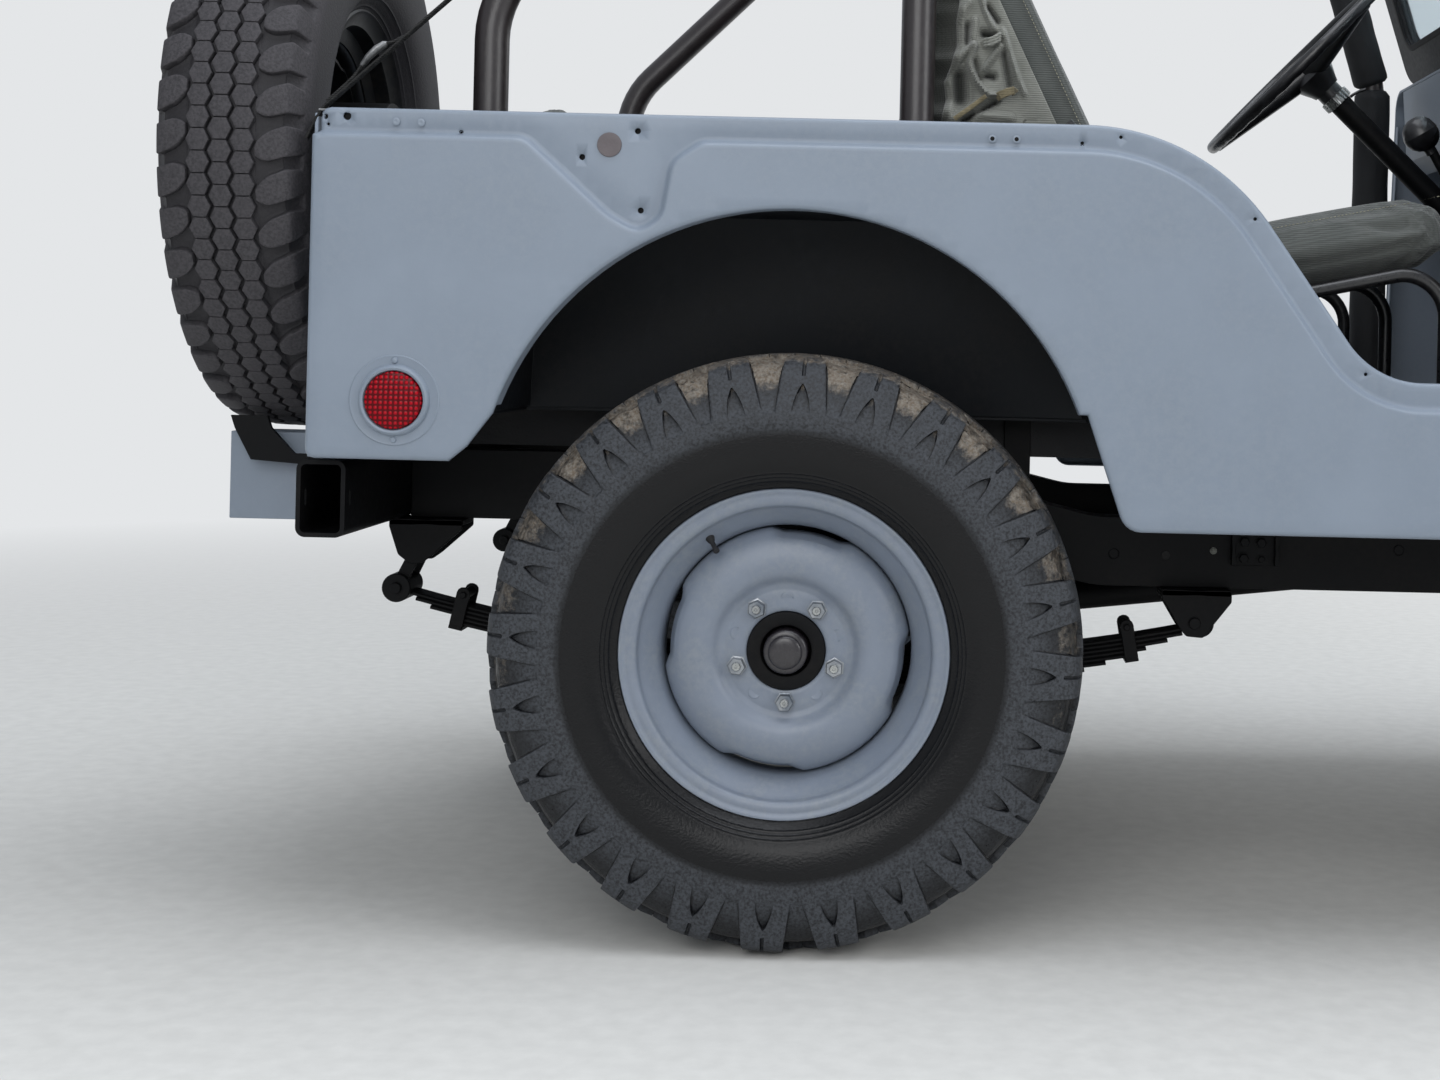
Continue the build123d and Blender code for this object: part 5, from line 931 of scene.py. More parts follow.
def panel_points():
    """Points inside the tub's outline: a plain grid, and rows beside the edge and beside the step."""
    xs, zs = np.meshgrid(np.arange(-628, 1700, 17.0), np.arange(570, 1304, 17.0))
    plain = np.column_stack([xs.ravel(), zs.ravel()])
    plain = plain[signed_distance(plain, TUB_EDGE) > 9]
    plain = plain[np.abs(signed_distance(plain, STEP_LINE)) > 12]
    rows = beside(TUB_EDGE, [-6.5, -3.6, -1.6, -0.5, 0.5, 1.6, 3.6, 6.5])
    rows = rows[signed_distance(rows, TUB_EDGE) > 0.35]
    steps = beside(STEP_LINE, [-12, -8.5, -5.5, -3, 0, 3, 5.5, 9])
    steps = steps[signed_distance(steps, TUB_EDGE) > 8]
    inner = np.vstack([plain, rows, steps])
    for x, z, r in HOLES:
        inner = inner[np.hypot(inner[:, 0] - x, inner[:, 1] - z) > r + 1.2]
    return inner


def panel_mesh():
    """Fills the tub's outline with triangles, with a ring left open at each hole."""
    rings = [(x, z) + ring_outline(r, 14) for x, z, r in HOLES]
    points = np.vstack([TUB_EDGE, *rings, panel_points()])
    edges, start = [], 0
    for ring in [TUB_EDGE, *rings]:
        count = np.arange(len(ring))
        edges.append(np.column_stack([start + count, start + (count + 1) % len(ring)]))
        start += len(ring)
    out = delaunay_2d_cdt(points.tolist(), np.vstack(edges).tolist(), [], 0, 1e-4, False)
    places, faces = np.array([tuple(v) for v in out[0]]), np.array(out[2])
    middle = places[faces].mean(axis=1)
    keep = signed_distance(middle, TUB_EDGE) > 0
    for x, z, r in HOLES:
        keep &= np.hypot(middle[:, 0] - x, middle[:, 1] - z) > r * 0.97
    faces = faces[keep]
    a, b, c = places[faces[:, 0]], places[faces[:, 1]], places[faces[:, 2]]
    area = (b[:, 0] - a[:, 0]) * (c[:, 1] - a[:, 1]) - (b[:, 1] - a[:, 1]) * (c[:, 0] - a[:, 0])
    faces = np.where((area > 0)[:, None], faces, faces[:, ::-1])[np.abs(area) > 1e-3]
    used, faces = np.unique(faces, return_inverse=True)
    places = places[used]
    return places, panel_height(places), faces.reshape(-1, 3)


def strip_along(line, low_y, high_y, thick, side):
    """A folded flange: a flat strip that follows a line in side view, between two widths."""
    path = spot(line[:, 0], side * (low_y + high_y) / 2, line[:, 1])
    return swept(path, plate_outline((high_y - low_y) / 1000, thick / 1000, 0.0008)[:, ::-1], (0, 1, 0))


panel_places, panel_heights, panel_faces = panel_mesh()
print("panel", len(panel_places), "points", len(panel_faces), "triangles")
for name, side in SIDES.items():
    points = spot(panel_places[:, 0], side * panel_heights, panel_places[:, 1])
    node = "side_panel_" + name
    skin = new_piece("pressed_side_" + name, (points, panel_faces[:, ::(1 if side < 0 else -1)]), node,
                     BODY_PAINT, sharp=60, closed=False)
    wall = skin.modifiers.new("sheet", "SOLIDIFY")
    wall.thickness, wall.offset = 0.004, -1.0
    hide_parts(node)
    lip = strip_along(ARCH[::2] + (ARCH[::2] - ARCH_AT) * (1.6 / ARCH_RADIUS), 716, 744, 3.0, side)
    top = rounded(REAR_AND_TOP[4:9], closed=False)[3:-3]
    inward = np.column_stack([-np.gradient(top[:, 1]), np.gradient(top[:, 0])])
    rail = strip_along(top - unit(inward) * 3.0, 714, 737, 3.0, side)
    new_piece("folded_flanges_" + name, together([lip, rail]), node, BODY_PAINT)
    plug = stud([(0, -1), (15.6, -1), (16.3, 0.2), (15.8, 1.6), (13.0, 2.3), (7.0, 1.9), (0, 1.6)], -243,
                743, 1060, side, 40)
    new_piece("rubber_plug_" + name, plug, node, PLUG_RUBBER)
    dimples = [stud([(0, -0.3), (5, -0.3), (5.4, 0.2), (3.6, 1.0), (1.8, 0.7), (0, 0.2)], x, DOT_OUT, z,
                    side, 20) for x, z in DOTS]
    new_piece("pressed_dimples_" + name, together(dimples), node, BODY_PAINT)
    # Black discs on the last two dimples and black cups behind every hole are painted shade for the dark
    # inside of holes.
    dark = [stud([(0, 1.1), (2.5, 1.1), (2.9, 0.9), (2.9, 0.2), (0, 0.2)], x, DOT_OUT, z, side, 20) for x,
            z in DOTS[2:]]
    dark += [stud([(r + 1.2, -3.2), (r + 1.2, -7), (0, -7), (0, -6.2), (r + 0.4, -6.2), (r + 0.4, -3.2),
                   (r + 1.2, -3.2)], x, DOT_OUT, z, side, 20) for x, z, r in HOLES]
    new_piece("painted_hole_shade_" + name, together(dark), node, CHASSIS_PAINT)

# %% [markdown]
# The reflector is a red lens in a painted bezel, sunk in a shallow round pressing and held by two screws.
# Each is turned from a profile, as a lathe would, so their round edges are true.

# %% Side reflectors
REFLECTOR_AT = (-517, 752, 716)
for name, side in SIDES.items():
    bezel = stud([(60, -0.8), (60, 0.4), (58.5, 1.3), (56, 0.6), (47.5, 0.5), (46.5, 4.5), (45, 7.2),
                  (42.5, 8.4), (40, 7.4), (38.6, 4.0), (38.2, 0.5), (38.2, -0.8)], *REFLECTOR_AT, side, 72)
    new_piece("reflector_bezel_" + name, bezel, "side_reflectors", BODY_PAINT)
    lens = stud([(0, 0.2), (38.0, 0.2), (38.2, 5.4), (37.0, 7.6), (34.5, 8.6), (24, 9.6), (12, 10.1),
                 (0, 10.3)], *REFLECTOR_AT, side, 72)
    glowing = new_piece("reflector_lens_" + name, lens, "side_reflectors", RED_LENS)
    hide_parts("side_reflectors")
    head = [(0, 0.3), (4.2, 0.3), (4.2, 1.6), (3.4, 2.8), (1.6, 3.3), (0, 3.4)]
    screws = [stud(head, *(REFLECTOR_AT + np.array([0, 0, up])), side, 20) for up in (52.5, -52.5)]
    new_piece("reflector_screws_" + name, together(screws), "side_reflectors", BODY_PAINT)
print("reflectors made")

# %% [markdown]
# A steel wheel is a rolled rim with a pressed disc welded into it. The rim's edge is curled twice, and the
# disc is dished, with four slots left at its edge. Both are turned from a closed section. The slots are
# made by drawing the disc's edge in over a few degrees, which also gives their tapering ends.

# %% Rim and disc sections
RIM_LOOP = np.array([
    (223.2, 70.5), (223.8, 73), (222.6, 75), (220, 75.2), (217.4, 73.8), (215.2, 72.2), (212.6, 72.6),
    (208, 72.8), (203.4, 71.6),
    (200.4, 69.2), (199, 66), (198.4, 62.6), (197, 59.6), (193.4, 55.4), (186, 46.2), (178.4, 36),
    (173, 27.6), (170.4, 19), (170, 0),
    (170, -18), (173.5, -27), (196, -38), (199.4, -62), (215, -69.5), (220.5, -75.2), (223.8, -73.5),
    (223, -70), (218, -66.4), (207.7, -65),
    (203.6, -43), (176, -31), (176, 17), (179, 31), (203.4, 45), (207.6, 64.6), (214, 67.2), (220, 68.6),
])
DISC_LOOP = np.array([
    (54, 31.4), (54, 35), (54.8, 36), (62, 36.2), (74, 36.2), (82, 36.2), (83.4, 35.6), (85, 36.1),
    (89.6, 36.8), (93, 38.6), (96.6, 42),
    (100.4, 45.8), (105, 48.6), (111, 50.4), (117.6, 51.2), (124, 51.2), (134, 49.6), (144, 46.4),
    (152.4, 42.2), (159, 37.4), (164, 31.8),
    (167.2, 25.6), (168.8, 18), (169.2, 6), (169.2, -14), (165, -14), (165, 6), (164.4, 17), (162.4, 24),
    (159, 29), (154, 33.6),
    (147, 38.2), (138, 42.4), (128, 45.6), (118, 46.8), (111, 45.8), (106.4, 43.2), (102.6, 39.6),
    (98.8, 35.4), (94, 32.6), (86, 31.6), (70, 31.4),
])
HUB_RING = np.array([(53.4, 31), (53.6, 37.4), (52.6, 38.8), (50, 39.2), (38, 39.2), (35.4, 38.6),
                     (34.2, 37), (33.6, 30), (32, 24), (32, 20), (53.4, 20)])
HUB_CAP = [(0, 59.4), (9, 59.2), (17, 58.4), (20.8, 57.2), (22.6, 55.2), (23.4, 53), (26.6, 52.6),
           (29, 51.4), (30.2, 49), (30.4, 36), (31.4, 32), (32.2, 26), (32.2, 18), (0, 18)]
DRUM_LOOP = np.array([(34, -66), (146, -66), (150, -62), (150, -13), (147, -9), (138, 2), (98, 7), (90, 16),
                      (60, 28), (54, 30.8), (34, 30.8)])
SLOT_TURNS = np.radians([79, -11, -101, 169])


def wheel_ring(rows, centre, outward, columns=120, drawn_in=0.0):
    """Turns a closed (out, along) loop; the edge beyond 152 mm is drawn in where the slots are."""
    screen = np.arange(columns) * 2 * np.pi / columns
    away = np.abs((screen[:, None] - SLOT_TURNS + np.pi) % (2 * np.pi) - np.pi).min(axis=1)
    share = np.clip((np.radians(21) - away) / np.radians(8), 0, 1)
    slot = share**2 * (3 - 2 * share)
    edge = np.clip((rows[:, :1] - 152) / 12, 0, 1)
    out = rows[:, :1] - drawn_in * edge * slot
    points = wheel_place(centre, outward, rows[:, 1:] + 0 * out, out, np.pi / 2 - screen[None] + 0 * out)
    return sheet_of(points, round_rows=True, round_columns=True)


def on_face(centre, outward, screen_turn, out, along):
    """A point on a wheel: an angle from straight ahead, a distance out and a height along the axle."""
    return wheel_place(centre, outward, np.asarray(along, float), np.asarray(out, float),
                       np.pi / 2 - np.asarray(screen_turn, float))


def blister(centre, outward, screen_turn):
    """A half-moon pressed up by a die: height 1.7 s (1 - s^6), where s runs from its chord to its arc."""
    s, t = np.meshgrid(np.linspace(0, 1, 9), np.linspace(-1, 1, 15), indexing="ij")
    out = 71.5 + s * 9.5 * np.sqrt(np.maximum(1 - t**2, 0.0))
    turn = screen_turn + t * 9.0 / 77
    return sheet_of(on_face(centre, outward, turn, out, 36.2 + 1.7 * s * (1 - s**6) - 0.1))


NUT_METAL = bare_metal("worn_wheel_nut", "#A4A7AA", "#6F767F", 0.38, 3.0, 0.3, 0.8)
CAP_ENAMEL = painted("hub_cap_enamel", "#241F24", "#19161A", "#4A4548", 0.26, peel_mm=5, peel=0.1,
                     dust_share=0.15, sheen=0.6)
print("wheel sections ready")


# %% Wheels
def steel_wheel(place, node, centre, outward, paint, hub=True):
    """Rim, disc, blisters and valve, and on a road wheel its hub ring, cap, drum and five nuts on studs."""
    outward = np.asarray(outward, float)
    shape = together([wheel_ring(RIM_LOOP, centre, outward),
                      wheel_ring(DISC_LOOP, centre, outward, drawn_in=8.5)])
    rim = new_piece("rim_and_disc_" + place, shape, node, paint, sharp=50)
    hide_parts(node)
    studs = np.radians(-90 + 72 * np.arange(5))
    marks = together([blister(centre, outward, turn + math.pi) for turn in studs])
    new_piece("disc_blisters_" + place, marks, node, paint, closed=False)
    base = on_face(centre, outward, math.radians(125), 187, 44)
    tip = on_face(centre, outward, math.radians(125), 165, 62)
    steps = np.array([0, 0.05, 0.3, 0.36, 0.7, 0.75, 0.98, 1.0])
    stem = base + (tip - base) * steps[:, None]
    widths = np.array([7.5, 6.6, 4.6, 3.4, 3.3, 4.2, 4.2, 3.2])
    valve = swept(stem, ring_outline(1.0, 14)[None] * widths[:, None, None] / 1000)
    new_piece("tyre_valve_" + place, valve, node, SOFT_RUBBER)
    if not hub:
        return
    new_piece("hub_flange_" + place, wheel_ring(HUB_RING, centre, outward, 72), node, CHASSIS_PAINT)
    new_piece("hub_cap_" + place, turned(HUB_CAP, centre, outward, 64), node, CAP_ENAMEL)
    new_piece("brake_drum_" + place, wheel_ring(DRUM_LOOP, centre, outward, 72), node, CAST_IRON)
    nut_rows = [(6.2, 35.4), (14.4, 35.4), (14.4, 38), (12.6, 38.6), (12.6, 46.4), (11.2, 48.4),
                (6.2, 48.4)]
    stud_rows = [(6.2, 40), (6.2, 50.4), (5.2, 51.6), (2.2, 51.6), (1.6, 50.6), (0, 50.4)]
    places = [on_face(centre, outward, turn, 69.85, 0) for turn in studs]
    nuts = together([turned(nut_rows, p, outward, 6, start=0.5 * k) for k, p in enumerate(places)])
    new_piece("wheel_nuts_" + place, nuts, node, NUT_METAL, sharp=25)
    new_piece("wheel_studs_" + place, together([turned(stud_rows, p, outward, 16) for p in places]), node,
              ZINC)
    print("wheel", place, "made of", len(shape[1]), "quads")


for place, (station, side) in WHEELS.items():
    steel_wheel(place, "wheel_" + place, spot(station, side * WHEEL_OUT, AXLE_UP), (0, side, 0),
                WHEEL_PAINT)
steel_wheel("spare", "spare_wheel", spot(*SPARE_AT), (-1, 0, 0), BLACK_WHEEL_PAINT, hub=False)

# %% [markdown]
# Seat cushions are canvas covers sewn over stuffing. Each panel of a cover swells between its seams, so a
# cushion is a closed shell that is blown up by Blender's Cloth with its seam rings pinned. The shell starts
# smaller than the finished cushion, is remeshed to an even grid, and no point may move further than a cap.
# Its stitches come afterwards.

# %% Stuffed shells
def slab(length, width, thick, inset, power=7.0):
    """A closed slab: rings |x/a|^p + |y/b|^p = 1 stacked up its thickness, drawn in towards both faces."""
    turn = around(96)
    ring = np.stack([np.sign(np.cos(turn)) * np.abs(np.cos(turn)) ** (2 / power),
                     np.sign(np.sin(turn)) * np.abs(np.sin(turn)) ** (2 / power)], axis=-1)
    lift = np.array([0, 0, 0, 0.02, 0.12, 0.3, 0.5, 0.7, 0.88, 0.98, 1, 1, 1])
    share = np.array([0, 0.5, 0.9, 0.97, 0.995, 1, 1, 1, 0.995, 0.97, 0.9, 0.5, 0])
    half = np.array([length / 2 - inset, width / 2 - inset])
    plan = ring[None] * half * share[:, None, None]
    up = inset + lift * (thick - 2 * inset)
    return np.concatenate([plan + [length / 2, 0],
                           np.broadcast_to(up[:, None, None], (*plan.shape[:2], 1))], axis=-1)


def in_frame(points, origin, x_dir, z_dir):
    """Local millimetres along a seat's length, across it and through it, as metres in the car's frame."""
    x_dir, z_dir = np.asarray(x_dir, float), np.asarray(z_dir, float)
    return spot(*origin) + (points[..., :1] * x_dir + points[..., 1:2] * np.array([0, 1.0, 0])
                            + points[..., 2:] * z_dir) / 1000


def even_shell(piece, voxel):
    """Gives a piece's mesh an even grid of voxels and returns its points."""
    remesh = piece.modifiers.new("even", "REMESH")
    remesh.mode, remesh.voxel_size, remesh.use_smooth_shade = "VOXEL", voxel, True
    bpy.context.view_layer.update()
    fresh = bpy.data.meshes.new_from_object(piece.evaluated_get(bpy.context.evaluated_depsgraph_get()))
    piece.modifiers.remove(remesh)
    fresh.materials.clear()
    fresh.materials.append(piece.data.materials[0])
    piece.data = fresh
    return points_of(fresh).astype(float)


def blow_up(jobs, pressure=4.0, frames=20):
    """Runs Cloth on all shells at once, then keeps each point within its cap of where it began."""
    for piece, points, pinned, cap in jobs:
        seam = piece.vertex_groups.new(name="seam")
        seam.add(np.flatnonzero(pinned).tolist(), 1.0, "REPLACE")
        cloth = piece.modifiers.new("stuffing", "CLOTH")
        cloth.settings.use_pressure, cloth.settings.uniform_pressure_force = True, pressure
        cloth.settings.effector_weights.gravity = 0.0
        cloth.settings.vertex_group_mass, cloth.settings.quality = "seam", 4
        cloth.settings.tension_stiffness = cloth.settings.compression_stiffness = 12.0
        cloth.point_cache.frame_end = frames
    for number in range(1, frames + 1):
        bpy.context.scene.frame_set(number)
    ready = bpy.context.evaluated_depsgraph_get()
    for piece, points, pinned, cap in jobs:
        moved = points_of(piece.evaluated_get(ready).data) - points
        length = np.linalg.norm(moved, axis=1, keepdims=True)
        moved = moved * np.minimum(1, cap / np.maximum(length, 1e-9))
        piece.modifiers.clear()
        piece.vertex_groups.clear()
        move_points(piece.data, points + moved)
    bpy.context.scene.frame_set(1)


SEAT_OUT = 355
LEAN, TILT, BENCH_LEAN = math.radians(26), math.radians(12), math.radians(14)
CUSHION = ((489.75, 0, 855.08), (math.cos(TILT), 0, math.sin(TILT)), (-math.sin(TILT), 0, math.cos(TILT)))
BACKREST = ((480, 0, 985), (-math.sin(LEAN), 0, math.cos(LEAN)), (-math.cos(LEAN), 0, -math.sin(LEAN)))
BENCH = ((-330, 0, 905.3), (1, 0, 0), (0, 0, 1))
BENCH_BACK = ((-328, 0, 989), (-math.sin(BENCH_LEAN), 0, math.cos(BENCH_LEAN)),
              (-math.cos(BENCH_LEAN), 0, -math.sin(BENCH_LEAN)))
PADS = {  # frame, length, width, thickness, inset, seam heights, cap, node
    "front_cushion": (CUSHION, 470, 430, 95, 11, (42,), 13, "front_cushions"),
    "front_backrest": (BACKREST, 500, 430, 110, 10, (14, 62), 12, "front_backrests"),
    "bench_cushion": (BENCH, 390, 800, 80, 10, (40,), 12, "rear_bench_pads"),
    "bench_back": (BENCH_BACK, 190, 800, 70, 9, (34,), 11, "rear_bench_pads"),
}
print("pads to stuff:", ", ".join(PADS))

# %% Cushions
jobs, stuffed = [], {}
for name, (seat, length, width, thick, inset, seams, cap, node) in PADS.items():
    local = slab(length, width, thick, inset)
    crown = 6 * np.sin(np.pi * np.clip(local[..., 0] / length, 0, 1)) * (local[..., 2] > thick / 2)
    local[..., 2] += crown - 3
    piece = new_piece(name, sheet_of(in_frame(local, *seat), round_columns=True), node, CANVAS, merge=1e-5,
                      sharp=80)
    points = even_shell(piece, 0.006)
    rel = (points - spot(*seat[0])) @ np.array(seat[2]) * 1000
    along = (points - spot(*seat[0])) @ np.array(seat[1]) * 1000
    beside = np.abs(points[:, 1] * 1000) > width / 2 - inset - 7
    rim = beside | (along < inset + 7) | (along > length - inset - 7)
    pinned = rim & (np.abs(rel[:, None] - np.array(seams)[None]).min(axis=1) < 3.2)
    jobs.append((piece, points, pinned, cap / 1000))
    stuffed[name] = piece
if jobs:
    blow_up(jobs)
for name, piece in stuffed.items():
    piece.data.polygons.foreach_set("use_smooth", np.ones(len(piece.data.polygons), bool))
    print(name, len(piece.data.polygons), "faces")


def settled_copy(piece, name, shift_y, node):
    """A second cushion from the same pattern, moved across the car, with its own slight slump."""
    mesh = piece.data.copy()
    points = points_of(mesh)
    points[:, 1] += shift_y
    points[:, 0] += 0.0015 * np.sin(points[:, 1] * 31) * np.sin(points[:, 2] * 23)
    move_points(mesh, points)
    copy = bpy.data.objects.new(name, mesh)
    bpy.context.scene.collection.objects.link(copy)
    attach(copy, BODY_OF[node])
    return copy


for name in ("front_cushion", "front_backrest"):
    piece, node = stuffed[name], PADS[name][7]
    twin = settled_copy(piece, name + "_left", SEAT_OUT / 1000, node)
    points = points_of(piece.data)
    points[:, 1] -= SEAT_OUT / 1000
    move_points(piece.data, points)
    for each in (piece, twin):
        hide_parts(node)
for name in ("bench_cushion", "bench_back"):
    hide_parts("rear_bench_pads")

# %% [markdown]
# The seams of a cover are lapped and sewn with two rows of pale thread. A stitch is a short bead of thread,
# so each is a small capsule of a few faces laid along the seam, and all of a seam's stitches are one piece.

# %% Stitches and welts
THREAD = hard_plastic("waxed_linen_thread", "#A9A58E", "#8F8B76", 0.7)


def stitches(line, out_dir, length=0.0034, gap=0.0022, thick=0.0009, lift=0.0006):
    """Small capsules at even steps along a line of points, raised a little along out_dir."""
    run = np.concatenate([[0], np.cumsum(np.linalg.norm(np.diff(line, axis=0), axis=1))])
    middles = np.arange(length, run[-1] - length, length + gap)
    at = lambda s: np.stack([np.interp(s, run, line[:, k]) for k in range(3)], axis=-1)
    centre, ahead = at(middles), unit(at(middles + length / 4) - at(middles - length / 4))
    out = unit(np.broadcast_to(np.asarray(out_dir, float), centre.shape))
    side = np.cross(ahead, out)
    steps = np.array([-1, -0.7, 0.7, 1]) * length / 2
    widths = np.array([0.25, 1, 1, 0.25]) * thick / 2
    turn = around(5)
    rings = (centre[:, None, None] + ahead[:, None, None] * steps[None, :, None, None] + lift
             * out[:, None, None] + widths[None, :, None, None]
             * (np.cos(turn)[None, None, :, None] * side[:, None, None] + np.sin(turn)[None, None, :, None]
                * out[:, None, None]))
    faces = grid_faces(4, 5, round_columns=True)
    starts = np.arange(len(centre))[:, None, None] * 20
    return rings.reshape(-1, 3), (faces[None] + starts).reshape(-1, 4)


def side_line(seat, y_side, start, end, depth, count=40):
    """A line on a pad's side from one place along it to another, at a depth through it, in millimetres."""
    along = np.linspace(start, end, count)
    local = np.column_stack([along, np.full(count, y_side), np.full(count, float(depth))
                             if np.isscalar(depth) else depth])
    return in_frame(local, *seat)


def pressed_line(line, piece, direction, off=0.0008):
    """Moves a line's points along a direction until they meet a piece, and stops a little short of it."""
    direction = np.asarray(direction, float)
    hits = [piece.ray_cast(Vector(p - 0.08 * direction), Vector(direction)) for p in line]
    return np.array([np.array(hit[1]) if hit[0] else p for hit, p in zip(hits, line)]) - off * direction


bpy.context.view_layer.update()
for name, side in SIDES.items():
    y = side * SEAT_OUT
    back = stuffed["front_backrest"] if side < 0 else bpy.data.objects["front_backrest_left"]
    sewn = []
    for face in (-1, 1):
        seat = ((BACKREST[0][0], y, BACKREST[0][2]), *BACKREST[1:])
        for depth in (20, 57, 67):
            line = side_line(seat, face * 215, 30, 470, depth)
            sewn.append(stitches(pressed_line(line, back, (0, -face, 0)), (0, face, 0)))
    new_piece("backrest_stitches_" + name, together(sewn), "front_backrests", THREAD)
    cushion = stuffed["front_cushion"] if side < 0 else bpy.data.objects["front_cushion_left"]
    seat = ((CUSHION[0][0], y, CUSHION[0][2]), *CUSHION[1:])
    sewn = [stitches(pressed_line(side_line(seat, face * 215, 30, 440, 88), cushion, (0, -face, 0)),
                     (0, face, 0)) for face in (-1, 1)]
    new_piece("cushion_stitches_" + name, together(sewn), "front_cushions", THREAD)
print("seams sewn")

# %% [markdown]
# Foam sleeves are slit tubes of closed-cell foam pushed over the cage's front legs. They meet at the bend
# with a lip, and they are never quite round. Each is one closed tube whose radius wanders by half a
# millimetre.

# %% Foam sleeves
def sleeve(name, path, radius=35.0, count=70):
    """A foam tube whose radius wanders by 0.6 sin(42 s) sin(2 turn), with ends rounded down to the tube."""
    path = np.asarray(path, float)
    along = np.linspace(0, 1, count)
    spine = path[0] + (path[1] - path[0]) * along[:, None]
    length = np.linalg.norm(path[1] - path[0]) * 1000
    ends = np.minimum(along, 1 - along) * length
    eased_end = np.sqrt(np.clip(1 - (1 - np.clip(ends / 9, 0, 1)) ** 2, 0, 1))
    turn = around(40)
    swell = 0.35 * np.sin(23 * along)[:, None]
    wander = 0.6 * np.sin(7 * along * 6)[:, None] * np.sin(2 * turn)[None] + swell
    slit = 1.6 * np.exp(-((turn - 4.4) / 0.07) ** 2)[None]
    out = 25 + (radius - 25 + wander - slit) * np.maximum(eased_end, 0.25)[:, None]
    outline = out[..., None] / 1000 * np.stack([np.cos(turn), np.sin(turn)], axis=-1)[None]
    piece = new_piece(name, swept(spine, outline, (0, 1, 0)), "cage_pads", FOAM, sharp=60)
    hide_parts("cage_pads")


LEG_X, LEG_OUT, BEND_UP, CAGE_UP, LEG_LEAN = 1052, 600, 1341, 1849, math.radians(18.5)
for name, side in SIDES.items():
    bend = spot(LEG_X, side * LEG_OUT, BEND_UP)
    top = spot(LEG_X - (CAGE_UP - BEND_UP) * math.tan(LEG_LEAN), side * 540, CAGE_UP)
    sleeve("leg_sleeve_" + name, [spot(LEG_X, side * LEG_OUT, 660), spot(LEG_X, side * LEG_OUT, 1334)])
    sleeve("brace_sleeve_" + name, [bend + (top - bend) * 0.012, bend + (top - bend) * 0.72], radius=34.0)
print("four sleeves fitted")

# %% [markdown]
# The lashing straps are flat webbing pulled tight, so they are modelled as straight bands and not as
# hanging cords. Each goes round the cage's brace, down to a hook on the tub's corner, and back through a
# steel toggle.

# %% Lashing straps
BUCKLE_STEEL = bare_metal("worn_toggle_zinc", "#8A8B8C", "#5A5B5D", 0.5, 3.0, 0.2, 0.7)
brace_low, brace_high = np.array([-434.0, 600.0, 1280.0]), np.array([160.0, 560.0, 1849.0])
along_brace = unit(brace_high - brace_low)
held_at, lean = brace_low + (brace_high - brace_low) * 0.85, math.radians(40)
square_up = unit(np.array([-along_brace[2], 0, along_brace[0]]))
outward = square_up * math.sin(lean) + np.array([0, 1, 0]) * math.cos(lean)
head = held_at + outward * 28.6
foot = np.array([-621.0, 730.0, 1106.0])
for name, side in SIDES.items():
    flip = np.array([1, side, 1])
    start, end = foot * flip, head * flip
    way = unit(end - start)
    at = lambda s, lift=0.0: spot(*(start + way * s + np.array([0, 0, 1.0]) * lift))
    length = np.linalg.norm(end - start)
    whole = [at(s) for s in np.linspace(0, length, 32)]
    spare = [at(s, lift) for s, lift in ((0, 3.6), (16, 3.9), (32, 4.3), (46, 5.4), (54, 7.6), (60, 11.0))]
    link = [at(s, lift) for s, lift in ((103, 13.0), (109, 10.0), (118, 6.0), (132, 2.6))]
    steps = ((6, 0, 5.6), (-2, 0, -2), (-12, 2, -18), (-25, 4, -46))
    rearward = smooth_line([spot(*(start + np.array(step) * flip)) for step in steps], 4)
    lines = ((whole, 14), (spare, 13), (link, 11), (rearward, 13))
    bands = [swept(line, plate_outline(wide / 1000, 0.0036)[:, ::-1], (0, 1, 0)) for line, wide in lines]
    loop = turned([(24.3, -5.5), (27.2, -5.5), (27.2, 5.5), (24.3, 5.5), (24.3, -5.5)],
                  spot(*(held_at * flip)), along_brace * flip, 40)
    strap = new_piece("lashing_strap_" + name, together([*bands, loop]), "lashing_straps", WEBBING,
                      merge=1e-6)
    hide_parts("lashing_straps")
    widths = np.array([1.6, 3.4, 4.6, 5.0, 4.6, 2.6])
    oval = ring_outline(1.0, 14)[None] * widths[:, None, None] / 1000 * [1.0, 1.7]
    toggle_line = zip((57, 61, 72, 86, 99, 105), (11, 13, 16.4, 17.4, 15, 12.4))
    toggle = swept([at(s, lift) for s, lift in toggle_line], oval, (0, 1, 0))
    plate = swept([spot(*(start + [x, 0, -7.6])) for x in (-9, -8, 12, 14)], plate_outline(0.016, 0.003))
    new_piece("strap_toggle_" + name, together([toggle, plate]), "lashing_straps", BUCKLE_STEEL, merge=1e-6)
print("straps run", round(length), "mm")

# %% [markdown]
# A steering wheel of this age is hard rubber moulded over a steel ring, with finger grips under the rim and
# three deep, tapering spokes. The rim is a ring whose section is notched underneath, and the spokes are
# swept ovals.

# %% Steering wheel
STEER = spot(862, 355, 1352)
STEER_AXIS = np.array([-math.cos(math.radians(44)), 0, math.sin(math.radians(44))])
STEER_ONE = np.array([0, 1.0, 0])
STEER_OTHER = np.cross(STEER_AXIS, STEER_ONE)


def on_wheel(out, turn, up):
    """A point of the steering wheel: out from its centre, round by turn, up its axis, in millimetres."""
    out, turn, up = np.broadcast_arrays(np.asarray(out, float), turn, up)
    return STEER + (out[..., None] * (np.cos(turn)[..., None] * STEER_ONE + np.sin(turn)[..., None]
                                      * STEER_OTHER) + up[..., None] * STEER_AXIS) / 1000


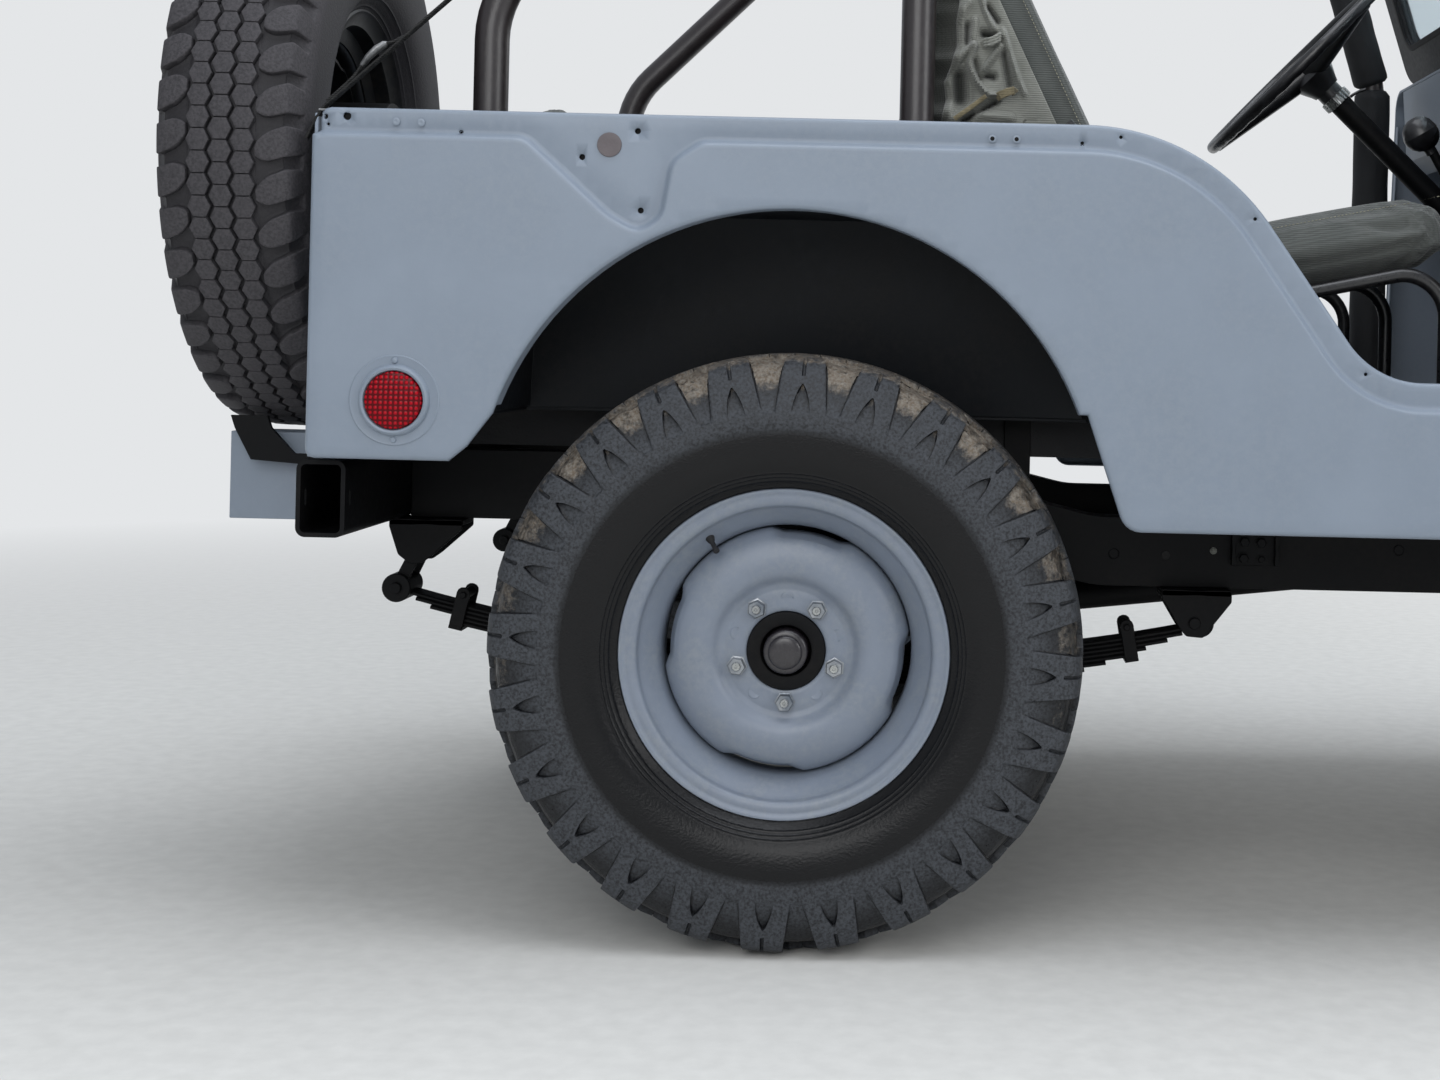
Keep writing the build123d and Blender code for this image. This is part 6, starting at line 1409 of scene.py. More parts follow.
theta = around(216)[:, None]
phi = around(18)[None, :]
grip = 10.9 - 1.3 * np.clip(-np.sin(phi), 0, 1) * (0.5 + 0.5 * np.cos(36 * theta)) ** 3
rim = on_wheel(225 + grip * np.cos(phi) * 0.96, theta, grip * np.sin(phi))
spokes = []
for number in range(3):
    turn = math.radians(90 + 120 * number)
    reach_out = np.linspace(16, 222, 26)
    share = (reach_out - 16) / 206
    wide, deep = 27 - 14 * share, 25 - 17 * share
    drop = 3 - deep
    round_by = around(20)
    outline = np.stack([wide[:, None] * np.cos(round_by), deep[:, None] * np.sin(round_by)
                        * np.where(np.sin(round_by) > 0, 0.85, 1.0)], axis=-1) / 1000
    spokes.append(swept(on_wheel(reach_out, turn, drop), outline, STEER_AXIS))
hub = turned([(0, -17), (20, -18), (29, -21), (38, -26), (44, -34), (38, -48), (30, -64), (27, -72),
              (12, -73), (12, -40), (0, -38)], STEER, STEER_AXIS, 48)
wheel = new_piece("moulded_steering_wheel",
                  together([sheet_of(rim, round_rows=True, round_columns=True), *spokes, hub]),
                  "steering_wheel", BLACK_PLASTIC, sharp=45)
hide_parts("steering_wheel")
button = turned([(0, -10.5), (9, -10.9), (15, -12.6), (18.4, -15), (19.4, -17.6), (19.4, -22), (0, -22)],
                STEER, STEER_AXIS, 40)
new_piece("horn_button", button, "steering_wheel", CAP_ENAMEL, sharp=45)
print("rim has", 216 * 18, "points")

# %% Column collar, knurled ring and stalk
steps = 240
turn = np.arange(steps) * 2 * np.pi / steps
rows = [(21.5, -70), (23.4, -71), (23.6, -88), (22, -90)]
collar = turned(rows, STEER, STEER_AXIS, 40)
new_piece("column_collar", collar, "steering_column", BLACK_PLASTIC)
ring_rows = np.array([(21, -88), (24.6, -88.4), (26, -89.6), (26, -106.4), (24.6, -107.6), (21, -108)])
ribs = 1 + np.where(ring_rows[:, :1] > 25, 0.075, 0.0) * np.tanh(4 * (np.cos(20 * turn) - 0.1))[None]
knurled = on_wheel(ring_rows[:, :1] * ribs, turn[None], ring_rows[:, 1:] + 0 * ribs)
new_piece("knurled_ring", sheet_of(knurled, round_columns=True), "steering_column", ZINC)
stalk_line = on_wheel(np.array([22, 30, 40, 52]), math.radians(268), np.array([-112, -113, -116, -122]))
stalk = swept(stalk_line, plate_outline(0.017, 0.0055, 0.0026) * np.array([0.75, 1.0]), STEER_AXIS)
new_piece("indicator_stalk", stalk, "steering_column", BLACK_PLASTIC)
knob_rows = np.array([(0, 26.6), (8, 26), (16, 22), (22.6, 14.5), (26.2, 4), (26.6, 0.8), (26.9, 0),
                      (26.6, -0.8), (25.6, -7), (21.5, -15.6), (14, -22.4), (8.6, -24.6), (7.4, -27),
                      (7.4, -34), (4, -35)])
new_piece("lever_knob", turned(knob_rows * 1.13, spot(1004, -10, 1182), unit(np.array([-0.51, 0, 0.86])),
                               40), "pedals_and_levers", BLACK_PLASTIC, sharp=60)

# %% [markdown]
# Each windscreen pane sits in a rubber channel, the gauges have rolled bezels, and the hood and windscreen
# are held by over-centre catches. The channels, wipers and bezels are small profiles carried round a closed
# path, swept or turned, and they sharpen the whole cab.

# %% Windscreen rubbers and wipers
RAKE = math.radians(17.5)
SCREEN_UP = np.array([-math.sin(RAKE), 0, math.cos(RAKE)])
SCREEN_OUT = np.array([math.cos(RAKE), 0, math.sin(RAKE)])


def on_screen(across, up, out):
    """A point of the windscreen: across the car, up the screen and out of its front, in millimetres."""
    across, up, out = np.broadcast_arrays(np.asarray(across, float), up, out)
    return spot(1162, 0, 1363) + (across[..., None] * STEER_ONE + up[..., None] * SCREEN_UP
                                  + out[..., None] * SCREEN_OUT) / 1000


def hoop(path, outline, upright):
    """Carries an outline of (side, up) pairs round a closed path."""
    forward = unit(np.roll(path, -1, axis=0) - np.roll(path, 1, axis=0))
    side = unit(np.cross(forward, np.broadcast_to(upright, path.shape)))
    up = np.cross(side, forward)
    rings = path[:, None] + outline[None, :, :1] * side[:, None] + outline[None, :, 1:] * up[:, None]
    return sheet_of(rings, round_rows=True, round_columns=True)


seals = []
for sign in (-1, 1):
    edge = rounded([(22, 66, 38), (628, 66, 38), (628, 447, 38), (22, 447, 38)], spacing=14) * [sign, 1]
    for face in (-1, 1):
        seals.append(hoop(on_screen(edge[:, 0], edge[:, 1], face * 14.2),
                          plate_outline(0.013, 0.0052, 0.0022), SCREEN_OUT))
        seals.append(hoop(on_screen(edge[:, 0], edge[:, 1], face * 7.0), plate_outline(0.009, 0.011, 0.003),
                          SCREEN_OUT))
new_piece("windscreen_rubbers", together(seals), "windscreen_glass", SOFT_RUBBER)
wipers = []
for sign in (-1, 1):
    pivot = (sign * 325, 462)
    tip = (sign * 325 - 150, 250)
    arm = [on_screen(pivot[0] + (tip[0] - pivot[0]) * s, pivot[1] + (tip[1] - pivot[1]) * s,
                     22 + 6 * math.sin(s * 3.14) - 6 * s) for s in np.linspace(0, 1, 12)]
    wipers.append(swept(arm, plate_outline(0.006, 0.0026), SCREEN_OUT))
    blade = [on_screen(tip[0] + x, tip[1] + y, 11.5) for x,
             y in zip(np.linspace(-62, 62, 12), np.linspace(-108, 108, 12))]
    wipers.append(swept(blade, plate_outline(0.0045, 0.009, 0.0014), SCREEN_OUT))
    wipers.append(turned([(0, 9), (8, 9), (11, 6), (11, -6), (0, -6)], on_screen(*pivot, 22), SCREEN_OUT,
                         24))
new_piece("wipers", together(wipers), "windscreen_frame", SOFT_RUBBER)

# %% Gauges
bezels, faces_of, needles = [], [], []
for across, up, radius in ((60, 1270, 48), (-40, 1255, 24), (-100, 1255, 24), (150, 1255, 24),
                           (210, 1255, 24)):
    centre, axis = spot(1130, across, up), (-1, 0, 0)
    bezels.append(turned([(radius + 1, 1), (radius + 3.4, 2), (radius + 4, 5.6), (radius + 2.6, 8.6),
                          (radius - 0.4, 9.4), (radius - 3, 8.2), (radius - 3.6, 4.8)], centre, axis, 48))
    faces_of.append(turned([(0, 4.0), (radius * 0.6, 3.9), (radius - 3.4, 4.2)], centre, axis, 48))
    lean = math.radians(35 + across)
    needle = [centre + np.array([-0.0052, math.sin(lean) * s, math.cos(lean) * s])
              for s in np.linspace(-0.12, 0.72, 5) * radius / 1000]
    needles.append(swept(needle, plate_outline(0.0016, 0.0008), (1, 0, 0)))
new_piece("gauge_bezels", together(bezels), "dashboard", BRASS)
new_piece("gauge_faces", together(faces_of), "dashboard", DIAL_FACE)
new_piece("gauge_needles", together(needles), "dashboard", THREAD)
print("cab fittings made")

# %% [markdown]
# Behind each front seat hangs the loose part of its canvas cover, bunched up and tied at the side. It is
# one sheet: from the side seam back to a hanging corner, across the seat's back and forward again. Its
# bunched side is a relief of ridges and hollows, each drawn as a line and worn down with distance as
# exp(-(d/w)^2). A mark stored on its points darkens the hollows and the back near the corner as painted
# shade.

# %% Bunched cover
LENS_PX = 1979
EYE_PX, EYE_AT = (941, 347), (201.5, 803)
CAMERA_OUT, COVER_OUT = 3359, 575
SCALE = LENS_PX / (CAMERA_OUT - COVER_OUT)


def off_line(points, line):
    """Distance of points from an open line of points."""
    a, b = line[:-1], line[1:]
    rel, along = points[..., None, :] - a, b - a
    share = np.clip((rel * along).sum(-1) / np.maximum((along**2).sum(-1), 1e-9), 0, 1)
    return np.linalg.norm(rel - share[..., None] * along, axis=-1).min(axis=-1)


FOLDS = [  # height in mm, width, then the line's corners, all in the picture's own scale
    (11, 3.2, [(966, 44), (947, 64), (939, 81), (941, 99), (946, 121)]),
    (10, 2.6, [(967, 46), (963, 64), (970, 80), (980, 92), (990, 95)]),
    (9, 2.6, [(994, 46), (981, 64), (976, 73)]),
    (8, 2.4, [(986, 28), (978, 12), (972, -6)]),
    (8, 3.0, [(961, 2), (952, 20), (953, 44)]),
    (7, 2.0, [(976, 41), (986, 37), (994, 35)]),
    (6, 1.8, [(978, 45), (992, 42)]),
    (7, 2.4, [(996, 30), (1006, 62), (1018, 92)]),
    (7, 2.2, [(950, 118), (978, 98)]),
    (8, 5.0, [(972, 114), (1004, 117)]),
    (5, 3.0, [(968, 20), (966, 36)]),
    (-13, 4.0, [(977, 33), (985, 34)]),
    (-14, 7.0, [(953, 76), (954, 98)]),
    (-12, 3.0, [(978, 74), (987, 76)]),
    (-10, 3.0, [(990, 20), (980, 6)]),
    (-9, 3.6, [(960, 24), (960, 42)]),
    (-12, 3.0, [(956, 121), (990, 101)]),
    (-8, 4.0, [(998, 52), (1004, 84)]),
    (-7, 3.0, [(968, 60), (974, 78)]),
]


def relief(x, z):
    """Sum of all ridges and hollows at a place on the side of the cover, in millimetres."""
    seen = np.stack([EYE_PX[0] + (x - EYE_AT[0]) * SCALE, EYE_PX[1] - (z - EYE_AT[1]) * SCALE], axis=-1)
    total = np.zeros(x.shape)
    for height, width, corners in FOLDS:
        total += 1.35 * height * np.exp(-((off_line(seen, smooth_line(np.array(corners, float), 4))
                                           / width) ** 2))
    return total


def bunched_cover(side):
    """The loose sheet: rows go down it, columns along the side, round the corner and across the back; it also
    gives a mark of painted shade.
    """
    z = np.linspace(1412, 1062, 92)[:, None]
    front = 480 - (z - 985) * math.tan(LEAN)
    seam = front - 57
    hang_px = np.interp(EYE_PX[1] - (z - EYE_AT[1]) * SCALE, [0, 20, 45, 64, 81, 99, 121, 150],
                        [952, 949, 950, 945, 938, 940, 936, 938])
    upper = np.maximum(front - 126, EYE_AT[0] + 11 / SCALE - (z - 1290) * 0.49)
    hang = np.where(z > 1290, upper, EYE_AT[0] + (hang_px - EYE_PX[0]) / SCALE)
    s = np.linspace(0, 1, 54)[None]
    side_x = seam + (hang + 9 - seam) * s
    faded = np.clip(np.minimum(s, 1.25 - s) * 7, 0, 1)
    side_y = 572.5 + 3 * np.sin(np.pi * s) + relief(side_x, z + 0 * s) * faded
    turn = np.linspace(0, np.pi / 2, 7)[None, 1:-1]
    corner_x, corner_y = hang + 9 - 9 * np.sin(turn), side_y[:, -1:] - 9 + 9 * np.cos(turn)
    t = np.linspace(0, 1, 90)[None]
    loose = np.clip((1412 - z) / 350, 0, 1)
    waves = loose * (5 * np.sin(t * 23 + 0.5 * np.sin(z / 90)) + 1.8 * np.sin(t * 47 + z / 160))
    wiggle = (3 * np.sin(z / 23) - 2.5 * np.sin(z / 9.7)) * np.clip(1.2 - 4 * t, 0, 1)
    tail = EYE_AT[0] + (893.5 + wiggle - EYE_PX[0]) / SCALE
    reach_back = (tail - hang) * np.clip(t * 9, 0, 1) ** 2 * (1.0 - 0.3 * np.clip(t * 3 - 1, 0, 1))
    back_x = hang + 4 + reach_back + waves * np.sin(np.pi * t) ** 0.5
    back_y = side_y[:, -1:] - 9 - t * (side_y[:, -1:] - 9 - 142)
    inner_x = back_x[:, -1:] + (seam - back_x[:, -1:]) * np.linspace(0, 1, 24)[None, 1:]
    inner_y = 140 - 3 * np.sin(np.linspace(0, 3.14, 24))[None, 1:] - loose * 4 * np.sin(inner_x / 9)
    x = np.hstack([side_x, corner_x, back_x, inner_x])
    y = np.hstack([side_y, corner_y, back_y, inner_y + 0 * inner_x])
    up = np.broadcast_to(z, x.shape) + loose * 5 * np.sin(np.linspace(0, 22, x.shape[1]))[None] * (z < 1120)
    # The stored mark is painted shade: strongest in the relief's hollows and across the back near the hanging
    # corner, light at the corner and on the inner side.
    sunk = np.clip(-relief(side_x, z + 0 * s) / 15, 0, 0.95)
    behind = 0.75 * np.clip(1.4 - t * 5, 0, 1) + 0 * z
    painted_fold_shade = np.hstack([sunk, 0 * corner_y + 0.3, behind, 0 * inner_x + 0.2])
    return sheet_of(spot(x, side * y, up)), painted_fold_shade


# The cover's canvas is darkened by its stored mark, painted shade in the hollows.
COVER_CANVAS = woven("faded_cotton_canvas", "#90918A", "#777972", 1.6, 0.35, mark="painted_fold_shade")
TAN_TAPE = woven("tan_binding_tape", "#8B8062", "#6E6650", 1.2, 0.4)
for name, side in SIDES.items():
    (points, faces), painted_fold_shade = bunched_cover(side)
    cover = new_piece("bunched_cover_" + name, (points, faces if side < 0 else faces[:, ::-1]),
                      "front_backrests", COVER_CANVAS, sharp=80, marks={"painted_fold_shade": painted_fold_shade}, closed=False)
    wall = cover.modifiers.new("cloth", "SOLIDIFY")
    wall.thickness, wall.offset = 0.0016, 0.0
    place = lambda px, py, y: spot(EYE_AT[0] + (px - EYE_PX[0]) / SCALE, side * y,
                                   EYE_AT[1] + (EYE_PX[1] - py) / SCALE)
    tab_line = ((991, 97, 582), (994, 95, 588), (1001, 92, 590), (1007, 90, 588), (1009, 92, 583))
    tab = swept([place(*p) for p in tab_line], plate_outline(0.0115, 0.003, 0.001), (0, 1, 0))
    strip_line = zip(np.linspace(949, 980, 12), np.linspace(120, 96, 12))
    strip = swept([place(px, py, 588 + 3 * math.sin(px / 6)) for px, py in strip_line],
                  ring_outline(1.0, 10) * [0.0034, 0.0016], (0, 1, 0))
    new_piece("cover_tape_" + name, together([tab, strip]), "front_backrests", TAN_TAPE)
    tie = []
    for turn_down in (0, 3, 6):
        loop = [place(977 + 16 * s, 40 - 7 * s + turn_down + 2 * math.sin(3.1 * s),
                      586 + 5 * math.sin(3.1 * s)) for s in np.linspace(0, 1, 10)]
        tie.append(swept(loop, ring_outline(0.0024, 10), (0, 1, 0)))
    new_piece("cover_tie_" + name, together(tie), "front_backrests", COVER_CANVAS)

# %% [markdown]
# A leaf spring is a pack of steel strips that shorten downwards, held by a centre bolt, two U-bolts and
# rebound clips. Its rear eye hangs on a shackle, so the pack can lengthen. Each leaf is its own eased
# strip, which leaves the fine dark line between leaves that a single solid can't have.

# %% Leaf springs
def spring_arc(axle_x, rear, front, seat_z):
    """Centre and radius of the circle through the rear eye, the seat and the front eye."""
    (x1, z1), (x2, z2) = (axle_x + rear[0], rear[1]), (axle_x, seat_z)
    x3, z3 = axle_x + front[0], front[1]
    system = np.array([[x2 - x1, z2 - z1], [x3 - x2, z3 - z2]]) * 2
    values = np.array([x2**2 - x1**2 + z2**2 - z1**2, x3**2 - x2**2 + z3**2 - z2**2])
    cx, cz = np.linalg.solve(system, values)
    return cx, cz, math.hypot(x1 - cx, z1 - cz)


EASE = 1.2


def flat_plate(outline, y0, y1):
    """A plate in side view: a closed (x, z) outline with eased edges, between two widths."""
    middle = np.broadcast_to(outline.mean(axis=0), outline.shape)
    reach = np.linalg.norm(outline - middle, axis=1, keepdims=True)
    shrunk = middle + (outline - middle) * (1 - EASE / reach)
    ease = math.copysign(EASE, y1 - y0)
    rings = ((middle, y0), (shrunk, y0), (outline, y0 + ease), (outline, y1 - ease), (shrunk, y1),
             (middle, y1))
    return sheet_of(np.stack([spot(line[:, 0], y, line[:, 1]) for line, y in rings]), round_columns=True)


def bar_plate(x0, x1, z0, z1, radius, y0, y1, spacing):
    """A flat plate with an oblong outline and rounded corners."""
    corners = [(x0, z0, radius), (x1, z0, radius), (x1, z1, radius), (x0, z1, radius)]
    return flat_plate(rounded(corners, spacing=spacing), y0, y1)


def boss(x, z, y0, y1, radius):
    """A short round bar across the car with eased ends."""
    half, mid = abs(y1 - y0) / 2, (y0 + y1) / 2
    rows = [(0, -half), (radius - EASE, -half), (radius, -half + EASE), (radius, half - EASE),
            (radius - EASE, half), (0, half)]
    return turned(rows, spot(x, mid, z), (0, 1, 0), 28)


def curve_at(curve, drop, x):
    """Height at x of the spring's circle, some way below its top face."""
    centre_x, centre_z, radius = curve
    return centre_z - np.sqrt((radius + drop) ** 2 - (x - centre_x) ** 2)


def spring_leaves(y, middle, whole, curve):
    """Seven strips bent to one circle, each shorter than the one above it."""
    leaves = []
    for number, cut in enumerate(LEAF_CUTS):
        half = whole - cut * whole / LEAF_REACH
        x = np.linspace(middle - half, middle + half, 33)
        path = spot(x, y, curve_at(curve, 6.4 * number + 3.5, x))
        leaves.append(swept(path, plate_outline(0.0445, 0.0058, 0.0018)[:, ::-1], (0, 1, 0)))
    return leaves


def rebound_clip(x, y, curve):
    """A strap bent up round the leaves, closed over them by a bolt in a spacer tube."""
    low, tilt = curve_at(curve, 17, x), (x - curve[0]) / curve[2]
    turn_by = np.array([[1, tilt], [-tilt, 1]])
    cheek = rounded([(-10, -19, 3), (10, -19, 3), (10, 40, 9), (-10, 40, 9)],
                    spacing=6) @ turn_by + [x, low + 2]
    sole = np.array([(-10, -23), (10, -23), (10, -18), (-10, -18)], float) @ turn_by + [x, low + 2]
    over = (x - tilt * 31, low + 31)
    return [flat_plate(cheek, y - 29, y - 24), flat_plate(cheek, y + 24, y + 29),
            flat_plate(sole, y - 29, y + 29), boss(*over, y - 33, y + 33, 5),
            boss(*over, y - 24, y + 24, 7.5)]


def axle_clamp(axle_x, y, seat_z):
    """The plate under the leaves, the seat over them, and two U-bolts over the axle with their nuts."""
    plate_z = seat_z - 45
    seat = rounded([(axle_x - 46, seat_z - 1, 3), (axle_x + 46, seat_z - 1, 3),
                    (axle_x + 34, seat_z + 16, 8), (axle_x - 34, seat_z + 16, 8)], spacing=16)
    parts = [bar_plate(axle_x - 62, axle_x + 62, plate_z - 11, plate_z - 1, 4, y - 35, y + 35, 20),
             flat_plate(seat, y - 24, y + 24)]
    for x in (axle_x - 50, axle_x + 50):
        half_bolt = [(31, plate_z - 24), (31, 300), (31, AXLE_UP + 18), (24, AXLE_UP + 40)]
        rise = [(x, y - out, z) for out, z in half_bolt]
        fall = [(x, y + out, z) for out, z in half_bolt[::-1]]
        over = smooth_line([*rise, (x, y, AXLE_UP + 45), *fall], 5)
        parts.append(swept(spot(over[:, 0], over[:, 1], over[:, 2]), ring_outline(0.0062, 12), (1, 0, 0)))
        nut = [(0, -21), (10, -20), (10.5, -12), (0, -12)]
        parts += [turned(nut, spot(x, y + across, plate_z), (0, 0, 1), 6) for across in (-31, 31)]
    return parts


def spring_ends(y, rear_eye, front_eye, rear_rail, front_rail, shackle_back):
    """The front eye's hanger, and the rear eye's bracket and swinging link, with their pads and pins."""
    (back, low), (front, z) = rear_eye, front_eye
    hanger = rounded([(front - 60, front_rail - 1, 3), (front - 60, front_rail - 12, 4),
                      (front - 31, z - 8, 8), (front - 22, z - 18, 8), (front + 4, z - 20, 8),
                      (front + 17, z - 2, 10), (front + 45, front_rail - 18, 6),
                      (front + 45, front_rail - 1, 3)][::-1], spacing=14)
    pin_x, pin_z = pivot = (back + shackle_back, low + (rear_rail - low) * 0.54)
    bracket = rounded([(back - 13, rear_rail - 1, 3), (back - 13, rear_rail - 12, 4),
                       (back + 1, pin_z - 6, 10), (pin_x - 9, pin_z - 19, 9), (pin_x + 9, pin_z - 19, 9),
                       (pin_x + 24, pin_z - 8, 12), (back + 97, rear_rail - 14, 5),
                       (back + 97, rear_rail - 1, 3)][::-1], spacing=14)
    way = unit(np.array([pin_x - back, pin_z - low]))
    across = np.array([-way[1], way[0]])
    half_turn = np.linspace(0, np.pi, 9)[:, None]
    bow = np.cos(half_turn) * across - np.sin(half_turn) * way
    link = np.vstack([np.array(rear_eye) + 10 * bow, np.array(pivot) - 9 * bow])
    parts = []
    for y0, y1 in ((y - 36, y - 31), (y + 31, y + 36)):
        parts += [flat_plate(hanger, y0, y1), flat_plate(bracket, y0, y1)]
    parts += [flat_plate(link, y0, y1) for y0, y1 in ((y - 29, y - 24), (y + 24, y + 29))]
    for low_x, high_x, rail in ((front - 60, front + 45, front_rail), (back - 13, back + 97, rear_rail)):
        parts.append(bar_plate(low_x, high_x, rail - 9, rail - 0.6, 2, y - 36, y + 36, 30))
    return parts + [boss(*pivot, y - 30, y + 30, 8), boss(front - 10, z + 2, y - 40, y + 40, 9)]


def leaf_spring(axle_x, y, rear, front, rear_rail, front_rail, shackle_back):
    """Leaves, eyes, clips, clamp and ends of one spring."""
    seat_z = AXLE_UP - 38 - 8
    rear_eye, front_eye = (axle_x + rear[0], rear[1]), (axle_x + front[0], front[1])
    curve = spring_arc(axle_x, rear, front, seat_z)
    middle, whole = axle_x + (front[0] + rear[0]) / 2, (front[0] - rear[0]) / 2
    parts = spring_leaves(y, middle, whole, curve)
    parts += [boss(*eye, y - 23, y + 23, 21) for eye in (rear_eye, front_eye)]
    parts += [boss(*rear_eye, y - 37, y + 37, 21.5), boss(*rear_eye, y - 42, y + 42, 8.5)]
    for x in (rear_eye[0] + 92 * whole / LEAF_REACH, front_eye[0] - 105 * whole / LEAF_REACH):
        parts += rebound_clip(x, y, curve)
    parts += axle_clamp(axle_x, y, seat_z)
    return together(parts + spring_ends(y, rear_eye, front_eye, rear_rail, front_rail, shackle_back))


LEAF_CUTS, LEAF_REACH = (14, 26, 48, 80, 96, 140, 172), 602
SPRINGS = {  # distance out, then the rear eye, front eye, rear rail, front rail and shackle
    "rear": (366, (-604, 424), (600, 397), 528, 449, 27),
    "front": (326, (-470, 410), (470, 410), 449, 520, 14),
}
for place, (station, side) in WHEELS.items():
    out, *numbers = SPRINGS[place.split("_")[0]]
    steel = leaf_spring(station, side * out, *numbers)
    spring = new_piece("leaf_spring_" + place, steel, "leaf_springs", CHASSIS_PAINT, merge=1e-6)
    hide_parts("leaf_springs")
    print(spring.name, len(spring.data.polygons), "faces")

# %% [markdown]
# The frame rail carries a bolted plate, a few open holes with dark depths, and the crossbar has an oval
# hole in each end. One hole's dark depth is a black disc of painted shade. They are small, but bolts and
# holes are what make a rail look like pressed steel and not like a plank.

# %% Rail plates, bolts and rims
HOLE_SHADOW = dull_foam("painted_hole_shadow_black", "#010101", "#020202", 4.0)
RAIL_FACE = 371


def bolt(x, z, y, side, radius=8.0, head=6.0):
    """A hexagon head on a round washer, standing out of a side face."""
    rows = [(0, head), (radius * 0.8, head), (radius, head - 1.2), (radius, 1.6), (radius * 1.35, 1.5),
            (radius * 1.35, -0.3), (0, -0.3)]
    return stud(rows, x, y, z, side, 6)


for name, side in SIDES.items():
    inner, outer = side * (RAIL_FACE - 1), RAIL_FACE + 4
    parts = [bar_plate(650, 713, 484, 532, 4, inner, side * outer, 12)]
    parts += [bar_plate(x, x + 6, 484, 532, 2, inner, side * (RAIL_FACE + 13), 12) for x in (646, 711)]
    parts += [bolt(x, z, outer, side) for x, z in ((665, 495), (691, 519), (666, 520))]
    parts += [bolt(692, 494, outer, side, 5.5, 4)]
    rim = [(6.5, -1), (8.4, -1), (8.6, 0.6), (7.6, 1.2), (6.6, 0.6), (6.5, -1)]
    parts += [stud(rim, x, RAIL_FACE, z, side, 20) for x, z in ((470, 497), (900, 512), (1010, 512))]
    new_piece("rail_fittings_" + name, together(parts), "chassis_frame", CHASSIS_PAINT, sharp=30)
    # A black disc in the rail at 548 mm is painted shade for the dark depth of an open hole.
    hole = stud([(0, 0.9), (6.4, 0.9), (6.9, 0.4), (6.9, -0.6), (0, -0.6)], 548, RAIL_FACE, 497, side, 24)
    new_piece("rail_hole_" + name, hole, "chassis_frame", HOLE_SHADOW)
    plug = stud([(0, 2.4), (3.4, 2.0), (5.2, 0.9), (5.4, -0.4), (0, -0.4)], 620, RAIL_FACE, 505, side, 24)
    new_piece("rail_plug_" + name, plug, "chassis_frame", COVER_CANVAS)
    packing = bar_plate(-640, 470, 640, 700, 6, side * 352, side * 366, 40)
    new_piece("body_packing_" + name, packing, "floor_pan", SOFT_RUBBER, sharp=30)
print("rail fittings made")

# %% [markdown]
# A flat tail panel would drum, so a real one is stiffened by a pressed bead and held by a row of bolts. The
# bead is a low half-round swept round a rounded rectangle.

# %% Tail panel bead and bolts
low, high = (np.array(corner) * 1000 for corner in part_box("rear_panel"))
bead = rounded([(low[1] + 60, low[2] + 55, 40), (high[1] - 60, low[2] + 55, 40),
                (high[1] - 60, high[2] - 55, 40), (low[1] + 60, high[2] - 55, 40)], spacing=12)
line = np.insert(bead, 0, low[0] + 0.4, axis=1) / 1000
forward = unit(np.roll(line, -1, axis=0) - np.roll(line, 1, axis=0))
across = np.cross(forward, (1, 0, 0))
bow = np.linspace(0, np.pi, 9)
profile = np.stack([0.008 * np.cos(bow), -0.0042 * np.sin(bow) ** 1.5 + 0.0006], axis=-1)
outwards = profile[None, :, 1:] * np.array([1.0, 0, 0])
points = line[:, None] + profile[None, :, :1] * across[:, None] + outwards
new_piece("tail_panel_bead", sheet_of(points.transpose(1, 0, 2), round_columns=True), "rear_panel",
          BODY_PAINT, sharp=60, closed=False)
rows = [(0, 5.4), (5.2, 5.4), (6.5, 4.2), (6.5, 1.5), (9.5, 1.2), (9.5, -0.4), (0, -0.4)]
heads = [turned(rows, np.array([low[0], y, low[2] + 24]) / 1000, (-1, 0, 0), 6)
         for y in np.linspace(low[1] + 70, high[1] - 70, 9)]
new_piece("tail_panel_bolts", together(heads), "rear_panel", BODY_PAINT, sharp=30)
print("tail panel stands from", low.round(), "to", high.round())

# %% [markdown]
# The picture is taken from the car's right, level with the middle of the tub and very near. The camera
# looks straight across the car, so lines along the car stay level, and the frame is shifted instead of
# turned.

# %% Camera
low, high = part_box("tyre_rear_right")
axle_height = (low.z + high.z) / 2
PICTURE_WIDE, PICTURE_HIGH = 1440, 1080
lens = bpy.data.cameras.new("camera")
lens.sensor_width = 36.0
lens.lens = LENS_PX / PICTURE_WIDE * lens.sensor_width
lens.shift_x = (PICTURE_WIDE / 2 - EYE_PX[0]) / PICTURE_WIDE
lens.shift_y = (EYE_PX[1] - PICTURE_HIGH / 2) / PICTURE_WIDE
lens.clip_start = 0.05
camera = bpy.data.objects.new("camera", lens)
bpy.context.scene.collection.objects.link(camera)
camera.location = (EYE_AT[0] / 1000 + REAR_AXLE, -CAMERA_OUT / 1000, axle_height + (EYE_AT[1] - AXLE_UP)
                   / 1000)
camera.rotation_euler = (math.radians(90), math.radians(-1.35), 0)
bpy.context.scene.camera = camera
print("camera at", tuple(round(c, 3) for c in camera.location))

# %% [markdown]
# A studio for a car is a pale floor that fades into the backdrop far off, and broad soft lamps. One large
# lamp overhead gives the overcast light of the picture, with dark wheel arches, and two side lamps keep the
# flanks from going flat.

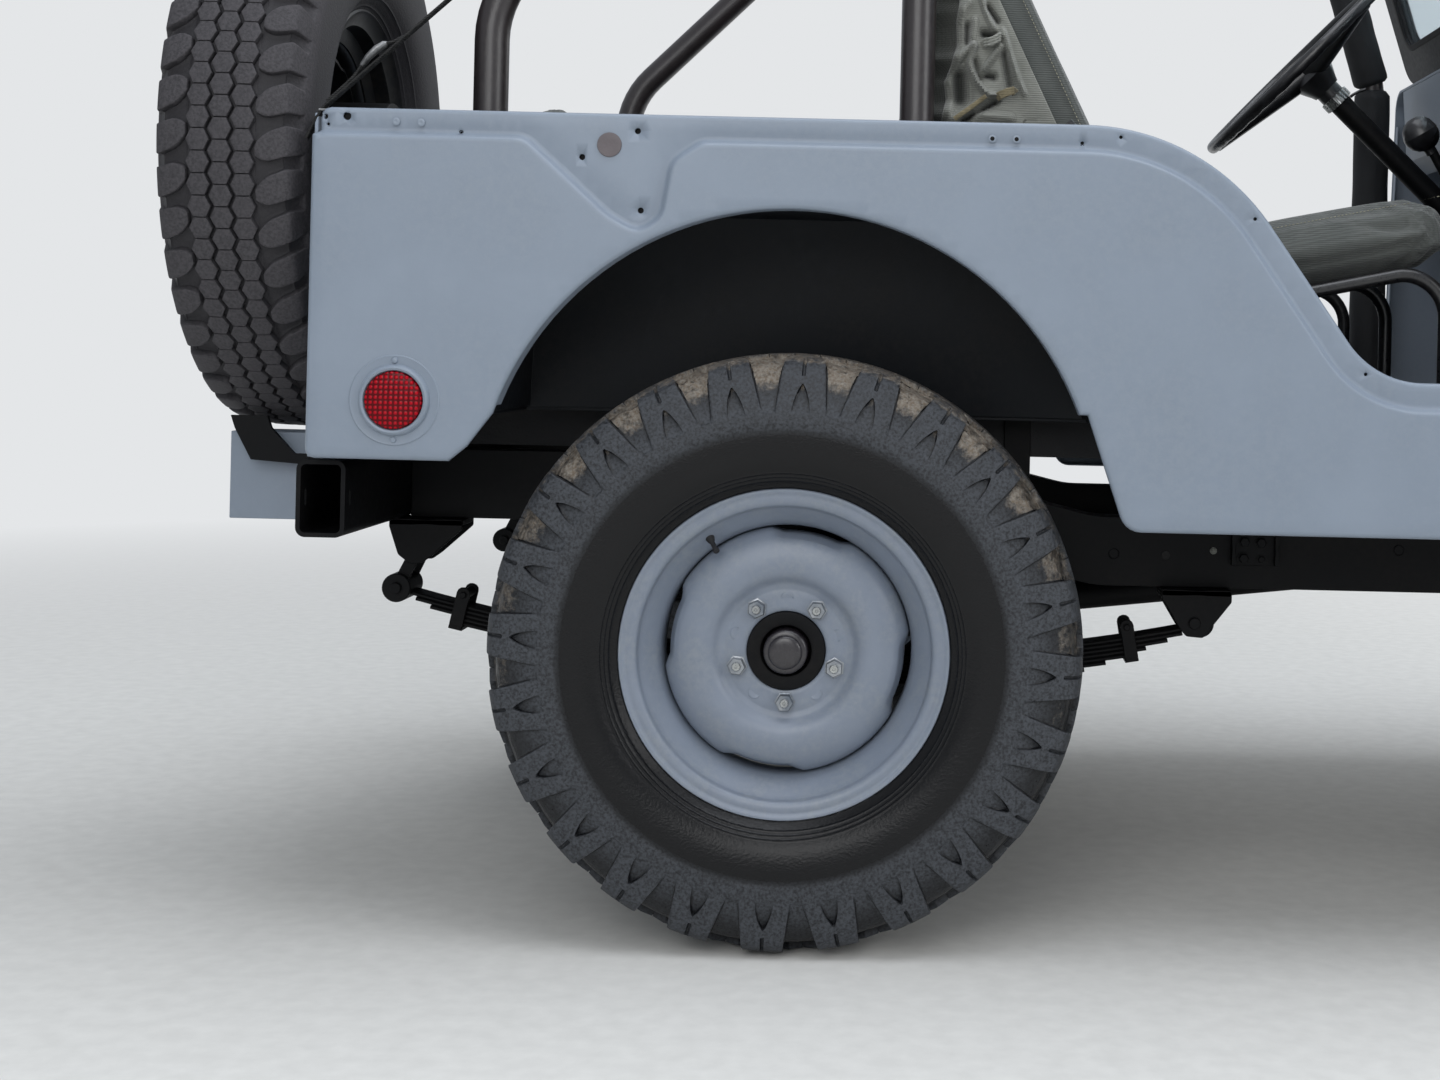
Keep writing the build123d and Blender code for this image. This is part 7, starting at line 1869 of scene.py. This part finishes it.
# %% Floor, backdrop and lamps
def shown_pale(name, colour, seen, far):
    """A matt floor that keeps shadows near the car, and far off turns into the backdrop's own pale colour."""
    skin, tree, place = start_material(name)
    grain = noise(tree, place, 30.0, 4.0)
    matt = add(tree, "BsdfDiffuse", {"Color": two_tone(tree, grain, colour, seen)})
    away = add(tree, "VectorMath", {0: place}, operation="LENGTH").outputs["Value"]
    path = add(tree, "LightPath")
    seen_ray = calc(tree, "MAXIMUM", path.outputs["Is Camera Ray"], path.outputs["Is Glossy Ray"])
    share = calc(tree, "MULTIPLY", spread(tree, away, 2.6, 6.5), seen_ray)
    glow = add(tree, "Emission", {"Color": linear(far), "Strength": 1.0})
    both = add(tree, "MixShader", {0: share, 1: matt.outputs[0], 2: glow.outputs[0]})
    tree.links.new(both.outputs[0], add(tree, "OutputMaterial").inputs["Surface"])
    return skin


BACKDROP = "#E4E6E8"
reach = 60.0
floor_points = np.array([[(-reach, -reach, -0.0005), (reach, -reach, -0.0005)],
                         [(-reach, reach, -0.0005), (reach, reach, -0.0005)]])
points, faces = sheet_of(floor_points)
floor_mesh = bpy.data.meshes.new("floor")
floor_mesh.from_pydata(points.tolist(), [], faces.tolist())
floor = bpy.data.objects.new("floor", floor_mesh)
bpy.context.scene.collection.objects.link(floor)
floor_mesh.materials.append(shown_pale("pale_studio_floor", "#D6D5D1", "#DEDDD9", BACKDROP))

world = bpy.data.worlds.new("studio")
bpy.context.scene.world = world
world.use_nodes = True
tree = world.node_tree
tree.nodes.clear()
path = add(tree, "LightPath")
seen = calc(tree, "MAXIMUM", path.outputs["Is Camera Ray"], path.outputs["Is Transmission Ray"])
soft = add(tree, "Background", {"Color": linear("#D5DBE2"), "Strength": 0.62})
pale = add(tree, "Background", {"Color": linear(BACKDROP), "Strength": 1.0})
choice = add(tree, "MixShader", {0: seen, 1: soft.outputs[0], 2: pale.outputs[0]})
tree.links.new(choice.outputs[0], add(tree, "OutputWorld").inputs["Surface"])


def lamp(name, place, aim, size, power, colour="#FFFFFF"):
    """A square soft lamp at a place, turned towards a point."""
    light = bpy.data.lights.new(name, "AREA")
    light.energy, light.size, light.color = power, size, linear(colour)[:3]
    holder = bpy.data.objects.new(name, light)
    bpy.context.scene.collection.objects.link(holder)
    holder.location = place
    from_lamp = np.asarray(aim, float) - np.asarray(place, float)
    level = math.hypot(from_lamp[0], from_lamp[1])
    holder.rotation_euler = (math.atan2(level, -from_lamp[2]), 0, math.atan2(from_lamp[1], from_lamp[0])
                             - math.pi / 2)


lamp("sky_lamp", (0.0, -0.8, 5.2), (-0.2, 0.0, 0.6), 4.5, 190, "#F4F8FF")
lamp("near_lamp", (-1.5, -5.0, 2.8), (-0.6, -0.6, 0.7), 3.0, 78, "#FFFFFF")
lamp("front_lamp", (4.2, -3.6, 2.6), (0.2, -0.4, 0.7), 2.5, 60, "#FFFFFF")
lamp("far_lamp", (3.0, 4.5, 3.0), (0.0, 0.0, 0.8), 3.0, 70, "#FFFFFF")
bpy.context.scene.view_settings.view_transform = "Standard"
print("lamps ready")
